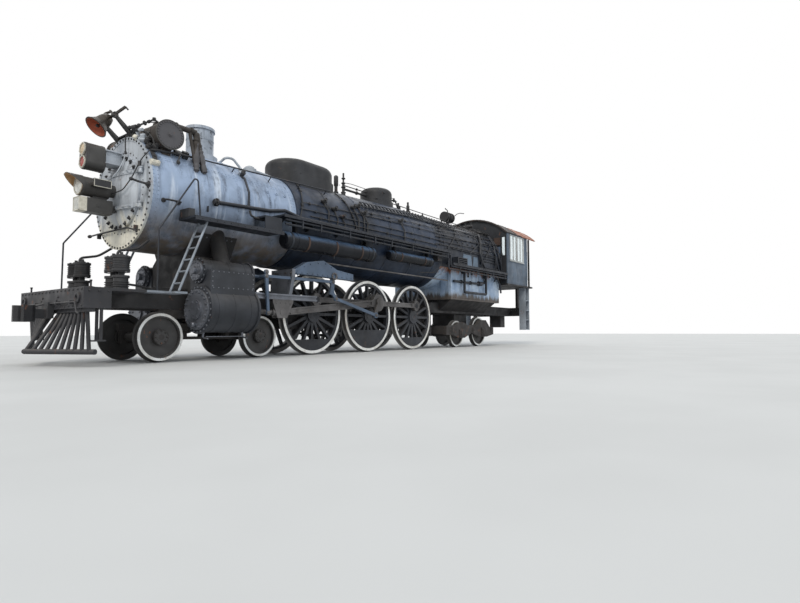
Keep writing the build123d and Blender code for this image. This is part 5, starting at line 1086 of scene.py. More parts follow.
def door_details():
    angle = np.radians(np.arange(24) * 15.0 + 7.5)
    angle = angle[(np.sin(angle) < 0.80) | (np.abs(np.cos(angle)) > 0.72)]
    radial = np.stack([0 * angle, np.sin(angle), np.cos(angle)], axis=-1)
    places = at(DOOR_FACE, 0, BOILER_HEIGHT) + 0.692 * radial
    clamp = slab((-0.05, -0.019, -0.004), (0.03, 0.019, 0.022))
    dogs = [
        repeated(clamp, places, AHEAD, along=radial),
        repeated(NUT, places + (0.018, 0, 0), AHEAD),
    ]
    rest = at([6.62, 6.66, 6.72, 6.80], [0.79, 0.626, 0.409, 0.12], [3.70, 3.464, 3.243, 3.187])
    dogs.append(tube(rounded(rest, 0.08), 0.011))
    make_piece("door_dogs", dogs, FITTING_IRON, body="smokebox_door")
    plates = []
    for height in (BOILER_HEIGHT - 0.33, BOILER_HEIGHT + 0.33):
        y = np.linspace(-0.42, 0.56, 24)
        path = at(dish(y, height), y, height)
        slope = np.gradient(path[:, 0]) / np.gradient(y)
        outward = np.stack([np.ones_like(y), -slope, 0 * y], axis=-1)
        plates.append(strap(path, outward, UP, 0.075, 0.02))
        studs = y[2::5]
        plates += [
            repeated(BOLT, at(dish(studs, height) + 0.018, studs, height), AHEAD),
            hoop(0.03, 0.044, -0.055, -0.035, at(DOOR_FACE, HINGE_Y, height), UP, 20),
            hoop(0.03, 0.044, 0.035, 0.055, at(DOOR_FACE, HINGE_Y, height), UP, 20),
        ]
    hose = at([6.60, 6.66, 6.74, 6.80], [0.22, 0.23, 0.22, 0.15], [3.97, 3.80, 3.62, 3.50])
    plates.append(tube(rounded(hose, 0.08), 0.012))
    for y, height in ((-0.30, 3.72), (0.42, 3.62), (0.34, 2.93)):
        station = float(dish(y, height))
        foot = [
            (station - 0.01, y, height), (station + 0.06, y, height), (station + 0.06, y + 0.17, height),
            (station - 0.01, y + 0.17, height),
        ]
        plates.append(tube(rounded(at(*np.array(foot).T), 0.025), 0.011))
    # Bracket behind the signal lamp
    for y in (0.10, -0.10):
        plates += [
            block((6.60, 6.93), (y - 0.008, y + 0.008), (3.78, 4.0)),
            repeated(BOLT, at([6.70, 6.86], y + math.copysign(0.008, y), 3.95), (0, y, 0)),
        ]
    plates += [
        block((6.62, 6.93), (-0.16, 0.16), (4.0, 4.02)),
        block((6.62, 6.93), (-0.16, 0.16), (3.76, 3.775)),
    ]
    make_piece("door_straps", plates, SILVER_FRONT, "smokebox_door", bevel=0.003)


def lamp_details():
    rims = [hoop(0.160, 0.1745, 0.0, 0.016, at(HEADLIGHT_FACE, 0, BOILER_HEIGHT), AHEAD)]
    for side in (1, -1):
        face = side * 0.330
        outer = side * 0.338
        for low, high in rim_bars((6.89, 3.23), (7.20, 3.38), 0.012):
            rims.append(block((low[0], high[0]), (min(face, outer), max(face, outer)), (low[1], high[1])))
    for low, high in rim_bars((-0.13, 2.79), (0.13, 3.05), 0.016):
        rims.append(block((7.354, 7.366), (low[0], high[0]), (low[1], high[1])))
    for height in (SIGNAL_HEIGHT - LENS_RISE, SIGNAL_HEIGHT + LENS_RISE):
        rims += [
            hoop(0.098, 0.119, -0.004, 0.022, at(7.27, 0, height), AHEAD, 40),
            repeated(RIVET, ring_of(6, 7.27, 0, height, 0.109, start=15) + (0.020, 0, 0), AHEAD),
        ]
    make_piece("lamp_rims", rims, LAMP_RIM, "smokebox_door", bevel=0.002)
    small_lens = [(-0.004, 0.097), (0.004, 0.095), (0.014, 0.07), (0.019, 0.03)]
    big_lens = [(-0.004, 0.162), (0.004, 0.160), (0.018, 0.12), (0.025, 0.05)]
    clear = [turned(big_lens, at(HEADLIGHT_FACE, 0, BOILER_HEIGHT), AHEAD, 40)]
    clear.append(block((7.352, 7.358), (-0.115, 0.115), (2.805, 3.035)))
    make_piece("headlight_lens", clear, LENS_CLEAR, "smokebox_door")
    make_piece(
        "signal_lens_upper", [turned(small_lens, at(7.272, 0, SIGNAL_HEIGHT + LENS_RISE), AHEAD, 32)],
        LENS_AMBER, "smokebox_door",
    )
    make_piece(
        "signal_lens_lower", [turned(small_lens, at(7.272, 0, SIGNAL_HEIGHT - LENS_RISE), AHEAD, 32)],
        LENS_RED, "smokebox_door",
    )
    boards = [
        block(
            (6.90, 7.19), (side * 0.3325 - 0.003, side * 0.3325 + 0.003), (3.24, 3.37)
        ) for side in (1, -1)
    ]
    make_piece("number_boards", boards, BLANK_BOARD, "smokebox_door")
    # Bands round the lamp bodies, and the box lamp's latches
    trim = [
        hoop(
            0.178, 0.184, 0.0, 0.02, at(station, 0, BOILER_HEIGHT), AHEAD
        ) for station in (6.83, 7.06, 7.28)
    ]
    slot_path = np.linspace(0, 2 * np.pi, 48, endpoint=False)
    straight = 0.11 * np.sign(np.sin(slot_path))
    y = 0.1455 * np.cos(slot_path)
    height = SIGNAL_HEIGHT + 0.1455 * np.sin(slot_path) + straight
    for station in (6.945, 7.225):
        loop = at(station, y, height)
        out = np.stack([0 * y, np.cos(slot_path), np.sin(slot_path)], axis=-1)
        corners = [
            loop - 0.004 * out, loop + 0.004 * out, loop + 0.004 * out + (0.02, 0, 0),
            loop - 0.004 * out + (0.02, 0, 0),
        ]
        trim.append(skin(np.stack(corners, axis=0), closed=True))
    trim += [
        block((7.00, 7.06), (0.13, 0.142), (2.90, 2.95)),
        block((7.00, 7.06), (-0.142, -0.13), (2.90, 2.95)),
    ]
    make_piece("lamp_trim", trim, LAMP_DARK, "smokebox_door")


front_plate_details()
door_details()
lamp_details()


# Bell: its lip, crown nut, clapper, painted inside and bracket

BELL_PIVOT = at(BELL_STATION, 0, BELL_HEIGHT)
BELL_DOWN = np.array([math.sin(BELL_TILT), 0.0, -math.cos(BELL_TILT)])


def bell_details():
    lip = turned(
        [(0.316, 0.206), (0.326, 0.2165), (0.335, 0.2165), (0.338, 0.206), (0.334, 0.197)], BELL_PIVOT,
        BELL_DOWN, 48, closed=True,
    )
    crown = turned(
        [(-0.075, 0.02), (-0.07, 0.035), (-0.045, 0.035), (-0.03, 0.05), (0.0, 0.055)], BELL_PIVOT,
        BELL_DOWN, 12,
    )
    bands = []
    for d, r in ((0.095, 0.123), (0.215, 0.149)):
        section = [(d, r), (d, r + 0.004), (d + 0.012, r + 0.006), (d + 0.012, r)]
        bands.append(turned(section, BELL_PIVOT, BELL_DOWN, 48, closed=True))
    yoke = at([6.84, 6.86, 6.80], [-0.24, -0.12, -0.02], [4.69, 4.80, 4.83])
    arms = [tube(rounded(yoke * (1, side, 1), 0.05), 0.024, 10) for side in (1, -1)]
    make_piece("bell_lip", [lip, crown] + bands + arms, BELL_DARK, "bell")
    lining = turned(
        [
            (0.334, 0.1945), (0.205, 0.1205), (0.120, 0.055), (0.056, 0.006), (0.060, 0.004),
            (0.124, 0.051), (0.209, 0.1165), (0.334, 0.1905),
        ],
        BELL_PIVOT, BELL_DOWN, 48, True,
    )
    make_piece("bell_lining", [lining], BELL_RED, "bell")
    clapper = [turned(
        [(0.055, 0.01), (0.24, 0.009), (0.25, 0.02), (0.27, 0.034), (0.29, 0.034), (0.31, 0.016)],
        BELL_PIVOT, BELL_DOWN, 16,
    )]
    make_piece("bell_clapper", clapper, FITTING_IRON, "bell")
    bracket = []
    for side in (1, -1):
        places = ring_of(4, BELL_STATION, side * 0.306, BELL_HEIGHT, 0.04, (0, side, 0), 45)
        bracket += [
            repeated(RIVET, places, (0, side, 0)),
            repeated(NUT, at(6.46, side * np.array([0.22, 0.29]), 4.43), UP),
        ]
        arm = at([6.45, 6.62, 6.81], side * 0.27, [4.345, 4.49, 4.665])
        arm_normal = np.cross(unit(arm[-1] - arm[0]), LEFT)
        widths = np.array([0.062, 0.045, 0.032])[:, None]
        for face in (-0.014, 0.014):
            edges = [arm - widths * arm_normal, arm + widths * arm_normal]
            plate = [edge + (0, face + shift, 0) for edge in edges for shift in (-0.006, 0.006)]
            bracket.append(skin(np.stack([plate[0], plate[1], plate[3], plate[2]], axis=1)))
        bracket.append(repeated(BOLT, arm[:2] + (0.03, side * 0.02, 0.03), (0, side, 0)))
    bracket.append(block((6.49, FRONT_PLATE), (-0.27, 0.27), (4.40, 4.46)))
    make_piece("bell_bracket_plates", bracket, FITTING_IRON)
    rope_arm = at([6.84, 6.60], 0.18, [4.69, 4.95])
    blade_across = np.cross(unit(rope_arm[1] - rope_arm[0]), LEFT)
    blade = [strap(rope_arm + (0, -0.006, 0), np.array(LEFT), blade_across, 0.055, 0.012)]
    blade.append(pipe([6.60, 6.55], [0.18, 0.19], [4.95, 4.90], 0.016))
    make_piece("bell_rope_arm", blade, FITTING_IRON, "bell")


bell_details()


# Stack, heater, domes and the valves behind them


def stack_details():
    shapes = [
        circle_of(BIG_RIVET, 20, STACK_STATION, 0, 4.43, 0.335, UP),
        hoop(0.289, 0.296, 4.78, 4.81, at(STACK_STATION, 0, 0), UP),
        hoop(0.311, 0.318, 5.005, 5.06, at(STACK_STATION, 0, 0), UP),
    ]
    make_piece("stack_bands", shapes, STACK_SILVER)


def heater_details():
    dark = []
    pale = []
    for side in (1, -1):
        out = (0, side, 0)
        middle = at(HEATER_STATION, side * 1.0, HEATER_HEIGHT)
        pale.append(hoop(0.268, 0.2875, -0.012, 0.006, middle, out, 64))
        dark += [
            circle_of(BOLT, 28, HEATER_STATION, side * 1.0, HEATER_HEIGHT, 0.247, out),
            turned([(-0.004, 0.05), (0.01, 0.05), (0.012, 0.03), (0.03, 0.03)], middle, out, 6),
        ]
    for y in (-0.72, -0.35, 0.0, 0.35, 0.72):
        dark.append(hoop(0.268, 0.276, -0.022, 0.022, at(HEATER_STATION, y, HEATER_HEIGHT), LEFT, 56))
    # Pipe stubs and flanges on the drum's top and rear
    for y, tilt in ((0.55, 0.2), (0.15, -0.3), (-0.3, 0.3), (-0.62, -0.2)):
        base = at(HEATER_STATION + 0.2 * tilt, y, 4.61)
        dark.append(turned(
            [(-0.03, 0.04), (0.02, 0.04), (0.022, 0.058), (0.05, 0.058), (0.055, 0.03), (0.085, 0.026)],
            base, (tilt, 0, 1), 12,
        ))
    for station in (5.62, 5.95):
        dark += [
            hoop(0.051, 0.077, 0.0, 0.03, at(station, 0.9, 4.59), AHEAD, 20),
            circle_of(RIVET, 6, station + 0.03, 0.9, 4.59, 0.065),
        ]
    # Wrapping straps on the two legs
    top = np.array([5.53, 0.9, 4.59])
    for foot_station in (5.57, 5.39):
        leg = np.array([foot_station, 1.01, 3.75]) - top
        for share in (0.3, 0.7):
            dark.append(hoop(0.038, 0.05, -0.015, 0.015, at(*(top + share * leg)), leg, 16))
    # Ragged lagging round the legs: a tube whose radius is a steady one plus random lumps
    lumps = np.random.default_rng(7)
    for foot in ((5.57, 1.01, 3.78), (5.39, 1.01, 3.78)):
        share = np.linspace(0.02, 1.0, 26)[:, None]
        leg = at(*((1 - share) * top + share * np.array(foot)).T)
        dark.append(tube(leg, 0.050 + 0.020 * lumps.random(26), 10))
    make_piece("heater_bolts", dark, HEATER_BROWN)
    make_piece("heater_rims", pale, LAMP_DARK)


def dome_details():
    # Studs round the foot of each dome, and handles on the sand lids
    angle = np.linspace(0, 2 * np.pi, 26, endpoint=False)
    shapes = [repeated(RIVET, at(-1.32 + 0.525 * np.cos(angle), 0.525 * np.sin(angle), 4.583), UP)]
    for station in (1.495, 2.335):
        handle = at(station + np.array([-0.06, -0.06, 0.06, 0.06]), 0, [4.97, 5.04, 5.04, 4.97])
        shapes += [
            tube(rounded(handle, 0.02), 0.009),
            hoop(0.127, 0.137, 4.95, 4.985, at(station, 0, 0), UP, 32),
        ]
    for side in (1, -1):
        for station in (1.15, 1.75, 2.35):
            places = at(station + np.arange(3) * 0.2 - 0.1, side * 0.66, 4.545)
            shapes.append(repeated(RIVET, places, UP))
        # Sand pipes down the jacket to the board
        for start, end in ((1.25, 0.95), (2.60, 2.95)):
            degrees = np.linspace(34, 96, 12)
            stations = start + (end - start) * np.linspace(0, 1, 12)
            path, _ = around(stations, side * degrees, jacket_radius(stations) + 0.022)
            shapes.append(tube(path, 0.017))
            for share in (3, 7, 10):
                point = path[share]
                out = unit(point - at(stations[share], 0, BOILER_HEIGHT))
                shapes.append(repeated(
                    slab((-0.03, -0.035, -0.022), (0.03, 0.035, 0.022)), point, out, along=AHEAD
                ))
    make_piece("dome_studs", shapes, DOME_DARK)


def boiler_top_fittings():
    """Operating rods along the boiler's top, levers at the whistle and valves, turret pipes."""
    # Throttle rod from the steam dome to the cab on small stands
    rod = at([-0.85, -1.9, -3.6, -5.3, -7.45], 0.36, [4.62, 4.60, 4.58, 4.57, 4.55])
    iron = [tube(rod, 0.014)]
    for station in (-2.1, -3.4, -4.6, -5.9, -6.9):
        iron.append(block((station - 0.02, station + 0.02), (0.345, 0.375), (4.46, 4.60)))
    # Whistle lever and its pull rod
    iron += [
        pipe([0.19, -0.15, -0.80], [0, 0.03, 0.10], [4.92, 4.94, 4.90], 0.010, sides=6),
        pipe([-0.80, -1.9], [0.52, 0.40], [4.86, 4.70], 0.008, sides=6),
    ]
    for station, y, top in (
        (WHISTLE_STATION, 0.0, 4.98), (SAFETY_VALVE_STATIONS[0], -0.16, 4.70),
        (SAFETY_VALVE_STATIONS[1], 0.16, 4.70),
    ):
        iron += [
            hoop(0.03, 0.05, -0.01, 0.012, at(station, y, top), UP, 14),
            circle_of(RIVET, 6, station, y, top + 0.012, 0.042, UP),
        ]
    # The whistle's sleeve on its post
    iron.append(turned(
        [(-0.02, 0.05), (0.0, 0.065), (0.26, 0.065), (0.28, 0.055), (0.30, 0.03)],
        at(WHISTLE_STATION, 0, 4.76), UP, 18,
    ))
    # Pipes from the steam dome's side to the valves ahead and behind
    for height, radius in ((4.84, 0.015), (4.73, 0.034)):
        iron += [
            pipe([-0.84, 0.18], 0.0, height, radius, sides=12),
            hoop(radius - 0.004, radius + 0.022, -0.015, 0.015, at(-0.4, 0.0, height), AHEAD, 14),
        ]
    for top, radius in ((4.62, 0.062), (4.78, 0.055), (4.90, 0.050), (5.04, 0.046)):
        iron.append(turned(
            [(-0.02, radius), (-0.012, radius + 0.012), (0.012, radius + 0.012), (0.02, radius)],
            at(0.19, 0, top), UP, 14,
        ))
    iron += [
        pipe([-1.80, -2.2, -2.6], [0.08, 0.10, -0.10], [4.80, 4.82, 4.66], 0.024, 0.06),
        turned([(-0.03, 0.04), (0.04, 0.045), (0.05, 0.03), (0.09, 0.03)], at(-2.12, 0.1, 4.81), UP, 12),
        # Turret with its handwheels behind the generator
        pipe(TURRET_STATION, [-0.45, 0.45], 4.66, 0.055, sides=14),
    ]
    for y in (-0.38, -0.13, 0.13, 0.38):
        iron += [
            pipe(TURRET_STATION, [y, y], [4.60, 4.80], 0.022),
            hoop(0.038, 0.05, 0.0, 0.012, at(TURRET_STATION, y, 4.80), UP, 18),
            block((TURRET_STATION - 0.04, TURRET_STATION + 0.04), (y - 0.006, y + 0.006), (4.80, 4.81)),
        ]
    # Generator: bands, feet, exhaust and steam pipes
    for station in (-5.80, -5.60, -5.42):
        iron.append(hoop(0.163, 0.196, -0.012, 0.012, at(station, 0, GENERATOR_HEIGHT), AHEAD, 28))
    iron += [
        pipe(
            [-5.55, -5.55, -5.30, -5.12], [0.05, 0.05, 0.10, 0.22], [5.0, 5.12, 5.14, 5.10], 0.017, 0.05
        ),
        pipe(
            [-5.85, -6.05, -6.20, -6.45], [0.1, 0.16, 0.20, 0.24], [4.90, 5.06, 5.12, 5.14], 0.014, 0.05
        ),
        pipe([-5.15, -5.45], [0.30, 0.16], [4.58, 4.78], 0.012),
    ]
    make_piece("boiler_top_fittings", iron, FITTING_IRON)


stack_details()
heater_details()
dome_details()
boiler_top_fittings()


# Boiler jacket and firebox: bands, stay caps, panels, pipes and tank hangers


def firebox_arch(lift, low=2.77):
    """The firebox's outline, from low on the left over the top to the right: a straight side
    at the full radius up to the axis, then the half circle; with its outward directions."""
    radius = FIREBOX_RADIUS + lift
    side_heights = np.linspace(low, BOILER_HEIGHT, 4)[:-1]
    angle = np.radians(np.linspace(90, -90, 49))
    y = np.concatenate([np.full(3, radius), radius * np.sin(angle), np.full(3, -radius)])
    height = np.concatenate([side_heights, BOILER_HEIGHT + radius * np.cos(angle), side_heights[::-1]])
    out_y = np.concatenate([np.ones(3), np.sin(angle), -np.ones(3)])
    out_z = np.concatenate([np.zeros(3), np.cos(angle), np.zeros(3)])
    return y, height, np.stack([0 * out_y, out_y, out_z], axis=-1)


def jacket_details():
    bands = []
    for station in JACKET_BANDS:
        radius = float(jacket_radius(station))
        bands.append(hoop(
            radius - 0.004, radius + 0.006, -0.032, 0.032, at(station, 0, BOILER_HEIGHT), AHEAD, 96
        ))
    for station in FIREBOX_BANDS:
        low = BOILER_HEIGHT + 0.01 if station > -3.7 else 2.77
        y, height, outward = firebox_arch(0.0, low)
        bands.append(strap(at(station, y, height), outward, AHEAD, 0.06, 0.007))
    for degree in (118, -118):
        stations = np.linspace(-3.2, 2.9, 12)
        path, outward = around(stations, degree, jacket_radius(stations))
        bands.append(strap(path, outward, np.cross(outward, AHEAD), 0.05, 0.006))
    make_piece("jacket_bands", bands, JACKET_BLACK)
    studs = []
    for side in (1, -1):
        # Two rows of stay caps above the firebox and screws along the jacket's seams
        for degree in (30, 38):
            studs.append(on_drum(CAP, np.arange(-6.9, -1.9, 0.16), side * degree, FIREBOX_RADIUS))
        for station in JACKET_BANDS:
            studs.append(on_drum(
                RIVET, station, side * np.arange(12, 100, 11.0), jacket_radius(station) + 0.004
            ))
        studs.append(on_drum(CAP, np.arange(-7.0, -3.6, 0.34), side * 74.0, FIREBOX_RADIUS))
    make_piece("stay_caps", studs, FITTING_IRON)


def side_pipes():
    """Small pipes along the jacket and the firebox side, with clips and unions."""
    pipes = []
    clip = slab((-0.02, -0.03, -0.03), (0.02, 0.03, 0.012))
    for degree, start, end, radius in (
        (79, 2.9, -3.2, 0.014), (68, 1.6, -7.4, 0.012), (50, 0.3, -7.4, 0.016)
    ):
        stations = np.linspace(start, end, 26)
        for side in (1, -1):
            path, outward = around(stations, side * degree, jacket_radius(stations) + 0.03)
            pipes += [
                tube(path, radius),
                repeated(clip, path[2::4], outward[2::4], along=AHEAD),
            ]
    # Level pipes on the firebox side: height, front, rear, radius
    level = []
    for height, front, rear, radius in (
        (3.14, -5.78, -7.42, 0.018),
        (3.24, -5.78, -7.42, 0.014),
        (3.34, -3.8, -7.42, 0.016),
        (2.90, -5.78, -7.42, 0.020),
    ):
        level.append(pipe([front, rear], FIREBOX_RADIUS + radius + 0.012, height, radius))
        for station in np.arange(rear + 0.3, front, 0.9):
            level.append(block(
                (station - 0.02, station + 0.02), (1.265, 1.29 + 2 * radius),
                (height - 0.03, height + 0.03),
            ))
    # Sloping pipes ahead of the cab
    for front, rear, low, high in (
        (-5.0, -6.2, 3.30, 3.95), (-5.9, -7.0, 3.0, 4.0), (-3.5, -4.3, 3.3, 3.9)
    ):
        height = np.linspace(low, high, 8)
        y = np.sqrt(1.30**2 - np.maximum(height - BOILER_HEIGHT, 0) ** 2)
        level.append(pipe(np.linspace(front, rear, 8), y, height, 0.016))
    # Short drops before the bright lower sheet
    for station, low in ((-4.7, 2.52), (-4.95, 2.45), (-5.2, 2.55), (-6.1, 2.50), (-6.6, 2.56)):
        level += [
            pipe([station, station], 1.255, [low, 2.77], 0.022),
            turned([(0, 0.034), (0.05, 0.034)], at(station, 1.255, low), UP, 8),
        ]
    # Unions on the paired side pipes
    for station in np.arange(-3.0, 3.4, 0.8):
        for height in (3.05, 2.95):
            level.append(hoop(0.012, 0.036, -0.022, 0.022, at(station, 1.52, height), AHEAD, 8))
    for station in (-4.4, -5.6, -6.8):
        for height in (2.68, 2.58):
            level.append(hoop(0.012, 0.036, -0.022, 0.022, at(station, 1.52, height), AHEAD, 8))
    make_piece("side_pipes", pipes + both_sides(level), PIPE_BLACK)
    panels = []
    for rear, front, top in ((-5.20, -4.52, 3.24), (-5.66, -5.26, 3.22)):
        corners = at([front, rear, rear + 0.06, front - 0.06], 1.262, [2.81, 2.81, top, top])
        panels += [
            skin(np.stack([corners, corners + (0, 0.016, 0)])),
            repeated(RIVET, at(np.linspace(rear + 0.1, front - 0.1, 5), 1.278, top - 0.03), LEFT),
        ]
    make_piece("firebox_panels", both_sides(panels), PANEL_BLUE)
    rivets = []
    for height in (2.70, 1.70):
        rivets.append(row_of(BIG_RIVET, (-7.4, -3.95, 0.12), 1.19, height))
    for row in (2.50, 2.30, 2.10, 1.90):
        rivets.append(row_of(RIVET, (-7.3, -3.95, 0.20), 1.19, row))
    make_piece("lower_sheet_rivets", both_sides(rivets), FIREBOX_BLUE)


def drum_path(stations, degrees, lift):
    """A path on the jacket, lifted from it, through given stations and angles."""
    stations = np.asarray(stations, float)
    return around(stations, degrees, jacket_radius(stations) + lift)[0]


def pipe_rack():
    """Two long pipes on the boiler's shoulder, tied by close flat spacers."""
    shapes = []
    stations = np.linspace(0.5, -4.6, 31)
    for side in (1, -1):
        upper = side * np.linspace(45, 38, 31)
        lower = side * np.linspace(54, 46, 31)
        shapes += [
            tube(drum_path(stations, upper, 0.045), 0.015),
            tube(drum_path(stations, lower, 0.045), 0.015),
        ]
        for share in np.arange(0.01, 1.0, 0.033):
            station = 0.5 - 5.1 * share
            degrees = side * np.linspace(45 - 7 * share, 54 - 8 * share, 4)
            path, outward = around(station, degrees, jacket_radius(station) + 0.02)
            shapes.append(strap(path, outward, AHEAD, 0.035, 0.035))
    make_piece("shoulder_pipe_rack", shapes, PIPE_BLACK)


def left_pipes():
    """The crowd of pipes on the left: two big ones that sweep down beside the cab, one that
    drops through the board and turns forward in front of the bright sheet, long thin runs,
    and the check valves with their drops to the board."""
    sweep = np.vstack([
        at([-6.26, -6.10, -5.90, -5.72], [0.97, 1.10, 1.25, 1.325], [4.18, 4.02, 3.75, 3.36]),
        at([-5.85, -6.20, -6.34], [1.325, 1.30, 1.25], [3.10, 2.80, 2.56]),
        at([-6.20, -5.91, -5.10, -3.95], 1.25, [2.34, 2.28, 2.26, 2.25]),
    ])
    thick = [
        tube(rounded(sweep, 0.07, 4), 0.040, 12),
        turned(
            [(-0.12, 0.05), (-0.10, 0.085), (0.10, 0.085), (0.12, 0.05)], at(-5.80, 1.25, 2.28), AHEAD,
            16,
        ),
    ]
    for station in (-5.10, -4.45):
        thick.append(hoop(0.036, 0.066, -0.02, 0.02, at(station, 1.25, 2.26), AHEAD, 14))
    for shift in (0.0, -0.33):
        big = at(
            [-7.30 + shift * 0.3, -7.12 + shift * 0.6, -6.98 + shift, -7.12 + shift, -7.30 + shift * 0.7],
            [0.83, 1.16, 1.325, 1.325, 1.325], [4.30, 3.90, 3.36, 3.05, 2.78],
        )
        thick += [
            tube(rounded(big, 0.10, 4), 0.034, 12),
            hoop(0.03, 0.056, -0.02, 0.02, big[1], unit(big[2] - big[0]), 14),
        ]
    thick += [
        pipe([-6.95, -7.07, -7.40, -7.46], 1.285, [2.78, 2.62, 2.33, 2.02], 0.036, 0.08, 10),
        pipe([-6.85, -6.95, -7.15], 1.30, [2.42, 2.50, 2.55], 0.024, 0.05, 10),
    ]
    make_piece("firebox_big_pipes", both_sides(thick), PIPE_BLACK)
    thin = []
    # Front station, front degrees, rear station, rear degrees, radius
    for s0, d0, s1, d1, radius in (
        (-3.08, 56, -7.40, 41, 0.015),
        (-2.96, 63, -7.42, 50, 0.011),
        (-2.85, 74, -7.42, 62, 0.013),
        (-3.04, 80, -7.42, 76, 0.011),
        (-2.77, 85, -7.42, 84, 0.012),
        (0.4, 63, -2.9, 60, 0.010),
        (2.8, 70, -1.2, 66, 0.010),
        (2.6, 86, -2.9, 87, 0.014),
    ):
        stations = np.linspace(s0, s1, 18)
        path = drum_path(stations, np.linspace(d0, d1, 18), 0.02 + radius)
        thin.append(tube(path, radius, 6))
        for place in path[1:-1:4]:
            thin.append(repeated(
                slab((-0.02, -0.03, -0.035), (0.02, 0.03, 0.014)), place,
                place - (place[0], 0, BOILER_HEIGHT + FLANGE), along=AHEAD,
            ))
    # Check valves and the drops below them: station, degrees, drop's end
    for station, degrees, end in (
        (2.05, 62, 88), (1.75, 70, 95), (1.50, 78, 96), (0.95, 60, 94), (0.72, 56, 90), (0.60, 66, 92),
        (-1.05, 64, 92),
    ):
        start = drum_path([station], [degrees], 0.05)[0]
        out = unit(start - at(station, 0, BOILER_HEIGHT))
        thin += [
            turned(
                [(-0.05, 0.05), (0.0, 0.055), (0.03, 0.04), (0.05, 0.03), (0.09, 0.03)], start, out, 12
            ),
            turned([(-0.10, 0.02), (-0.07, 0.04), (0.07, 0.04), (0.10, 0.02)], start, AHEAD, 12),
            hoop(0.04, 0.05, 0.085, 0.097, start, out, 14),
        ]
        stations = station + np.array([0.0, -0.03, -0.10, -0.06, -0.06])
        drop = drum_path(stations, np.linspace(degrees, end, 5), 0.03)
        thin.append(tube(rounded(drop, 0.05, 4), 0.018))
    # Lubricator and its lines behind the air tank
    thin += [
        block((-2.96, -2.70), (1.20, 1.42), (2.80, 3.06)),
        repeated(CAP, at([-2.91, -2.83, -2.75], 1.31, 3.06), UP),
    ]
    for station in (-2.92, -2.84, -2.76):
        thin.append(pipe(
            [station, station, station + 0.3, station + 0.9], [1.40, 1.44, 1.36, 1.30],
            [2.84, 2.62, 2.40, 2.36], 0.008, 0.08, 6,
        ))
    make_piece("boiler_side_lines", both_sides(thin), FITTING_IRON)


def hanger_straps():
    """Rusty hangers round the air tanks, up to the boards."""
    shapes = []
    for y, height, radius, _, stations in AIR_TANKS:
        angle = np.radians(np.linspace(-40, 220, 25))
        out = np.stack([0 * angle, np.cos(angle), -np.sin(angle)], axis=-1)
        for station in stations:
            path = at(
                station, y + (radius + 0.002) * np.cos(angle), height - (radius + 0.002) * np.sin(angle)
            )
            shapes += [
                strap(path, out, AHEAD, 0.05, 0.008),
                block(
                    (station - 0.025, station + 0.025), (y - radius - 0.008, y - radius + 0.004),
                    (height, 3.12),
                ),
            ]
    make_piece("tank_hangers", both_sides(shapes), HANGER_RUST)


jacket_details()
side_pipes()
pipe_rack()
left_pipes()
hanger_straps()


# Running boards and air tanks: edge rivets, raised treads, tank bands and drains


def board_details():
    shapes = []
    for height, rear, front in ((2.71, 3.85, 5.88), (3.12, -3.3, 3.72), (2.77, -7.4, -3.5)):
        shapes.append(row_of(RIVET, (rear, front, 0.16), 1.58, height))
    # Raised treads on the front board, then the bands round the air tanks and their drains
    for station in np.arange(3.9, 5.85, 0.07):
        shapes.append(block((station - 0.006, station + 0.006), (1.16, 1.56), (2.748, 2.756)))
    for station in (3.40, 0.55):
        shapes.append(hoop(0.195, 0.209, -0.025, 0.025, at(station, 1.27, 2.64), AHEAD, 40))
    for station in (-0.42, -2.28):
        shapes.append(hoop(0.14, 0.154, -0.02, 0.02, at(station, 1.33, 2.715), AHEAD, 32))
    drain = [(0.0, 0.03), (0.03, 0.03), (0.035, 0.02), (0.07, 0.02)]
    for y, height, radius, station, _ in AIR_TANKS:
        shapes.append(turned(drain, at(station, y, height - radius), (0, 0, -1), 8))
    make_piece("board_rivets", both_sides(shapes), PIPE_BLACK)


board_details()


# Cab: window frames, turret cover, rivets, grab irons, roof ribs and backhead fittings


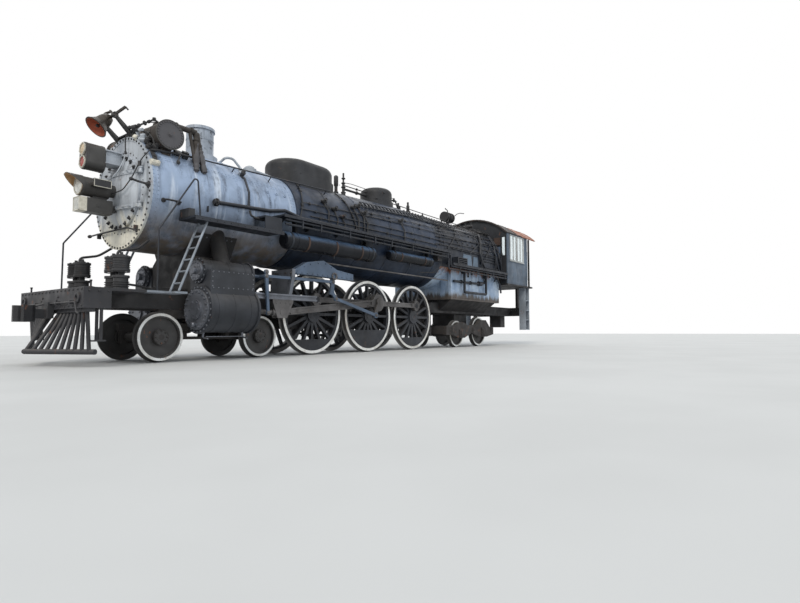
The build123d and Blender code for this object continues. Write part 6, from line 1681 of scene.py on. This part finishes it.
def cab_details():
    frames = []
    for rear, front in ((-8.35, -7.75), (-9.00, -8.42)):
        low, high = 3.36, 4.33
        for s0, s1, h0, h1 in (
            (rear - 0.03, front + 0.03, low - 0.035, low + 0.012),
            (rear - 0.03, front + 0.03, high - 0.012, high + 0.03),
            (rear - 0.03, rear + 0.02, low, high),
            (front - 0.02, front + 0.03, low, high),
            ((rear + front) / 2 - 0.014, (rear + front) / 2 + 0.014, low, high),
        ):
            frames.append(block((s0, s1), (CAB_SIDE - 0.02, CAB_SIDE + 0.014), (h0, h1)))
    frames.append(block((-9.05, -7.70), (CAB_SIDE - 0.01, CAB_SIDE + 0.032), (3.30, 3.325)))
    make_piece("window_frames", both_sides(frames), FRAME_PALE, bevel=0.004)
    panes = []
    for y0, y1, h0, h1 in (
        (1.315, 1.345, 3.48, 4.27), (1.465, 1.495, 3.48, 4.27), (1.315, 1.495, 3.48, 3.515),
        (1.315, 1.495, 4.235, 4.27),
    ):
        panes.append(block((CAB_FRONT, -7.485), (y0, y1), (h0, h1)))
    make_piece("front_window_frames", both_sides(panes), CAB_BLACK, bevel=0.003)
    plate = block((CAB_FRONT, -7.46), (1.08, 1.28), (3.60, 3.86))
    make_piece("cab_front_plates", both_sides([plate]), GEAR_GREY, bevel=0.004)
    blocks = [block((CAB_FRONT, -7.44), (1.02, 1.28), (3.92, 4.22))]
    blocks.append(repeated(
        RIVET, at(-7.44, [1.05, 1.25, 1.05, 1.25], [3.95, 3.95, 4.19, 4.19]), AHEAD
    ))
    make_piece("cab_front_blocks", both_sides(blocks), HANGER_RUST, bevel=0.004)
    cover = []
    for station, lift in ((-7.35, 0.10), (-7.05, 0.09), (-6.75, 0.08)):
        path, outward = around(station, np.linspace(-36, 36, 15), FIREBOX_RADIUS)
        cover += [
            strap(path, outward, AHEAD, 0.22, lift),
            repeated(BOLT, path[::2] + lift * outward[::2], outward[::2]),
        ]
    for y in (-0.62, -0.36, 0.30, 0.55, 0.72):
        run = at(
            [-6.3, -6.6, -7.0, -7.45], [y * 0.8, y * 0.9, y, y * 1.05],
            4.53 + np.array([0.02, 0.10, 0.12, 0.10]) - 0.42 * y * y,
        )
        cover += [
            tube(rounded(run, 0.08), 0.016),
            turned([(-0.04, 0.034), (0.04, 0.034)], run[2], AHEAD, 10),
        ]
    make_piece("turret_cover", cover, FITTING_IRON)
    rivets = []
    for height in (2.44, 3.27, 4.365):
        rivets.append(row_of(RIVET, (-9.26, -7.52, 0.09), CAB_SIDE, height))
    for station in (-9.27, -7.53):
        rivets.append(repeated(RIVET, at(station, CAB_SIDE, np.arange(2.5, 4.36, 0.09)), LEFT))
    rivets.append(repeated(RIVET, at(-7.50, 1.545, np.arange(2.8, 4.35, 0.1)), AHEAD))
    angle = np.radians(np.arange(-42, 43, 3.0))
    arch = at(
        -7.50, (ROOF_RADIUS - 0.06) * np.sin(angle), ROOF_MIDDLE + (ROOF_RADIUS - 0.06) * np.cos(angle)
    )
    rivets += [
        repeated(RIVET, arch, AHEAD),
        block((-9.34, -9.28), (CAB_SIDE - 0.02, CAB_SIDE + 0.02), (2.40, 4.38)),
        block((-9.30, -7.50), (CAB_SIDE - 0.005, CAB_SIDE + 0.010), (3.26, 3.29)),
    ]
    make_piece("cab_rivets", both_sides(rivets), CAB_GREY)
    grabs = []
    for y in (1.555, 1.10):
        path = at([-9.33, -9.40, -9.40, -9.33], y, [2.65, 2.65, 3.85, 3.85])
        grabs.append(tube(rounded(path, 0.03), 0.016))
    mirror_arm = at([-7.70, -7.62, -7.62], [CAB_SIDE, 1.59, 1.59], [3.55, 3.55, 3.75])
    grabs.append(tube(rounded(mirror_arm, 0.02), 0.008))
    make_piece("cab_grab_irons", both_sides(grabs), LADDER_GREY)
    ribs = []
    angle = np.radians(np.linspace(-44.3, 44.3, 41))
    outward = np.stack([0 * angle, np.sin(angle), np.cos(angle)], axis=-1)
    arch_y = ROOF_RADIUS * np.sin(angle)
    arch_height = ROOF_MIDDLE + ROOF_RADIUS * np.cos(angle)
    for station in (-7.43, -8.35, -9.27, -10.16):
        ribs += [
            strap(at(station, arch_y, arch_height), outward, AHEAD, 0.05, 0.012),
            repeated(
                RIVET, at(station, arch_y, arch_height)[1::2] + 0.010 * outward[1::2], outward[1::2]
            ),
        ]
    ribs += [
        block((-10.19, -7.41), (1.585, 1.603), (4.395, 4.425)),
        block((-10.19, -7.41), (-1.603, -1.585), (4.395, 4.425)),
        block((-9.0, -8.5), (-0.35, 0.35), (5.03, 5.09)),
        block((-9.03, -8.47), (-0.38, 0.38), (5.085, 5.105)),
    ]
    make_piece("roof_ribs", ribs, ROOF_RUST, bevel=0.003)


def cab_inside():
    """Backhead fittings: gauges, water glasses, throttle, valves and the fire door."""
    face = BACKHEAD_FACE
    back = (-1.0, 0.0, 0.0)
    iron = []
    rims = []
    dials = []
    for y, height, radius in (
        (0.0, 4.22, 0.11), (0.30, 4.18, 0.08), (-0.30, 4.18, 0.08), (0.55, 4.05, 0.07),
        (-0.55, 4.05, 0.07),
    ):
        iron.append(turned(
            [(-0.06, radius * 0.5), (0.0, radius * 0.5), (0.002, radius), (0.05, radius)],
            at(face, y, height), back, 28,
        ))
        rims.append(hoop(radius - 0.012, radius + 0.004, 0.045, 0.06, at(face, y, height), back, 28))
        dials.append(turned(
            [(0.048, radius - 0.01), (0.052, radius - 0.01)], at(face, y, height), back, 28
        ))
    for side in (1, -1):
        iron.append(pipe(face - 0.06, side * 0.42, [3.45, 3.85], 0.016))
        rims.append(pipe(face - 0.06, side * 0.47, [3.48, 3.82], 0.012))
        for height in (3.46, 3.84):
            iron.append(block(
                (face - 0.08, face), (side * 0.445 - 0.05, side * 0.445 + 0.05),
                (height - 0.02, height + 0.02),
            ))
    # Pipes across the top, with handwheels
    iron.append(pipe(face - 0.08, [-0.75, 0.75], 3.98, 0.028, sides=10))
    for y in np.linspace(-0.66, 0.66, 7):
        iron += [
            hoop(0.038, 0.052, 0.0, 0.012, at(face - 0.17, y, 3.98), back, 16),
            pipe([face - 0.06, face - 0.165], y, 3.98, 0.009, sides=6),
            pipe(
                [face - 0.08, face - 0.08, face - 0.02], y, [3.97, 3.72, 3.55 - 0.1 * abs(y)], 0.013,
                0.05,
            ),
        ]
    # Throttle and reverse levers, brake stand
    iron += [
        pipe([face, face - 0.20, face - 0.24], [0.75, 0.72, 0.70], [3.60, 3.58, 3.95], 0.017),
        pipe([face - 0.02, face - 0.30, face - 0.55], [0.9, 0.92, 0.92], [3.25, 3.25, 3.35], 0.018, 0.05),
        block((face - 0.42, face - 0.16), (0.98, 1.16), (2.95, 3.25)),
        hoop(0.05, 0.062, 0.0, 0.014, at(face - 0.29, 1.07, 3.28), UP, 18),
        # Fire door hinge, latch and rivets, and the row of studs round the backhead
        block((face - 0.085, face - 0.055), (-0.33, 0.18), (3.02, 3.07)),
        block((face - 0.085, face - 0.055), (-0.33, 0.18), (2.83, 2.88)),
        pipe(face - 0.075, -0.34, [2.78, 3.12], 0.02),
        pipe([face - 0.07, face - 0.16, face - 0.16], [0.15, 0.18, 0.30], 2.95, 0.012, 0.03),
        circle_of(BIG_RIVET, 18, face, 0, 2.95, 0.32, back),
    ]
    angle = np.radians(np.arange(-90, 91, 7.5))
    iron.append(repeated(BIG_RIVET, at(face, 1.05 * np.sin(angle), 3.27 + 1.05 * np.cos(angle)), back))
    make_piece("backhead_fittings", iron, FITTING_IRON)
    make_piece("gauge_rims", rims, BRASS)
    make_piece("gauge_dials", dials, DIAL_WHITE)


cab_details()
cab_inside()


# Cylinders, valve chests and valve gear: studs, rear heads, cocks, pins and nuts


def cylinder_details():
    iron = [
        circle_of(NUT, 20, 5.605, CYLINDER_Y, DRIVER_RADIUS, 0.355),
        circle_of(BOLT, 24, 5.56, CYLINDER_Y, DRIVER_RADIUS, 0.44),
        circle_of(BOLT, 12, 5.59, VALVE_Y, VALVE_HEIGHT, 0.165),
        circle_of(BOLT, 14, 5.53, VALVE_Y, VALVE_HEIGHT, 0.235),
        repeated(BOLT, ring_of(24, 4.40, CYLINDER_Y, DRIVER_RADIUS, 0.44), (-1, 0, 0)),
        repeated(BOLT, ring_of(14, 4.35, VALVE_Y, VALVE_HEIGHT, 0.235), (-1, 0, 0)),
        circle_of(BOLT, 6, 5.635, CYLINDER_Y, DRIVER_RADIUS, 0.15),
        hoop(0.058, 0.27, -0.03, 0.004, at(4.40, CYLINDER_Y, DRIVER_RADIUS), AHEAD, 40),
        hoop(0.058, 0.13, -0.12, -0.02, at(4.40, CYLINDER_Y, DRIVER_RADIUS), AHEAD, 32),
        hoop(0.058, 0.16, -0.15, -0.12, at(4.40, CYLINDER_Y, DRIVER_RADIUS), AHEAD, 32),
        hoop(0.037, 0.19, -0.03, 0.004, at(4.35, VALVE_Y, VALVE_HEIGHT), AHEAD, 32),
        hoop(0.037, 0.09, -0.11, -0.02, at(4.35, VALVE_Y, VALVE_HEIGHT), AHEAD, 24),
        circle_of(NUT, 4, 4.25, CYLINDER_Y, DRIVER_RADIUS, 0.135, (-1, 0, 0), 45),
    ]
    for station in (4.52, 5.44):
        iron += [
            turned(
                [(-0.02, 0.035), (0.03, 0.035), (0.032, 0.022), (0.09, 0.022)],
                at(station, CYLINDER_Y, 0.54), (0, 0, -1), 10,
            ),
            pipe(station, [CYLINDER_Y, CYLINDER_Y, 1.30], [0.50, 0.44, 0.42], 0.014, 0.03),
        ]
    iron.append(pipe([4.52, 5.44], 1.22, 0.46, 0.01))
    # The jacket panel's edge screws on the outer face between valve chest and cylinder
    for height in (1.42, 1.74):
        iron.append(row_of(RIVET, (4.52, 5.46, 0.115), 1.46, height))
    for station in (4.50, 5.46):
        iron.append(repeated(RIVET, at(station, 1.46, np.arange(1.45, 1.74, 0.09)), LEFT))
    iron += [
        # Relief valve on the front head
        turned(
            [(0.0, 0.04), (0.05, 0.04), (0.052, 0.055), (0.08, 0.055), (0.10, 0.03)],
            at(5.60, CYLINDER_Y, 0.70), AHEAD, 12,
        ),
        # Saddle flange nuts
        row_of(NUT, (4.60, 5.45, 0.12), 0.765, 1.98),
        row_of(BIG_RIVET, (4.60, 5.45, 0.12), 0.83, 2.50, (0, 0.7, -0.7)),
    ]
    make_piece("cylinder_studs", both_sides(iron), GUIDE_STEEL)
    bands = []
    for station in (4.60, 4.98, 5.36):
        bands.append(hoop(0.448, 0.456, -0.02, 0.02, at(station, CYLINDER_Y, DRIVER_RADIUS), AHEAD, 64))
    for station in (4.55, 4.94, 5.33):
        bands.append(hoop(0.228, 0.236, -0.018, 0.018, at(station, VALVE_Y, VALVE_HEIGHT), AHEAD, 48))
    make_piece("cylinder_bands", both_sides(bands), CYLINDER_BLACK)


def gear_details():
    nuts = []
    grey = []
    for side in (1, -1):
        out = (0, side, 0)
        pins = [(1.82, 1.37), (1.93, 1.79), (4.01, 1.77), (4.01, 1.86), (3.95, 0.96), RETURN_PINS[side]]
        places = np.array([at(station, side * GEAR_FACE, height) for station, height in pins])
        nuts += [
            repeated(PIN_NUT, places, out),
            repeated(OIL_CUP, places[:3] + (0, -side * 0.02, 0.05), UP),
            hoop(0.0561, 0.095, 0.0, 0.02, at(LINK_STATION, side * BRACKET_FACE, 1.92), out, 28),
            circle_of(BOLT, 8, LINK_STATION, side * (BRACKET_FACE + 0.02), 1.92, 0.076, out),
        ]
        # Bracket plate: edge bolts along its foot and at the yoke
        grey += [
            row_of(BOLT, (1.32, 3.2, 0.17), side * BRACKET_FACE, 1.92, out),
            repeated(BOLT, at(3.165, side * BRACKET_FACE, [1.86, 1.96]), out),
        ]
        rise = np.array([
            (1.45, 2.03), (1.70, 2.06), (2.05, 2.14), (2.25, 2.21), (2.50, 2.20), (2.75, 2.15),
            (2.95, 2.08),
        ])
        grey.append(repeated(BOLT, at(rise[:, 0], side * BRACKET_FACE, rise[:, 1]), out))
        # Link: its slot's guide strips
        angle = np.linspace(-0.19, 0.19, 12)
        for reach in (1.365, 1.435):
            path = at(
                LINK_STATION + 1.40 - reach * np.cos(angle), side * GEAR_FACE, 1.79 + reach * np.sin(angle)
            )
            grey.append(strap(path, np.array(out, float), np.array(AHEAD), 0.02, 0.006))
        # Reverse shaft arm and reach rod back along the boiler's foot
        if side == 1:
            nuts.append(pipe(
                [2.5, 0.8, -1.5, -3.6], [1.20, 1.22, 1.24, 1.22], [2.25, 2.24, 2.24, 2.24], 0.022, 0.2
            ))
        # Guide bar bolts and yoke bolts
        nuts += [
            repeated(BOLT, at([2.50, 2.62, 4.25, 4.33], side * CYLINDER_Y, 1.4055), UP),
            repeated(NUT, at(3.23, side * np.array([0.70, 0.82]), 1.90), (-1, 0, 0)),
            repeated(NUT, at(3.32, side * np.array([0.70, 0.82, 1.12, 1.30]), 1.90), AHEAD),
        ]
    make_piece("gear_pins", nuts, ROD_STEEL)
    make_piece("gear_bracket_bolts", grey, GEAR_GREY)


cylinder_details()
gear_details()


# Rods, crossheads and wheels: what rides on each moving body


def rod_details():
    for side, name in ((1, "left"), (-1, "right")):
        out = (0, side, 0)
        ahead, rise = CRANK_SHIFT[side]
        height = DRIVER_RADIUS + rise
        rods = []
        for axle, eye, bore in (("front", 0.165, 0.076), ("main", 0.215, 0.111), ("rear", 0.165, 0.076)):
            pin = DRIVER_STATIONS[axle] + ahead
            middle = at(pin, side * SIDE_ROD_FACE, height)
            rods += [
                hoop(bore, bore + 0.028, -0.004, 0.001 if axle == "main" else 0.006, middle, out, 40),
                repeated(OIL_CUP, at(pin, side * 0.91, height + eye - 0.006), UP),
            ]
            if axle != "main":
                rods.append(circle_of(BOLT, 4, pin, side * SIDE_ROD_FACE, height, eye - 0.03, out, 45))
        # Wedge bolts by the middle eye
        for shift in (-0.30, 0.30):
            rods.append(block(
                (ahead + shift - 0.035, ahead + shift + 0.035),
                (side * SIDE_ROD_FACE - 0.004, side * SIDE_ROD_FACE + 0.001),
                (height - 0.06, height + 0.06),
            ))
        make_piece(
            f"side_rod_bushes_{name}", rods, ROD_STEEL, f"side_rods_{name}", bevel=0.002
        )
        big = (ahead, height)
        wrist = (WRIST_STATIONS[side], DRIVER_RADIUS)
        slope = unit(np.array([wrist[0] - big[0], 0.0, wrist[1] - big[1]]))
        normal = np.array([-slope[2], 0.0, slope[0]])
        centre = at(big[0], side * MAIN_ROD_FACE, big[1])
        wedge_bolts = ((0.19, 0.115), (0.19, -0.115), (-0.14, 0.16), (-0.14, -0.16))
        corners = [centre + a * slope + b * normal for a, b in wedge_bolts]
        main = [
            repeated(slab((-0.018, -0.018, -0.004), (0.018, 0.018, 0.008)), corners, out),
            repeated(OIL_CUP, at(big[0], side * CYLINDER_Y, big[1] + 0.232), UP),
            hoop(0.061, 0.095, -0.004, 0.006, at(wrist[0], side * MAIN_ROD_FACE, wrist[1]), out, 32),
        ]
        strap_bolts = [centre + a * slope + b * normal for a in (0.36, 0.42, 0.48) for b in (0.055, -0.055)]
        main.append(repeated(BOLT, strap_bolts, out))
        tail = at(wrist[0], side * MAIN_ROD_FACE, wrist[1]) - 0.26 * slope
        main += [
            repeated(BOLT, np.array([tail + 0.045 * normal, tail - 0.045 * normal]), out),
            # Return crank: clamp bolts on its face
            circle_of(RIVET, 6, big[0], side * 1.236, big[1], 0.095, out),
        ]
        make_piece(f"main_rod_fittings_{name}", main, ROD_STEEL, f"main_rod_{name}")
        head = []
        pin, pin_height = wrist
        for face in (side * 1.227, side * 1.033):
            outward = (0, math.copysign(1, face - side * CYLINDER_Y), 0)
            head.append(turned(
                [(-0.004, 0.085), (0.007, 0.085), (0.010, 0.06)], at(pin, face, pin_height), outward, 24
            ))
        studs = np.array([(-0.20, 0.20), (-0.08, 0.21), (0.08, 0.21), (0.20, 0.20)])
        head += [
            repeated(RIVET, at(pin + studs[:, 0], side * 1.227, pin_height + studs[:, 1]), out),
            hoop(0.056, 0.085, 0.0, 0.09, at(pin + 0.176, side * CYLINDER_Y, pin_height), AHEAD, 24),
            block(
                (pin + 0.21, pin + 0.235), (side * CYLINDER_Y - 0.095, side * CYLINDER_Y + 0.095),
                (pin_height - 0.014, pin_height + 0.014),
            ),
        ]
        make_piece(f"crosshead_fittings_{name}", head, ROD_STEEL, f"crosshead_{name}")


def wheel_details():
    for axle, station in DRIVER_STATIONS.items():
        parts = []
        for side in (1, -1):
            out = (0, side, 0)
            ahead, rise = CRANK_SHIFT[side]
            parts += [
                turned(
                    [(-0.004, 0.115), (0.006, 0.112), (0.008, 0.06), (0.002, 0.05), (0.002, 0.02)],
                    at(station, side * 0.85, DRIVER_RADIUS), out, 32,
                ),
                circle_of(
                    slab((-0.03, -0.012, -0.004), (0.03, 0.012, 0.007)), 4, station, side * 0.85,
                    DRIVER_RADIUS, 0.135, out, 45,
                ),
            ]
            if axle != "main":
                middle = at(station + ahead, side * SIDE_ROD_FACE, DRIVER_RADIUS + rise)
                parts += [
                    turned(
                        [(-0.004, 0.072), (0.016, 0.070), (0.02, 0.045), (0.034, 0.042)], middle, out, 24
                    ),
                    circle_of(RIVET, 5, station + ahead, side * 0.976, DRIVER_RADIUS + rise, 0.057, out),
                ]
            # Rivets round the wheel centre's rim
            clips = ring_of(10, station, side * 0.80, DRIVER_RADIUS, 0.893, out)
            parts.append(repeated(RIVET, clips, out))
        make_piece(f"{axle}_wheel_hubs", parts, WHEEL_BLACK, f"driver_{axle}")
    for truck, axle, station, radius in TRUCK_WHEELS:
        parts = []
        for side in (1, -1):
            out = (0, side, 0)
            parts += [
                hoop(0.135, 0.150, -0.004, 0.006, at(station, side * 0.833, radius), out, 32),
                circle_of(BOLT, 8, station, side * 0.833, radius, 0.118, out),
                hoop(
                    radius - 0.062, radius - 0.057, -0.003, 0.003, at(station, side * 0.818, radius), out,
                    64,
                ),
            ]
            if truck == "leading":
                middle = at(station, side * 0.838, radius)
                parts.append(turned([(-0.004, 0.06), (0.004, 0.058), (0.006, 0.02)], middle, out, 20))
        name = f"{truck}_wheel_hubs_{axle}"
        make_piece(name, parts, TRUCK_BLACK, f"{truck}_axle_{axle}")


rod_details()
wheel_details()


# Frame bolts, front beam and deck, pump fins and truck springs


def frame_details():
    bolts = []
    for station in np.arange(-2.9, 2.8, 0.24):
        if min(abs(station - s) for s in DRIVER_STATIONS.values()) > 0.3:
            bolts.append(repeated(BOLT, at(station, 0.61, [0.70, 1.30]), LEFT))
    # Spring bands over the leaf packs
    for station in DRIVER_STATIONS.values():
        bolts.append(block((station - 0.05, station + 0.05), (0.47, 0.62), (1.47, 1.63)))
    bolts.append(row_of(BIG_RIVET, (-9.6, -7.8, 0.2), 1.0, 1.40))
    make_piece("frame_bolts", both_sides(bolts), FRAME_BLACK)


def pilot_details():
    iron = []
    for height in (0.99, 1.26):
        iron.append(repeated(BIG_RIVET, at(BEAM_FACE, np.arange(-1.28, 1.29, 0.16), height), AHEAD))
    iron.append(repeated(BOLT, at(BEAM_FACE, [-0.36, -0.30, 0.30, 0.36], [1.10, 1.16, 1.10, 1.16]), AHEAD))
    for side in (1, -1):
        iron += [
            hoop(0.05, 0.09, -0.004, 0.03, at(BEAM_FACE, side * 1.15, 1.12), AHEAD, 28),
            hoop(0.03, 0.055, -0.004, 0.016, at(BEAM_FACE, side * 1.15, 1.12), AHEAD, 24),
            repeated(BOLT, at([7.35, 7.50, 7.65], side * 1.35, 1.24), (0, side, 0)),
            # Flag holders on the beam's corners
            turned(
                [(0.0, 0.03), (0.012, 0.03), (0.014, 0.016), (0.09, 0.016), (0.1, 0.022), (0.12, 0.022)],
                at(7.60, side * 1.27, DECK_TOP), UP, 12,
            ),
        ]
        # Steps below the beam's ends
        for y in (side * 1.16, side * 1.32):
            iron.append(block((7.42, 7.47), (y - 0.012, y + 0.012), (0.42, 0.96)))
        iron.append(block(
            (7.36, 7.56), (min(side * 1.15, side * 1.33), max(side * 1.15, side * 1.33)), (0.40, 0.425)
        ))
    # Uncoupling lever across the beam, with its brackets and handles
    lever = at(
        7.80, [-1.33, -1.25, -1.18, 1.18, 1.25, 1.33],
        [0.86, 0.88, 1.05, 1.05, 0.88, 0.86],
    )
    iron.append(tube(rounded(lever, 0.03), 0.014))
    for y in (-1.0, -0.45, 0.45, 1.0):
        iron.append(block((7.735, 7.815), (y - 0.012, y + 0.012), (1.02, 1.08)))
    iron.append(pipe([7.80, 8.02], [0.0, 0.0], [1.05, 0.99], 0.012))
    # Deck: raised tread bars and rivets
    for station in np.arange(6.74, 7.70, 0.09):
        if station < 6.80 or station > 7.12:
            iron.append(block(
                (station - 0.008, station + 0.008), (-1.30, 1.30), (DECK_TOP - 0.002, DECK_TOP + 0.006)
            ))
    # Bolts where the pilot's bars meet the beam's foot
    iron.append(repeated(BOLT, at(7.70, np.arange(-1.2, 1.21, 0.2), 0.955), AHEAD))
    make_piece("pilot_fittings", iron, PILOT_BLACK, bevel=0.003)


def pump_details():
    iron = []
    for side in (1, -1):
        for y in (0.64, 0.93):
            for low in (1.62, 1.66, 1.70, 1.74, 1.78, 1.82):
                iron.append(hoop(
                    0.118, 0.146, low, low + 0.012, at(PUMP_STATION, side * y, 0), UP, 28
                ))
            for low in (1.36, 1.40, 1.44):
                iron.append(hoop(
                    0.118, 0.140, low, low + 0.012, at(PUMP_STATION, side * y, 0), UP, 28
                ))
            iron += [
                circle_of(BOLT, 8, PUMP_STATION, side * y, 1.91, 0.10, UP),
                turned(
                    [(-0.01, 0.05), (0.03, 0.05), (0.035, 0.028), (0.07, 0.028)],
                    at(PUMP_STATION, side * y, 1.91), UP, 12,
                ),
            ]
        steam = at(
            [PUMP_STATION, PUMP_STATION, 6.60, 6.35], [side * 0.78, side * 0.78, side * 0.80, side * 0.70],
            [1.55, 2.02, 2.10, 2.30],
        )
        iron.append(tube(rounded(steam, 0.08), 0.024, 10))
        air = at([6.84, 6.50, 6.20], [side * 0.64, side * 0.66, side * 0.66], [1.45, 1.42, 1.36])
        iron.append(tube(rounded(air, 0.08), 0.022, 10))
    make_piece("pump_fins", iron, FITTING_IRON)


def truck_details():
    parts = []
    for station in TRAILING_STATIONS:
        for side in (1, -1):
            parts.append(repeated(
                BOLT, at(station + np.array([-0.11, 0.11]), side * 1.085, 0.36), (0, side, 0)
            ))
    low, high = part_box("trailing_truck_frame")
    for side in (1, -1):
        y = high[1] if side == 1 else low[1]
        for station in (-5.66, -4.2, -7.1):
            place = np.array([X_MAIN + station, y - side * 0.045, 0.0])
            turns = np.linspace(0, 5 * 2 * np.pi, 70)
            reach = 0.055
            helix = np.stack(
                [
                    place[0] + reach * np.cos(turns), place[1] - side * 0.03 + reach * np.sin(turns),
                    FLANGE + 0.50 + 0.20 * turns / turns[-1],
                ],
                axis=-1,
            )
            parts.append(tube(helix, 0.011, 6))
    make_piece("trailing_truck_springs", parts, TRUCK_BLACK, "trailing_truck")


frame_details()
pilot_details()
pump_details()
truck_details()


# Floor, light and surroundings


def make_floor():
    """A wide pale floor: one square, 160 m a side, at the foot of the wheels."""
    half = 80.0
    mesh = bpy.data.meshes.new("floor")
    mesh.from_pydata(
        [(-half, -half, 0), (half, -half, 0), (half, half, 0), (-half, half, 0)], [], [(0, 1, 2, 3)]
    )
    floor = add_object("floor", mesh)
    made = Finish("pale_floor")
    tint = made.mix(made.band(made.noise(0.5, 3.0), 0.3, 0.7), (0.60, 0.60, 0.59), (0.64, 0.64, 0.63))
    made.surface(Base_Color=tint, Roughness=0.85)
    mesh.materials.append(made.material)


def make_world():
    """Soft grey light all round; the camera, clear glass and reflections see white."""
    world = bpy.data.worlds.new("studio")
    world.use_nodes = True
    tree = world.node_tree
    tree.nodes.clear()
    path = tree.nodes.new("ShaderNodeLightPath")
    seen = path.outputs["Is Camera Ray"]
    for ray in ("Is Transmission Ray", "Is Glossy Ray"):
        either = tree.nodes.new("ShaderNodeMath")
        either.operation = "MAXIMUM"
        tree.links.new(seen, either.inputs[0])
        tree.links.new(path.outputs[ray], either.inputs[1])
        seen = either.outputs[0]
    mixed = tree.nodes.new("ShaderNodeMixShader")
    tree.links.new(seen, mixed.inputs[0])
    for place, colour, strength in ((1, (0.86, 0.93, 1.0), 0.55), (2, (1.0, 1.0, 1.0), 1.0)):
        light = tree.nodes.new("ShaderNodeBackground")
        light.inputs["Color"].default_value = (*colour, 1.0)
        light.inputs["Strength"].default_value = strength
        tree.links.new(light.outputs[0], mixed.inputs[place])
    out = tree.nodes.new("ShaderNodeOutputWorld")
    tree.links.new(mixed.outputs[0], out.inputs["Surface"])
    bpy.context.scene.world = world


def make_sun(name, heading, height, strength, softness, colour):
    """A distant soft lamp, from a compass heading and a height above the horizon, in degrees."""
    data = bpy.data.lights.new(name, "SUN")
    data.energy = strength
    data.angle = math.radians(softness)
    data.color = colour
    lamp = add_object(name, data)
    a = math.radians(heading)
    e = math.radians(height)
    toward = Vector((math.cos(a) * math.cos(e), math.sin(a) * math.cos(e), math.sin(e)))
    lamp.rotation_mode = "QUATERNION"
    lamp.rotation_quaternion = toward.to_track_quat("Z", "Y")


make_floor()
make_world()
# Heading 0 is ahead of the engine and 90 to its left
make_sun("key", 20, 38, 1.7, 25, (1.0, 0.95, 0.87))
make_sun("fill", 95, 30, 0.75, 60, (0.88, 0.94, 1.0))
make_sun("back", 215, 45, 0.6, 60, (0.95, 0.97, 1.0))

bpy.context.scene.view_settings.view_transform = "Standard"
